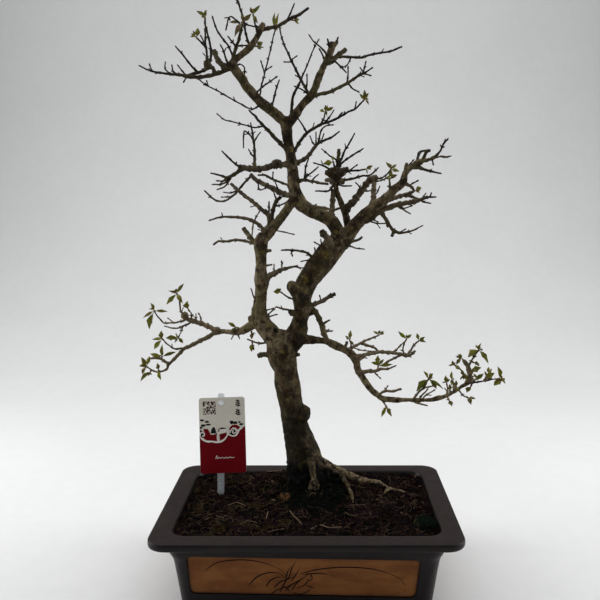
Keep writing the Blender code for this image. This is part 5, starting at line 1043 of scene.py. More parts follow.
def bark_material():
    """Old bark.

    Looks: red is moss, green is lichen, blue is a cut or hollow and painted shade in the knob's pits, alpha
    is pale below 0.5, partly painted highlight, and darker above, low on the trunk and as painted shade.
    """
    paint = Paint("bark_old", Specular_IOR_Level=0.12)
    broad = paint.noise(46, 4, 0.6)
    patch = paint.noise(120, 4, 0.58, (1, 1, 0.8), 0.4)
    flaky = paint.noise(190, 6, 0.64, (1, 1, 0.7), 0.5)
    fine = paint.noise(820, 4, 0.66, (1, 1, 0.75))
    rust = paint.noise(88, 3, 0.55)
    film = paint.noise(34, 4, 0.6, (1, 1, 0.8))
    paint.start(paint.fade(broad, 0.40, 0.60), (0.040, 0.0280, 0.0155), (0.098, 0.072, 0.0360))
    paint.layer(paint.fade(flaky, 0.50, 0.66, 0.85), (0.19, 0.15, 0.088))
    # Pale bark, partly the bark's own paler patches and partly painted highlight where the limbs are lit
    pale = paint.times(paint.fade(paint.alpha, 0.5, 0.0, 0.80), paint.fade(flaky, 0.30, 0.56))
    paint.layer(pale, (0.205, 0.160, 0.092))
    paint.layer(paint.fade(patch, 0.49, 0.40, 0.88), (0.017, 0.0116, 0.0072))
    paint.layer(paint.fade(flaky, 0.45, 0.32, 0.80), (0.016, 0.0116, 0.0072))
    paint.layer(paint.fade(fine, 0.45, 0.34, 0.85), (0.014, 0.0097, 0.0064))
    paint.layer(paint.fade(rust, 0.57, 0.70, 0.50), (0.085, 0.0407, 0.0176))
    paint.layer(paint.fade(film, 0.50, 0.66, 0.50), (0.068, 0.0601, 0.0192))
    # Darker low on the trunk, and painted shade where the stems lie in shade
    paint.layer(paint.fade(paint.alpha, 0.5, 1.0, 0.80), (0.01, 0.0082, 0.0048))
    paint.layer(paint.times(paint.green, paint.fade(fine, 0.36, 0.60)), (0.25, 0.180, 0.042))
    paint.layer(paint.times(paint.red, paint.fade(flaky, 0.26, 0.46)), (0.0018, 0.0030, 0.0022))
    paint.layer(paint.blue, (0.01, 0.0078, 0.0048))
    normal = paint.bump(fine, 0.0011, paint.bump(flaky, 0.0032))
    return paint.done(paint.between(flaky, 0.3, 0.7, 0.95, 0.80), normal)


def twig_material():
    """Young bark.

    Looks: red is a bud, green is lichen, blue is a cut end, alpha is pale below 0.5, partly painted
    highlight, and dark above, painted shade high in the crown.
    """
    paint = Paint("twig_bark", Specular_IOR_Level=0.15)
    broad = paint.noise(60, 3, 0.6)
    fine = paint.noise(620, 5, 0.66, (1, 1, 0.6))
    spots = paint.cells(620)
    paint.start(paint.fade(broad, 0.38, 0.62), (0.026, 0.0175, 0.0104), (0.058, 0.0456, 0.024))
    paint.layer(paint.fade(fine, 0.52, 0.72, 0.65), (0.105, 0.0834, 0.0464))
    paint.layer(paint.fade(fine, 0.44, 0.30, 0.7), (0.012, 0.0087, 0.0056))
    paint.layer(paint.fade(spots, 0.20, 0.12, 0.45), (0.135, 0.1164, 0.072))
    # Pale twig bark at the pale bark spots, partly painted highlight
    paint.layer(paint.fade(paint.alpha, 0.5, 0.0, 0.65), (0.15, 0.1125, 0.0688))
    paint.layer(paint.green, (0.075, 0.0698, 0.0208))
    paint.layer(paint.red, (0.042, 0.0213, 0.0112))
    # Painted shade: thin twigs high in the crown are dark
    paint.layer(paint.fade(paint.alpha, 0.5, 1.0, 0.80), (0.009, 0.0078, 0.0058))
    paint.layer(paint.blue, (0.018, 0.0136, 0.0088))
    return paint.done(paint.between(fine, 0.3, 0.7, 0.90, 0.70), paint.bump(fine, 0.00030))


def leaf_material():
    """A young leaf. Looks: red is bronze, green is the share across, blue is brightness."""
    paint = Paint("leaf_blade", Subsurface_Weight=0.12, Subsurface_Scale=0.002, Specular_IOR_Level=0.22)
    paint.shader.inputs["Subsurface Radius"].default_value = (0.6, 1.0, 0.2)
    mottle = paint.noise(420, 4, 0.6)
    veins = paint.cells(900, "DISTANCE_TO_EDGE")
    paint.start(paint.blue, (0.024, 0.022, 0.003), (0.235, 0.205, 0.010))
    paint.layer(paint.fade(mottle, 0.45, 0.70, 0.5), (0.225, 0.170, 0.016))
    paint.layer(paint.fade(paint.green, 0.72, 1.0, 0.55), (0.210, 0.150, 0.050))
    paint.layer(paint.fade(paint.green, 0.12, 0.0, 0.5), (0.230, 0.215, 0.040))
    paint.layer(paint.times(paint.red, 0.9), (0.095, 0.038, 0.017))
    normal = paint.bump(paint.fade(veins, 0.0, 0.16), 0.00012)
    return paint.done(paint.between(mottle, 0.3, 0.7, 0.58, 0.40), normal)


def soil_material():
    """Dark peat and bark crumbs.

    Looks: red is moss, green is a pale crumb, blue is rust, alpha below 1 is olive.
    """
    paint = Paint("soil_peat", Specular_IOR_Level=0.0)
    broad = paint.noise(60, 4, 0.6)
    grain = paint.noise(700, 6, 0.7)
    paint.start(paint.fade(broad, 0.35, 0.65), (0.0012, 0.0010, 0.0012), (0.0064, 0.0040, 0.0050))
    paint.layer(paint.fade(grain, 0.55, 0.78), (0.028, 0.0165, 0.0180))
    paint.layer(paint.fade(paint.alpha, 1.0, 0.0, 0.8), (0.0125, 0.0100, 0.0045))
    paint.layer(paint.blue, (0.165, 0.072, 0.023))
    paint.layer(paint.green, (0.135, 0.095, 0.062))
    paint.layer(paint.times(paint.red, paint.fade(grain, 0.34, 0.56)), (0.0009, 0.0026, 0.0022))
    return paint.done(paint.between(grain, 0.3, 0.7, 0.95, 0.70), paint.bump(grain, 0.0009))


def moss_material():
    """Moss. Looks: red is a paler yellow-green: at random on tuft tips, and painted highlight on the
    cushion's top-left side.
    """
    paint = Paint("moss_cushion_green", Specular_IOR_Level=0.0)
    mottle = paint.noise(500, 5, 0.65)
    paint.start(paint.fade(mottle, 0.38, 0.62), (0.0018, 0.0036, 0.0028), (0.0062, 0.0096, 0.0066))
    paint.layer(paint.red, (0.042, 0.036, 0.014))
    return paint.done(paint.between(mottle, 0.3, 0.7, 0.95, 0.75), paint.bump(mottle, 0.0006))


def clay_material():
    """Dark unglazed clay, burnished on the walls, brown and dusty on top of the rim."""
    paint = Paint("pot_clay", Specular_IOR_Level=0.19)
    broad = paint.noise(28, 4, 0.6)
    grain = paint.noise(1500, 5, 0.65)
    wipe = paint.noise(120, 5, 0.62, (0.4, 0.4, 1.6), 0.8)
    height = paint.node("ShaderNodeSeparateXYZ", {"Vector": paint.place}).outputs["Z"]
    top = paint.fade(height, POT_HEIGHT - 0.0016, POT_HEIGHT - 0.0002)
    paint.start(paint.fade(broad, 0.35, 0.65), (0.0052, 0.0031, 0.0028), (0.0088, 0.0055, 0.0049))
    paint.layer(paint.fade(wipe, 0.55, 0.78, 0.5), (0.0145, 0.0100, 0.0090))
    paint.layer(paint.fade(grain, 0.60, 0.78, 0.4), (0.024, 0.0180, 0.0163))
    paint.layer(paint.times(top, 0.75), (0.0130, 0.0080, 0.0066))
    rough = paint.maths("ADD", paint.between(wipe, 0.3, 0.7, 0.30, 0.42), paint.times(top, 0.48))
    return paint.done(rough, paint.bump(grain, 0.00010, paint.bump(wipe, 0.00035)))


def panel_material():
    """Tan clay slip in the recessed panels. Looks: red is the dark edge."""
    paint = Paint("panel_slip", Specular_IOR_Level=0.15)
    broad = paint.noise(45, 5, 0.62, (0.6, 0.6, 1.5))
    grain = paint.noise(900, 5, 0.65)
    paint.start(paint.fade(broad, 0.34, 0.66), (0.152, 0.052, 0.0135), (0.235, 0.091, 0.025))
    paint.layer(paint.fade(grain, 0.50, 0.75, 0.5), (0.275, 0.120, 0.041))
    paint.layer(paint.red, (0.040, 0.021, 0.012))
    return paint.done(paint.between(grain, 0.3, 0.7, 0.72, 0.56), paint.bump(grain, 0.00022))


def plain_material(name, low, high, rough, scale=400, **constants):
    """A fine-grained surface that varies between two colours, with roughness and relief to match."""
    paint = Paint(name, **constants)
    grain = paint.noise(scale, 5, 0.62)
    cloud = paint.noise(scale / 9, 3, 0.5)
    paint.start(paint.fade(paint.maths("ADD", grain, cloud), 0.8, 1.25), low, high)
    return paint.done(paint.between(cloud, 0.3, 0.7, rough - 0.06, rough + 0.06), paint.bump(grain, 0.00008))


# Tree

Sample = namedtuple("Sample", "group view back thickness point axis at_end")


class Strands:
    """Every strand of wood, and points sampled along them for finding where the next one grows."""

    def __init__(self):
        self.strands = []
        self.samples = []

    def add(self, group, places, grown=False):
        """Adds a strand through places of (across, down, back, thickness)."""
        real = [sight(*p[:3]) for p in places]
        last = len(places) - 2
        for k, (a, b) in enumerate(zip(places, places[1:])):
            steps = max(1, round(math.dist(a[:2], b[:2])))
            axis = (real[k + 1] - real[k]).normalized()
            for step in range(steps + (k == last)):
                part = step / steps
                across, down, back, thickness = (p + (q - p) * part for p, q in zip(a, b))
                point = real[k].lerp(real[k + 1], part)
                self.samples.append(Sample(group, (across, down), back, thickness, point, axis, part == 1.0))
        self.strands.append((group, real, [p[3] / 2 * MM for p in places], grown))

    def nearest(self, group, across, down):
        own = [s for s in self.samples if s.group == group]
        return min(own, key=lambda s: (s.view[0] - across) ** 2 + (s.view[1] - down) ** 2)

    def grow(self, group, twig):
        """Adds a twig, rooted on the middle of the strand that its route starts on."""
        reach, root_thickness, tip_thickness, *route = twig
        root = self.nearest(group, *route[0])
        if math.hypot(root.view[0] - route[0][0], root.view[1] - route[0][1]) > 0.6:
            route = [root.view] + route
        lengths = [0.0]
        for a, b in zip(route, route[1:]):
            lengths.append(lengths[-1] + math.hypot(b[0] - a[0], b[1] - a[1]))
        places = []
        for (across, down), length in zip(route, lengths):
            part = length / lengths[-1]
            thickness = root_thickness + (tip_thickness - root_thickness) * part
            places.append((across, down, root.back + reach * part, thickness))
        self.add(group, places, grown=True)


def grow_tree():
    """The main strands, each with the twigs that grow from it."""
    strands = Strands()
    limbs = (
        ("trunk", TRUNK, TRUNK_TWIGS), ("left_stem", LEFT_STEM, LEFT_STEM_TWIGS),
        ("left_bridge", LEFT_BRIDGE, ()), ("right_stem", RIGHT_STEM, RIGHT_STEM_TWIGS),
        ("upper_stem", UPPER_STEM, UPPER_STEM_TWIGS), ("back_stem", BACK_STEM, BACK_TWIGS),
        ("right_main", RIGHT_MAIN, RIGHT_MAIN_TWIGS), ("right_upper", RIGHT_UPPER, RIGHT_UPPER_TWIGS),
        ("left_leader", LEFT_LEADER, LEFT_LEADER_TWIGS), ("left_head", LEFT_HEAD, LEFT_HEAD_TWIGS),
        ("right_leader", RIGHT_LEADER, RIGHT_LEADER_TWIGS), ("low_left", LOW_LEFT, LOW_LEFT_TWIGS),
        ("low_right", LOW_RIGHT, LOW_RIGHT_TWIGS),
    )
    for group, main, twigs in limbs:
        strands.add(group, main)
        for twig in twigs:
            strands.grow(group, twig)
    return strands


def bark_body(strands, limbs, roots):
    """The limbs, roots and burls, run together into one skin."""
    shell = Shell()
    for real, radii in limbs + roots:
        shell.add(*tube(*resampled(real, radii, LIMB_STEP)[:2], 20))
    ball, faces = lump(3)
    for group, across, down, radius, reach in BURLS:
        middle = sight(across, down, strands.nearest(group, across, down).back - reach)
        shell.add(ball * radius * MM + np.array(middle), faces)
    bark = mesh_object("bark_main", shell.points, shell.faces)
    apply_modifiers(bark, ("REMESH", {"mode": "VOXEL", "voxel_size": BARK_VOXEL}),
                    ("SMOOTH", {"factor": 0.5, "iterations": 3}))
    return bark


def rows_of(data, key):
    """A mesh's points or directions, as rows of three."""
    rows = np.empty(len(data) * 3)
    data.foreach_get(key, rows)
    return rows.reshape(-1, 3)


def bark_relief(points):
    """How far each point of the bark stands out, and a value that wanders from point to point."""
    lift, wander = np.zeros(len(points)), np.zeros(len(points))
    for i, point in enumerate(points):
        p = Vector(point)
        lumps = noise.fractal(p * 75, 1.0, 2.0, 3)
        ridges = noise.fractal(Vector((p.x * 420, p.y * 420, p.z * 190)), 0.9, 2.1, 3)
        lift[i] = LUMP_RELIEF * lumps + RIDGE_RELIEF * ridges - 0.0001
        low = smooth_step(p.z, POT_HEIGHT + 0.036, POT_HEIGHT + 0.018)
        if low > 0:
            lift[i] += GNARL_RELIEF * low * noise.fractal(p * 230, 1.0, 2.0, 2)
        wander[i] = noise.noise(p * 160 + Vector((5, 1, 7)))
    return lift, wander


def cut_end_shares(points, limbs):
    """How deep each point lies in a limb's cut end, most where the end has rotted."""
    hollow = np.zeros(len(points))
    for real, radii in limbs:
        end, axis = np.array(real[-1]), np.array((real[-1] - real[-2]).normalized())
        along = (points - end) @ axis
        away = np.linalg.norm(points - end - along[:, None] * axis, axis=1)
        inside = smooth_step(away, radii[-1] * 0.95, radii[-1] * 0.45) * (along > -0.0012) * (along < 0.004)
        rotted = [share for across, down, share in HOLLOWS if math.dist(seen(end), (across, down)) < 9]
        hollow = np.maximum(hollow, max(rotted, default=0.25) * inside)
    return hollow


def gnarl_knob(points, views, lift, hollow):
    """Adds gnarls and pits to the knob of the front root, with painted shade in the deepest pits."""
    across, down, reach = ROOT_KNOB
    knob = smooth_step(np.hypot(views[:, 0] - across, views[:, 1] - down), reach, reach * 0.6)
    for i in np.flatnonzero(knob):
        gnarl = noise.fractal(Vector(points[i]) * 330, 0.9, 2.0, 2)
        lift[i] += KNOB_RELIEF * knob[i] * gnarl
        # Painted shade: the deeper a pit sinks, the darker it is coloured
        hollow[i] = max(hollow[i], knob[i] * float(smooth_step(gnarl, 0.05, -0.35)))


def root_shares(points, over_soil, roots):
    """How far each point lies on a root, and how dry and pale it is there."""
    on_root, dry = np.zeros(len(points)), np.zeros(len(points))
    low = np.flatnonzero(over_soil < 0.05)
    for (real, radii), share in zip(roots, ROOT_PALENESS):
        for centre, radius, _ in zip(*resampled(real, radii, 0.003)):
            away = np.linalg.norm(points[low] - centre, axis=1) - radius
            near = smooth_step(away, 0.0022, 0.0004)
            on_root[low] = np.maximum(on_root[low], near)
            dry[low] = np.maximum(dry[low], share * near)
    return on_root, dry * smooth_step(over_soil, 0.045, 0.030)


def bark_looks(points, normals, views, wander, roots):
    """The shares of moss and lichen at each point of the bark, then how dark and how pale it is: darker low
    on the trunk and with painted shade, paler where roots are dry and at pale spots that are partly painted
    highlight.
    """
    over_soil = points[:, 2] - np.array([soil_height(x, y) for x, y in points[:, :2]])
    on_root, dry = root_shares(points, over_soil, roots)
    beside, behind = points[:, 0] - TRUNK_FOOT[0], points[:, 1] - TRUNK_FOOT[1]
    near_trunk = smooth_step(np.hypot(beside, behind), 0.052, 0.038)
    moss = smooth_step(over_soil + 0.009 * wander, MOSS_CLIMB[1], MOSS_CLIMB[0]) * near_trunk * (1 - on_root)
    moss = np.maximum(moss, smooth_step(over_soil, 0.0035, 0.0005) * near_trunk * 0.8)
    lichen = smooth_step(wander, 0.46, 0.66) * 0.35
    for across, down, reach in LICHENS:
        away = np.hypot(views[:, 0] - across, views[:, 1] - down) + 1.6 * wander
        lichen = np.maximum(lichen, 0.7 * smooth_step(away, reach, reach * 0.4) * (normals[:, 1] < 0.2))
    # Darker low on the trunk's left side, away from the roots
    darkening = smooth_step(over_soil + 0.020 * wander, 0.135, 0.060) * (1 - on_root)
    darkening *= smooth_step(beside + 0.010 * wander, 0.018, 0.004)
    # Paler where roots are dry, and at the pale bark spots, which are partly painted highlight where the
    # limbs are lit
    pale = np.maximum(dry, spread(PALE_AND_LIT_BARK, views) * (0.55 + 0.45 * smooth_step(wander, -0.25, 0.15)))
    # Painted shade: the bark is darker at the shaded bark spots, where the stems lie in shade
    dark = spread(PAINTED_SHADE_BARK, views) * (0.7 + 0.3 * smooth_step(wander, 0.25, -0.25))
    darkening = np.maximum(darkening * (1 - pale), dark)
    return moss, lichen, darkening, pale * (1 - darkening)


def make_bark(strands, material):
    """The thick wood and the roots, as one skin with lumpy, ridged bark.

    Gives the places on it that moss covers, each with the direction that faces out.
    """
    limbs = [(real, radii) for _, real, radii, _ in strands.strands if max(radii) * 2 >= THICK]
    roots = [([sight(*p[:3]) for p in root], [p[3] / 2 * MM for p in root]) for root in ROOTS]
    for (_, radii), tip in zip(roots, ROOT_TIPS):
        for back, share in enumerate(tip, 1):
            radii[-back] *= share
    bark = bark_body(strands, limbs, roots)
    points = rows_of(bark.data.vertices, "co")
    normals = rows_of(bark.data.vertex_normals, "vector")
    views = np.array([seen(p) for p in points])
    lift, wander = bark_relief(points)
    hollow = cut_end_shares(points, limbs)
    gnarl_knob(points, views, lift, hollow)
    points += normals * (lift - ROT_DEPTH * hollow)[:, None]
    bark.data.vertices.foreach_set("co", points.ravel())
    moss, lichen, darkening, pale = bark_looks(points, normals, views, wander, roots)
    set_looks(bark.data, np.stack([moss, lichen, hollow, 0.5 + 0.5 * darkening - 0.5 * pale], axis=1))
    settle(bark, material, "wood", "wood")
    return [(Vector(points[i]), Vector(normals[i])) for i in np.flatnonzero(moss > 0.55)]


def bud_shape(base, along, length, width):
    """Points and faces of a pointed bud."""
    shares = ((0.0, 0.55), (0.22, 0.95), (0.45, 1.0), (0.70, 0.72), (0.90, 0.32), (1.0, 0.06))
    points = [base + along * (length * at) for at, _ in shares]
    return tube(points, [width / 2 * share for _, share in shares], 6)


Twig = namedtuple("Twig", "spans sizes at tones tint")


def twig_nodes(length, draw):
    """How far along a twig its nodes are, each with the turn that its buds face."""
    node, turn, nodes = draw.uniform(0.004, 0.008), draw.uniform(0, math.pi), []
    while node < length - 0.003:
        nodes.append((node, turn))
        node += draw.uniform(*NODE_GAP)
        turn += math.pi / 2
    return nodes


def twig_tones(spans, widths):
    """How dark a twig is along it: pale below 0.5, partly painted highlight, and dark high in the crown where
    it is thin, which is painted shade.
    """
    # Paler at the pale bark spots, partly painted highlight; darker for thin twigs high in the crown, which
    # is painted shade
    tones = 0.5 - 0.5 * spread(PALE_AND_LIT_BARK, np.array([seen(p) for p in spans]))
    thick = 0.7 * smooth_step(np.array(widths), 0.0011, 0.0022)
    return tones + 0.5 * np.array([smooth_step(p.z, 0.40, 0.50) for p in spans]) * (1 - thick)


def add_side_buds(shell, twig, nodes, leafy, draw):
    """Buds on both sides of each node, some of them missing and a few on a short spur."""
    across = frames(twig.spans)
    for node, turn in nodes:
        k = int(np.searchsorted(twig.at, node))
        spot, radius, tone = twig.spans[k], float(twig.sizes[k]), float(twig.tones[k])
        if radius > 0.0042 or min((spot - p).length for p in leafy) < LEAFY_REACH:
            continue
        along = (twig.spans[k + 1] - spot).normalized()
        for side in (0, math.pi):
            if draw.random() < (0.28 if radius < 0.0022 else 0.60):
                continue
            out = across[k][0] * math.cos(turn + side) + across[k][1] * math.sin(turn + side)
            base, lean = spot + out * radius * 0.7, (along * 0.8 + out * 0.8).normalized()
            length = draw.uniform(*BUD_LENGTH)
            if draw.random() < 0.13:
                spur = [base + lean * SPUR_LENGTH * draw.uniform(0.5, 1.0) * step / 3 for step in range(4)]
                shell.add(*tube(spur, [0.00070, 0.00055, 0.00065, 0.00060], 6), (0.3, twig.tint, 0.0, tone))
                base = spur[-1] - lean * 0.0004
            shell.add(*bud_shape(base, lean, length, length * 0.62), (0.85, 0.0, 0.0, tone))


def make_twigs(strands, material):
    """The thin wood: a smooth tube for each strand, with swollen nodes, buds and cut or budded ends."""
    draw = random.Random(31)
    noise.seed_set(31)
    shells = {}
    leafy = [strands.nearest(spec[0], *spec[1]).point for spec in SHOOTS.values()]
    for group, real, radii, grown in strands.strands:
        if max(radii) * 2 >= THICK:
            continue
        shell = shells.setdefault(group, Shell())
        points, sizes, at = resampled(real, radii, TWIG_STEP)
        nodes = twig_nodes(at[-1], draw)
        swell = 1 + 0.05 * np.sin(at * 900 + draw.uniform(0, 6))
        if grown:
            swell += 0.55 * np.exp(-((at / (sizes[0] * 1.6)) ** 2))
        for node, _ in nodes:
            swell += NODE_SWELL * np.exp(-(((at - node) / 0.0011) ** 2))
        sway = np.array([noise.noise_vector(Vector(p) * 210 + Vector((3, 9, 1))) for p in points])
        points = points + sway * (sizes * 0.28)[:, None] * np.minimum(at / 0.006, 1.0)[:, None]
        cut_end = radii[-1] * 2 >= CUT_END
        sizes = sizes * swell
        sides = 12 if max(radii) > 0.003 else 9 if max(radii) > 0.0015 else 7
        spans = [Vector(p) for p in points]
        axis = (spans[-1] - spans[-2]).normalized()
        tail = ((0.0, 0.82), (-0.10, 0.55)) if cut_end else ((0.45, 0.80), (0.80, 0.42))
        spans += [spans[-1] + axis * float(sizes[-1]) * out for out, _ in tail]
        widths = list(sizes) + [sizes[-1] * share for _, share in tail]
        tint = float(smooth_step(draw.random(), 0.5, 1.0) * 0.35)
        twig = Twig(spans, sizes, at, twig_tones(spans, widths), tint)
        looks = []
        for number, tone in enumerate(twig.tones):
            end = 1.0 if cut_end and number >= len(spans) - 2 else 0.0
            looks += [(0.0, tint * (1 - end), end, float(tone))] * sides
        shell.add(*tube(spans, widths, sides), looks)
        add_side_buds(shell, twig, nodes, leafy, draw)
        if not cut_end and min((spans[-1] - p).length for p in leafy) > LEAFY_REACH:
            length = draw.uniform(*END_BUD_LENGTH)
            width = max(length * 0.54, float(sizes[-1]) * 2.1)
            bud = bud_shape(spans[-1] - axis * 0.0006, axis, length, width)
            shell.add(*bud, (0.9, 0.0, 0.0, float(twig.tones[-1])))
    for group, shell in shells.items():
        shell.make(f"twigs_{group}", material, "wood", "wood")


def blade_points(width_mm):
    """The blade's grid as (along, across) shares: three-lobed if it is wide, else a lance."""
    if width_mm >= LOBED_WIDTH:
        along, sweep = (0.0, 0.12, 0.28, 0.42, 0.54, 0.72, 0.88, 1.0), 0.16
        across = (0.02, 0.22, 0.40, 0.50, 0.34, 0.24, 0.12, 0.0)
    else:
        along, sweep = (0.0, 0.14, 0.29, 0.45, 0.66, 0.86, 1.0), 0.04
        across = (0.03, 0.25, 0.44, 0.50, 0.36, 0.14, 0.0)
    grid = []
    for row in range(BLADE_ROWS):
        u = row / (BLADE_ROWS - 1)
        half = float(np.interp(u, along, across))
        grid.append([(u + sweep * (half * v / 0.5) ** 2 * (1 - u), half * v)
                     for v in (2 * c / (BLADE_COLUMNS - 1) - 1 for c in range(BLADE_COLUMNS))])
    return grid


def blade_faces():
    """Faces of a blade's two sides and of the edge that joins them."""
    rows, columns = BLADE_ROWS, BLADE_COLUMNS
    faces, shift = [], rows * columns
    for r in range(rows - 1):
        for c in range(columns - 1):
            a, b = r * columns + c, (r + 1) * columns + c
            faces.append([a, a + 1, b + 1, b])
            faces.append([a + shift, b + shift, b + 1 + shift, a + 1 + shift])
    edge = [(r, 0) for r in range(rows)] + [(rows - 1, c) for c in range(1, columns)]
    edge += [(r, columns - 1) for r in range(rows - 2, -1, -1)] + [(0, c) for c in range(columns - 2, 0, -1)]
    loop = [r * columns + c for r, c in edge]
    for a, b in zip(loop, loop[1:] + loop[:1]):
        faces.append([a, b, b + shift, a + shift])
    return faces


def add_leaf(shell, base, tip, width_mm, bronze, draw):
    """A petiole that arches from the twig, and a folded, drooping blade."""
    along = tip - base
    stalk_share = draw.uniform(0.05, 0.16)
    side = along.cross(Vector((0, 1, 0))).normalized()
    side = Matrix.Rotation(draw.uniform(-0.45, 0.45), 3, along.normalized()) @ side
    normal = side.cross(along).normalized()
    if normal.z < 0:
        normal, side = -normal, -side
    arch = draw.uniform(0.05, 0.13) * along.length

    def middle(share):
        return base + along * share + normal * (arch * math.sin(math.pi * min(share, 1.0)) * 1.1)

    width = width_mm * MM * LEAF_FULLNESS
    fold = draw.uniform(0.35, 0.75)
    bright, tint = draw.uniform(0.02, 1.0), min(1.0, max(0.0, bronze + draw.uniform(-0.12, 0.42)))
    stalk = [middle(stalk_share * 1.08 * i / 6) for i in range(7)]
    radii = [STALK_RADIUS - STALK_TAPER * i for i in range(7)]
    shell.add(*tube(stalk, radii, 6), (tint * 0.5 + 0.45, 0.5, bright * 0.5, 1.0))
    ripple = draw.uniform(0, 6)
    points, looks = [], []
    for offset in (LEAF_THICKNESS / 2, -LEAF_THICKNESS / 2):
        for row in blade_points(width_mm):
            for u, v in row:
                share = stalk_share + (1 - stalk_share) * u
                lift = abs(v) * fold * width + 0.05 * width * math.sin(14 * u + ripple) * abs(v) * 2 + offset
                points.append(middle(share) + side * v * width + normal * lift)
                rim = min(1.0, abs(v) / 0.5)
                looks.append((min(1.0, tint + TIP_BRONZE * u ** 3), rim, bright * (1.0 - 0.3 * u), 1.0))
    shell.add(points, blade_faces(), looks)


def make_leaves(strands, material):
    """Each shoot: a bud's scales on the twig, the leaves that the view shows, and small ones between them."""
    draw = random.Random(8)
    for name, (group, place, *leaves) in SHOOTS.items():
        node = f"shoot_{name}"
        bronze = BRONZE.get(name, 0.08)
        solid = np.array([v.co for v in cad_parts[node].data.vertices])
        views = np.array([seen(p) for p in solid])
        root = strands.nearest(group, *place)
        base, axis = root.point, root.axis
        hub = Vector(solid[np.argmin(np.linalg.norm(solid - np.array(base), axis=1))])
        towards = (Vector(solid.mean(axis=0)) - base).normalized()
        start = base - axis * 0.0006 if root.at_end else hub - towards * 0.0008
        reach = 0.0032 + (0 if root.at_end else root.thickness / 2 * MM)
        end = base + (axis if root.at_end else towards) * reach
        shell = Shell()
        spans = [start.lerp(end, i / 4) for i in range(5)]
        shell.add(*tube(spans, [0.0009, 0.0012, 0.0011, 0.0008, 0.0004], 8), (0.75, 0.5, 0.4, 1.0))
        for across, down, width in leaves:
            tip = Vector(solid[np.argmin(np.hypot(views[:, 0] - across, views[:, 1] - down))])
            add_leaf(shell, end - (end - start) * 0.35, tip, width, bronze, draw)
        for _ in range(draw.randint(4, 6)):
            spray = Vector((draw.gauss(0, 0.7), draw.gauss(0, 0.5), draw.gauss(0, 0.7)))
            lean = (end - start).normalized() + spray
            tip = end + lean.normalized() * draw.uniform(*SMALL_LEAF_LENGTH)
            add_leaf(shell, end, tip, draw.uniform(*SMALL_LEAF_WIDTH), bronze + 0.1, draw)
        shell.make(f"leaves_{name}", material, "leaf", node)


# Pot

def rounded_profile(profile, rounds=2):
    """The profile with its corners cut, its ends kept."""
    for _ in range(rounds):
        found = [profile[0]]
        for (a, b), (c, d) in zip(profile, profile[1:]):
            found += [(a * 0.75 + c * 0.25, b * 0.75 + d * 0.25), (a * 0.25 + c * 0.75, b * 0.25 + d * 0.75)]
        profile = found + [profile[-1]]
    return profile


def pot_ring(inset, drop):
    """The pot's ring this far inside its rim and below it."""
    blend = min(inset / FLOOR_INSET, 1.0)
    corner = RIM_CORNER + (BODY_CORNER - RIM_CORNER) * blend
    return rounded_ring(RIM_LENGTH / 2 - inset, RIM_DEPTH / 2 - inset, corner, POT_HEIGHT - drop, 10)


def wall_taper():
    """How far the pot's wall leans from upright."""
    inset, drop = OUTER_PROFILE[-1]
    return math.atan((BODY_FOOT_INSET - inset) / (POT_HEIGHT - FOOT_HEIGHT - drop))


def panel_place(side):
    """The axes of the recessed panel on one wall, and half its width."""
    half_span = RIM_DEPTH / 2 if side % 2 == 0 else RIM_LENGTH / 2
    half_width = (RIM_LENGTH if side % 2 == 0 else RIM_DEPTH) / 2 - BODY_FOOT_INSET - PANEL_MARGIN
    inset, drop = OUTER_PROFILE[-1]
    middle_drop = PANEL_TOP + (PANEL_HEIGHT + PANEL_GROWTH) / 2
    middle_inset = inset + (middle_drop - drop) * math.tan(wall_taper())
    place = Matrix.Translation((0, -(half_span - middle_inset), POT_HEIGHT - middle_drop))
    lean = Matrix.Rotation(wall_taper(), 4, "X")
    drift = Matrix.Translation((PANEL_SHIFT, 0, 0)) @ Matrix.Rotation(PANEL_TILT, 4, "Y")
    return Matrix.Rotation(side * math.pi / 2, 4, "Z") @ place @ lean @ drift, half_width


def panel_outline(half_width, shrink=0.0):
    """The panel's outline, this far inside its edge: round corners, and a little wider at its top."""
    half_height = (PANEL_HEIGHT + PANEL_GROWTH) / 2
    corner = max(PANEL_ROUND - shrink, 0.001)
    ring = rounded_ring(half_width - shrink, half_height - shrink, corner, 0.0, 8)
    return [(p.x + math.copysign(PANEL_SPREAD, p.x) * p.y / half_height, p.y) for p in ring]


def pot_feet():
    """The four corner feet, to be joined to the pot."""
    foot_x = RIM_LENGTH / 2 - BODY_FOOT_INSET - FOOT_SIZE[0] / 2 - 0.002
    foot_y = RIM_DEPTH / 2 - BODY_FOOT_INSET - FOOT_SIZE[1] / 2 - 0.002
    feet = []
    for number, (sx, sy) in enumerate(((1, 1), (-1, 1), (-1, -1), (1, -1))):
        rings = []
        for z, shrink in ((0.0, 0.0028), (0.0008, 0.0016), (0.0030, 0.0009), (FOOT_HEIGHT + 0.002, 0.0)):
            ring = rounded_ring(FOOT_SIZE[0] / 2 - shrink, FOOT_SIZE[1] / 2 - shrink, 0.006, z, 6)
            rings.append([p + Vector((sx * foot_x, sy * foot_y, 0)) for p in ring])
        feet.append(("UNION", mesh_object(f"foot_{number}", *loft(rings))))
    return feet


def panel_recesses():
    """What is cut from the four walls for their panels."""
    recesses = []
    for side in range(4):
        place, half_width = panel_place(side)
        rings = [[place @ Vector((x, depth, z)) for x, z in panel_outline(half_width)]
                 for depth in (-0.01, PANEL_DEPTH)]
        recesses.append(("DIFFERENCE", mesh_object(f"recess_{side}", *loft(rings))))
    return recesses


def drain_holes():
    """What is cut from the floor for its two drain holes."""
    holes = []
    for side in (-1, 1):
        rings = [[Vector((side * DRAIN_OFFSET + DRAIN_RADIUS * math.cos(t), DRAIN_RADIUS * math.sin(t), z))
                  for t in circle(32)] for z in (FOOT_HEIGHT - 0.004, FOOT_HEIGHT + FLOOR_THICKNESS + 0.004)]
        holes.append(("DIFFERENCE", mesh_object(f"drain_{side}", *loft(rings))))
    return holes


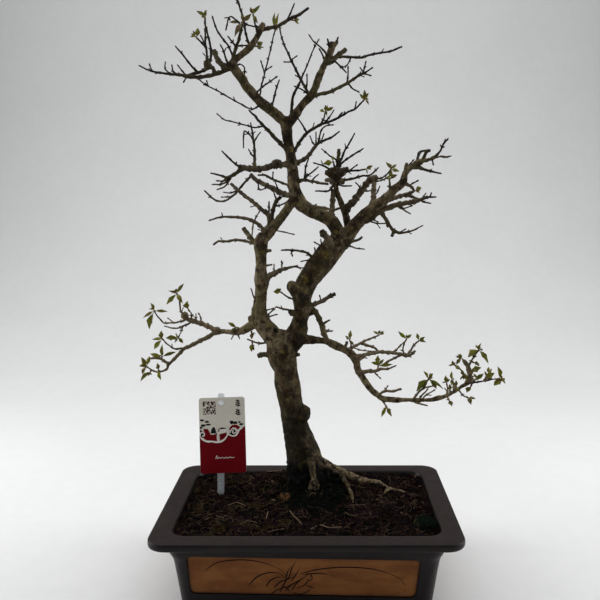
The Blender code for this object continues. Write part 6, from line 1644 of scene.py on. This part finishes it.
def make_pot(clay, slip, ink):
    """The pot as one body, the slip in its panels, and the drawing on the front and back ones."""
    base_drop = POT_HEIGHT - FOOT_HEIGHT
    outer = [(BODY_FOOT_INSET, base_drop)] + list(reversed(OUTER_PROFILE))
    inner = list(INNER_PROFILE) + [(FLOOR_INSET, base_drop - FLOOR_THICKNESS)]
    pot = mesh_object("pot_body", *loft([pot_ring(*p) for p in rounded_profile(outer + inner)]))
    settle(carved(pot, *pot_feet(), *panel_recesses(), *drain_holes()), clay, "pot", "pot", angle=32)
    plates, lines = Shell(), Shell()
    for side in range(4):
        place, half_width = panel_place(side)
        rings, looks = [], []
        for height, shrink, edge in SLIP_RINGS:
            outline = panel_outline(half_width, shrink)
            rings.append([place @ Vector((x, PANEL_DEPTH + height, z)) for x, z in outline])
            looks += [(edge, 0.0, 0.0, 1.0)] * len(outline)
        plates.add(*loft(rings), looks)
        if side in DRAWN_SIDES:
            for stroke in ORCHID_STROKES:
                add_stroke(lines, place, stroke)
    plates.make("pot_panels", slip, "pot", "pot", angle=40)
    lines.make("pot_panel_drawing", ink, "pot", "pot", angle=40)


def add_stroke(shell, place, stroke):
    """One brush line of the drawing, laid on the panel where the front view shows it."""
    thickness, route = stroke
    front, _ = panel_place(0)
    surface = PANEL_DEPTH - SLIP_DEPTH
    flat = []
    for across, down in route:
        near, far = (front.inverted() @ sight(across, down, back) for back in (-140, -60))
        part = (surface - near.y) / (far.y - near.y)
        flat.append(near.lerp(far, part))
    points, _, at = resampled(flat, [1.0] * len(flat), 0.0009)
    rings = []
    for k, point in enumerate(points):
        press = math.sin(math.pi * min(1.0, at[k] / at[-1] * 1.15 + 0.08)) ** 0.7
        half = thickness * STROKE_WEIGHT / 2 * MM * (0.35 + 0.65 * press)
        ahead = points[min(k + 1, len(points) - 1)] - points[max(k - 1, 0)]
        across = Vector((-ahead[2], 0, ahead[0])).normalized() * half
        middle = Vector((point[0], 0, point[2]))
        rings.append([place @ (middle + across * side + Vector((0, surface + depth, 0)))
                      for side, depth in ((1, -0.00008), (-1, -0.00008), (-1, 0.00015), (1, 0.00015))])
    shell.add(*loft(rings))


# Soil

def soil_spot(u, v, half_x, half_y):
    """A place on the soil from shares of its half length and half depth, its corners rounded."""
    x, y = abs(u) * half_x, abs(v) * half_y
    a, b = (x - half_x + SOIL_CORNER) / SOIL_CORNER, (y - half_y + SOIL_CORNER) / SOIL_CORNER
    if a > 0 and b > 0:
        x = half_x - SOIL_CORNER + SOIL_CORNER * a * math.sqrt(1 - b * b / 2)
        y = half_y - SOIL_CORNER + SOIL_CORNER * b * math.sqrt(1 - a * a / 2)
    return math.copysign(x, u), math.copysign(y, v)


def soil_surface(x, y):
    """The height of the crumbly soil at a place."""
    p = Vector((x, y, 0))
    crumb = 0.55 - noise.voronoi(p * 310)[0][0]
    fine = noise.fractal(p * 700, 0.8, 2.0, 3)
    height = soil_height(x, y) + 0.0022 * max(crumb, -0.25) + 0.00045 * fine
    return height + 0.0010 * noise.noise(p * 90) - 0.0002


def mossy(x, y):
    """How mossy the soil is: most round the trunk's foot, and in a few patches elsewhere."""
    wander = noise.fractal(Vector((x, y, 0)) * 70, 1.0, 2.0, 3)
    away = math.hypot((x - MOSS_MIDDLE[0]) / MOSS_REACH[0], (y - MOSS_MIDDLE[1]) / MOSS_REACH[1])
    ring = smooth_step(away + 0.30 * wander, 1.08, 0.80)
    patch = smooth_step(noise.noise(Vector((x, y, 0.5)) * 38), 0.28, 0.45)
    return float(max(ring, 0.55 * patch))


def tan_share(x, y, chip):
    """How far a place on the soil lies inside the tan chip of bark."""
    away = math.hypot((x - chip.x) / TAN_REACH[0], (y - chip.y) / TAN_REACH[1])
    return float(smooth_step(away + 0.3 * noise.noise(Vector((x, y, 4)) * 300), 1.0, 0.6))


def soil_look(x, y, chip):
    """The soil's moss, pale, rust and olive shares at a place."""
    rust = smooth_step(noise.noise(Vector((x, y, 2)) * 260), 0.25, 0.5) * 0.08
    tan = tan_share(x, y, chip)
    olive = smooth_step(noise.fractal(Vector((x + 0.3, y, 1)) * 42, 1.0, 2.0, 3), -0.05, 0.45)
    olive *= smooth_step(x, 0.03, -0.03)
    return mossy(x, y), tan * 0.2, max(float(rust), tan * 0.8), 1.0 - float(olive)


def make_soil(material):
    """The soil as one crumbly body with a flat underside. Gives half its length and half its depth."""
    insets, drops = zip(*INNER_PROFILE)
    edge = float(np.interp(SOIL_EDGE_DROP + 0.001, drops, insets))
    half_x, half_y = RIM_LENGTH / 2 - edge - 0.0003, RIM_DEPTH / 2 - edge - 0.0003
    chip = sight_on_soil(*TAN_CHIP)
    columns, rows = SOIL_GRID
    points, looks, faces = [], [], []
    for row in range(rows + 1):
        for column in range(columns + 1):
            x, y = soil_spot(2 * column / columns - 1, 2 * row / rows - 1, half_x, half_y)
            points.append((x, y, soil_surface(x, y)))
            looks.append(soil_look(x, y, chip))
    width = columns + 1
    for row in range(rows):
        for column in range(columns):
            a = row * width + column
            faces.append([a, a + 1, a + 1 + width, a + width])
    rim = list(range(columns)) + [r * width + columns for r in range(rows)]
    rim += [rows * width + c for c in range(columns, 0, -1)] + [r * width for r in range(rows, 0, -1)]
    start = len(points)
    points += [(points[i][0] * 0.985, points[i][1] * 0.98, POT_HEIGHT - 0.016) for i in rim]
    looks += [looks[i] for i in rim]
    for k in range(len(rim)):
        j = (k + 1) % len(rim)
        faces.append([rim[k], rim[j], start + j, start + k])
    faces.append([start + k for k in range(len(rim))])
    shell = Shell()
    shell.add(points, faces, looks)
    shell.make("soil_bed", material, "soil", "soil")
    return half_x, half_y


def make_crumbs(material, half_x, half_y):
    """Crumbs and chips of peat and bark, loose on the soil."""
    draw = random.Random(5)
    shell = Shell()
    small, large = lump(1), lump(2)
    chip = sight_on_soil(*TAN_CHIP)
    for _ in range(CRUMBS):
        x, y = soil_spot(draw.uniform(-0.985, 0.985), draw.uniform(-0.98, 0.98), half_x, half_y)
        size = 0.0006 + 0.0017 * draw.random() ** 2.4
        ball, faces = large if size > 0.0012 else small
        turn = Matrix.Rotation(draw.uniform(0, 6.28), 3, "Z")
        turn = turn @ Matrix.Rotation(draw.uniform(-0.5, 0.5), 3, "X")
        stretch = np.array([draw.uniform(0.8, 1.9), draw.uniform(0.7, 1.1), draw.uniform(0.45, 0.85)])
        seed = Vector((x, y, size)) * 3000
        knobs = np.array([1 + 0.28 * noise.noise(Vector(p) * 1.7 + seed) for p in ball])
        shape = (ball * knobs[:, None] * stretch * size) @ np.array(turn.transposed())
        place = np.array((x, y, soil_surface(x, y) + size * 0.25))
        kind = draw.random()
        pale = 0.6 if kind < 0.008 else 0.03 * draw.random()
        rust = max(0.085 if 0.025 < kind < 0.17 else 0.0, 0.75 * tan_share(x, y, chip))
        shell.add(shape + place, faces, (0.9 * mossy(x, y), pale, rust, 1.0))
    shell.make("soil_crumbs", material, "soil")


def make_fine_roots(material, half_x, half_y):
    """Pale hair roots in the soil's surface: those that the front view shows, and many at random."""
    draw = random.Random(17)
    shell = Shell()
    for thickness, route in PALE_ROOTS:
        spots = [sight_on_soil(*place) for place in route]
        flat = [Vector((p.x, p.y, soil_surface(p.x, p.y) + 0.0005)) for p in spots]
        points, sizes, _ = resampled(flat, [thickness / 2 * MM] * len(flat), 0.0012)
        widths = list(sizes[:-1]) + [sizes[-1] * 0.4]
        shell.add(*tube(points, widths, 7), (0.0, draw.uniform(0.6, 1.0), 0.0, 1.0))
    starts = []
    for _ in range(HAIR_ROOTS):
        x, y = soil_spot(draw.uniform(-0.95, 0.95), draw.uniform(-0.94, 0.94), half_x, half_y)
        if mossy(x, y) < 0.4 or draw.random() < 0.2:
            starts.append((x, y, draw.uniform(0, 6.28), 0.0))
    for root in ROOTS:
        end, before = sight(*root[-1][:3]), sight(*root[-2][:3])
        outward = math.atan2(end.y - before.y, end.x - before.x)
        starts += [(end.x, end.y, outward + draw.gauss(0, 0.6), 0.35) for _ in range(ROOT_HAIRS)]
    for x, y, heading, least in starts:
        bend = draw.uniform(-0.35, 0.35)
        pale = least + (1 - least) * draw.random() ** 2.2
        steps, radius = draw.randint(4, 11), draw.uniform(0.00007, 0.00014) + 0.00011 * pale
        route = []
        for step in range(steps):
            arch = 0.0009 * math.sin(math.pi * step / (steps - 1))
            route.append(Vector((x, y, soil_surface(x, y) + arch - 0.0001)))
            heading += bend + draw.uniform(-0.3, 0.3)
            x += HAIR_STRIDE * math.cos(heading)
            y += HAIR_STRIDE * math.sin(heading)
            if abs(x) > half_x - 0.003 or abs(y) > half_y - 0.003:
                break
        if len(route) > 3:
            points, _, at = resampled(route, [radius] * len(route), HAIR_STEP)
            widths = [radius * (1 - 0.7 * a / at[-1]) for a in at]
            look = (0.0, 0.015 + 0.95 * pale, draw.uniform(0, 0.10) * (1 - pale), 1.0)
            shell.add(*tube(points, widths, 4), look)
    shell.make("soil_fine_roots", material, "soil")


def add_tuft(shell, place, height, draw, lit, out=Vector((0, 0, 1))):
    """A few short moss stems that spread from one place."""
    across = out.orthogonal().normalized()
    up = out.cross(across)
    for _ in range(5):
        lean = (across * draw.gauss(0, 0.5) + up * draw.gauss(0, 0.5) + out).normalized()
        lean *= height * draw.uniform(0.6, 1.1)
        turn, radius = draw.uniform(0, 6.28), height * 0.16
        base = [place + (across * math.cos(turn + a) + up * math.sin(turn + a)) * radius - out * height * 0.3
                for a in (0, 2.09, 4.19)]
        faces = ([0, 1, 3], [1, 2, 3], [2, 0, 3], [0, 2, 1])
        shell.add(base + [place + lean], faces, [(0.0, 0.0, 0.0, 1.0)] * 3 + [(lit, 0.0, 0.0, 1.0)])


def make_moss(material, half_x, half_y, mossed):
    """Short moss on the soil and on the trunk's foot, and the cushion near the front right corner."""
    draw = random.Random(23)
    mat = Shell()
    for _ in range(MOSS_TRIES):
        x, y = draw.uniform(-half_x, half_x) * 0.95, draw.uniform(-half_y, half_y) * 0.93
        share = mossy(x, y)
        if draw.random() < share - 0.25:
            height = draw.uniform(0.0010, 0.0016) * (0.7 + share)
            add_tuft(mat, Vector((x, y, soil_surface(x, y))), height, draw, draw.random() ** 4 * 0.35)
    for place, out in draw.sample(mossed, min(TRUNK_TUFTS, len(mossed))):
        add_tuft(mat, place, draw.uniform(0.0010, 0.0018), draw, draw.random() ** 4 * 0.35, out)
    mat.make("moss_on_soil", material, "moss")
    make_cushion(material, draw)


def make_cushion(material, draw):
    """The moss cushion, a lobed body under its own tufts."""
    cushion = Shell()
    middle = sight_on_soil(*MOSS_PLACE) + Vector((MOSS_SHIFT, 0, 0))
    ball, faces = lump(5)
    points, looks = [], []
    for p in ball:
        turn = math.atan2(p[1], p[0])
        radius = MOSS_RADIUS * (1 + 0.06 * math.sin(3 * turn + 1)) * 0.97
        height = MOSS_HEIGHT * 0.97 if p[2] > 0 else 0.0024
        lobes = 0.0016 * max(0.0, 0.5 - noise.voronoi(Vector(p) * 3.4)[0][0])
        lobes += 0.0005 * noise.noise(Vector(p) * 9)
        spot = Vector((p[0] * radius, p[1] * radius, p[2] * height)) + Vector(p) * (lobes - 0.0004)
        points.append(middle + spot)
        # Painted highlight: the cushion and its tufts are coloured paler on the top-left side, where the
        # light falls
        sun = 0.5 * noise.noise(Vector(p) * 2.2) + 0.4 * p[2] - 1.0 * p[0] - 0.1 * p[1]
        lit = float(smooth_step(sun, 0.80, 1.20))
        looks.append((lit * 0.8, 0.0, 0.0, 1.0))
        if p[2] > -0.05 and draw.random() < 0.45:
            add_tuft(cushion, middle + spot, draw.uniform(0.0007, 0.0012), draw, lit)
    cushion.add(points, faces, looks)
    cushion.make("moss_cushion", material, "moss", "moss_clump")


# Label

def label_place():
    """The label's own axes, leant back, from the middle of the card's hole."""
    foot = sight_on_soil(*LABEL_PLACE)
    height = 0.1
    for _ in range(6):
        hole = sight(*CARD_HOLE_PLACE, (foot.y + height * math.sin(LABEL_LEAN)) / MM)
        height = (hole.z - foot.z) / math.cos(LABEL_LEAN)
    return Matrix.Translation(hole) @ Matrix.Rotation(-LABEL_LEAN, 4, "X")


def card_place():
    """The card's axes, from its middle: across, depth and up."""
    shift = Vector((-CARD_HOLE_SHIFT, 0, CARD_HOLE_DROP - CARD_SIZE[1] / 2))
    return label_place() @ Matrix.Rotation(-CARD_ROLL, 4, "Y") @ Matrix.Translation(shift)


def add_print(shell, place, outline, layer):
    """A flat printed shape, given in mm from the card's middle, on the card's front."""
    front = -CARD_THICKNESS / 2
    rings = [[place @ Vector((x * MM, depth, z * MM)) for x, z in outline]
             for depth in (front + 0.00004, front - 0.00005 * layer)]
    shell.add(*loft(rings))


def ribbon(route, thick):
    """The outline of a line of even thickness, in mm, along a smooth route."""
    points, _, _ = resampled([(x, 0.0, z) for x, z in route], [1.0] * len(route), 0.5)
    left, right = [], []
    for k, point in enumerate(points):
        ahead = points[min(k + 1, len(points) - 1)] - points[max(k - 1, 0)]
        normal = np.array((-ahead[2], ahead[0])) / np.hypot(ahead[0], ahead[2]) * thick / 2
        left.append((point[0] + normal[0], point[2] + normal[1]))
        right.append((point[0] - normal[0], point[2] - normal[1]))
    return left + right[::-1]


def make_card(material):
    """The card's sheet, with its round hole."""
    place, rings = card_place(), []
    for depth, shrink in ((-0.5, 0.00015), (-0.3, 0.0), (0.3, 0.0), (0.5, 0.00015)):
        flat = rounded_ring(CARD_SIZE[0] / 2 - shrink, CARD_SIZE[1] / 2 - shrink, CARD_CORNER - shrink, 0, 8)
        rings.append([place @ Vector((p.x, depth * CARD_THICKNESS, p.y)) for p in flat])
    card = mesh_object("card_sheet", *loft(rings))
    place = label_place()
    rings = [[place @ Vector((CARD_HOLE_RADIUS * math.cos(t), depth, CARD_HOLE_RADIUS * math.sin(t)))
              for t in circle(32)] for depth in (-0.003, 0.003)]
    hole = mesh_object("card_hole", *loft(rings))
    settle(carved(card, ("DIFFERENCE", hole)), material, "card", "label_card", angle=35)


def print_ground(shell, place, half, low):
    """The ground under its wavy edge, round at its lower corners, and the hills in its colour."""
    corner = CARD_CORNER / MM
    wave, _, _ = resampled([(x, 0.0, z) for x, z in CARD_WAVE], [1.0] * len(CARD_WAVE), 0.8)
    top = [(min(max(p[0], -half), half), p[2]) for p in wave]
    turns = [math.pi / 2 * i / 6 for i in range(7)]
    round_off = [(half - corner * (1 - math.cos(a)), low + corner * (1 - math.sin(a))) for a in turns]
    add_print(shell, place, top + round_off + [(-x, z) for x, z in reversed(round_off)], 1)
    for outline in CARD_RED_HILLS:
        add_print(shell, place, outline, 1.2)


def print_pines(shell, place, half, draw):
    """Pine clumps with uneven rims."""
    for x, z, wide, tall in CARD_PINES:
        turns = circle(22)
        rims = [1 + draw.uniform(-0.22, 0.22) for _ in turns]
        outline = [(max(x + wide * r * math.cos(a), 0.4 - half), z + tall * r * math.sin(a))
                   for a, r in zip(turns, rims)]
        add_print(shell, place, outline, 1.6)


def print_sprigs(shell, place):
    """Leaf sprigs, each a stem with three pairs of leaves."""
    for x, z, tall in CARD_SPRIGS:
        add_print(shell, place, ribbon([(x, z), (x + 0.3, z + tall * 0.5), (x, z + tall)], 1.2), 1.6)
        for share, side in ((0.12, 1), (0.2, -1), (0.42, 1), (0.5, -1), (0.72, 1), (0.8, -1)):
            foot, reach = z + tall * share, 3.3 * (1.15 - 0.5 * share)
            outline = [(x, foot - 0.2), (x + side * reach * 0.6, foot - 0.4), (x + side * reach, foot + 1.2),
                       (x + side * reach * 0.45, foot + 1.7)]
            add_print(shell, place, outline, 1.6)


def print_mosaic(shell, place, draw):
    """A square of tiles, some of them left out at random."""
    middle_x, middle_z, pitch, tiles = CARD_MOSAIC
    for row in range(tiles):
        for column in range(tiles):
            if draw.random() < MOSAIC_FILL:
                x, z = middle_x + (column - tiles / 2) * pitch, middle_z + (row - tiles / 2) * pitch
                add_print(shell, place, [(x, z), (x + pitch, z), (x + pitch, z + pitch), (x, z + pitch)], 1)


def make_label(sheet, red, white, dark, brown):
    """The card and its print."""
    make_card(sheet)
    place, draw = card_place(), random.Random(12)
    half, low = CARD_SIZE[0] / 2 / MM - 0.05, -CARD_SIZE[1] / 2 / MM + 0.05
    ground, lines, shapes, mosaic = Shell(), Shell(), Shell(), Shell()
    print_ground(ground, place, half, low)
    for outline in CARD_DARK_HILLS:
        add_print(shapes, place, outline, 1.5)
    print_pines(shapes, place, half, draw)
    print_sprigs(shapes, place)
    print_mosaic(mosaic, place, draw)
    for thickness, route in CARD_LINES:
        add_print(lines, place, ribbon(route, thickness), 2.5)
    add_print(shapes, place, ribbon([(x + 0.2, z - 0.8) for x, z in CARD_WAVE[1:-1]], 1.3), 1.8)
    add_print(lines, place, ribbon(CARD_WAVE[1:-1], 1.5), 2.2)
    for name, shell, look in (("red", ground, red), ("dark", shapes, dark), ("mosaic", mosaic, brown),
                              ("lines", lines, white)):
        shell.make(f"card_print_{name}", look, "card", "label_card", angle=25)


def dress_node(name, material, *modifiers):
    """Gives a solid that stays its material, and modifiers given as kind and settings."""
    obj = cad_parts[name]
    obj.data.materials.clear()
    obj.data.materials.append(material)
    add_modifiers(obj, modifiers)


# Studio

def make_stage():
    """A pale floor that curves up into a backdrop."""
    outline = [(FLOOR_FRONT, 0.0), (BACKDROP_START, 0.0)]
    for step in range(1, 17):
        turn = math.pi / 2 * step / 16
        back, rise = BACKDROP_BEND * math.sin(turn), BACKDROP_BEND * (1 - math.cos(turn))
        outline.append((BACKDROP_START + back, rise))
    outline.append((BACKDROP_START + BACKDROP_BEND, BACKDROP_TOP))
    points = [(side * FLOOR_HALF_WIDTH, y, z) for y, z in outline for side in (-1, 1)]
    faces = [[2 * k, 2 * k + 1, 2 * k + 3, 2 * k + 2] for k in range(len(outline) - 1)]
    stage = mesh_object("studio_floor", points, faces)
    paper = plain_material("studio_paper", (0.602, 0.604, 0.604), (0.620, 0.621, 0.621), 0.9, 40,
                           Specular_IOR_Level=0.0)
    stage.data.materials.append(paper)
    stage.data.shade_smooth()


def add_light(name, size, place, target, watts):
    """A rectangular light that faces its target."""
    data = bpy.data.lights.new(name, "AREA")
    data.shape = "RECTANGLE"
    data.size, data.size_y = size
    data.energy = watts
    light = bpy.data.objects.new(name, data)
    light.location = place
    light.rotation_euler = (Vector(target) - Vector(place)).to_track_quat("-Z", "Y").to_euler()
    bpy.context.scene.collection.objects.link(light)


def make_camera():
    """The camera that takes the front view."""
    data = bpy.data.cameras.new("front_view")
    data.sensor_width = 36
    data.lens = 36 * VIEW_FOCAL / VIEW_SIZE
    data.shift_x = (VIEW_SIZE / 2 - VIEW_CENTRE[0]) / VIEW_SIZE
    data.shift_y = (VIEW_CENTRE[1] - VIEW_SIZE / 2) / VIEW_SIZE
    data.clip_start, data.clip_end = 0.01, 20
    camera = bpy.data.objects.new("front_view", data)
    camera.location = (EYE_ACROSS, -EYE_DISTANCE, POT_HEIGHT + EYE_OVER_RIM)
    camera.rotation_euler = (math.pi / 2 - EYE_DIP, 0, 0)
    bpy.context.scene.collection.objects.link(camera)
    bpy.context.scene.camera = camera


def make_studio():
    """The floor, the soft lights, a little light from all sides, and the camera."""
    make_stage()
    add_light("soft_left", (0.8, 1.3), (-1.25, 0.05, 0.75), (0, 0.05, 0.36), 15.5)
    add_light("soft_right", (0.8, 1.3), (1.30, 0.15, 0.75), (0, 0.05, 0.30), 13)
    add_light("soft_top", (2.2, 0.9), (0.08, 0.25, 1.50), (0.06, 0.15, 0.0), 18)
    add_light("soft_front", (1.2, 0.8), (-0.3, -1.5, 1.15), (0, 0.0, 0.05), 1.6)
    add_light("wall_wash", (3.4, 0.3), (0.0, 1.35, 2.0), (0, 1.9, 1.1), 14.5)
    world = bpy.data.worlds.new("studio_air")
    world.use_nodes = True
    world.node_tree.nodes["Background"].inputs[0].default_value = (0.95, 0.975, 1.0, 1.0)
    world.node_tree.nodes["Background"].inputs[1].default_value = 0.15
    bpy.context.scene.world = world
    bpy.context.scene.view_settings.view_transform = "Standard"
    make_camera()


def main():
    """Dresses the part, piece by piece, and sets up the studio."""
    strands = grow_tree()
    mossed = make_bark(strands, bark_material())
    make_twigs(strands, twig_material())
    make_leaves(strands, leaf_material())
    clay = clay_material()
    ink = plain_material("panel_ink", (0.0045, 0.0035, 0.0032), (0.0095, 0.0070, 0.0060), 0.7, 900,
                         Specular_IOR_Level=0.05)
    make_pot(clay, panel_material(), ink)
    soil = soil_material()
    half_x, half_y = make_soil(soil)
    make_crumbs(soil, half_x, half_y)
    make_fine_roots(soil, half_x, half_y)
    make_moss(moss_material(), half_x, half_y, mossed)
    sheet = plain_material("card_sheet_plastic", (0.70, 0.665, 0.57), (0.78, 0.745, 0.64), 0.40, 300,
                           Specular_IOR_Level=0.25)
    make_label(sheet, *(plain_material(f"card_{name}", low, high, 0.55, 300, Specular_IOR_Level=0.04)
                        for name, low, high in CARD_INKS))
    bevel = ("BEVEL", {"width": 0.00025, "segments": 2, "limit_method": "ANGLE"})
    stake = plain_material("stake_plastic", (0.80, 0.83, 0.87), (0.88, 0.90, 0.93), 0.26, 250,
                           Transmission_Weight=0.72)
    dress_node("label_stake", stake, bevel)
    screen = plain_material("screen_plastic", (0.015, 0.015, 0.016), (0.028, 0.028, 0.030), 0.5, 500)
    dress_node("drain_screen_left", screen, bevel)
    dress_node("drain_screen_right", screen, bevel)
    make_studio()


main()
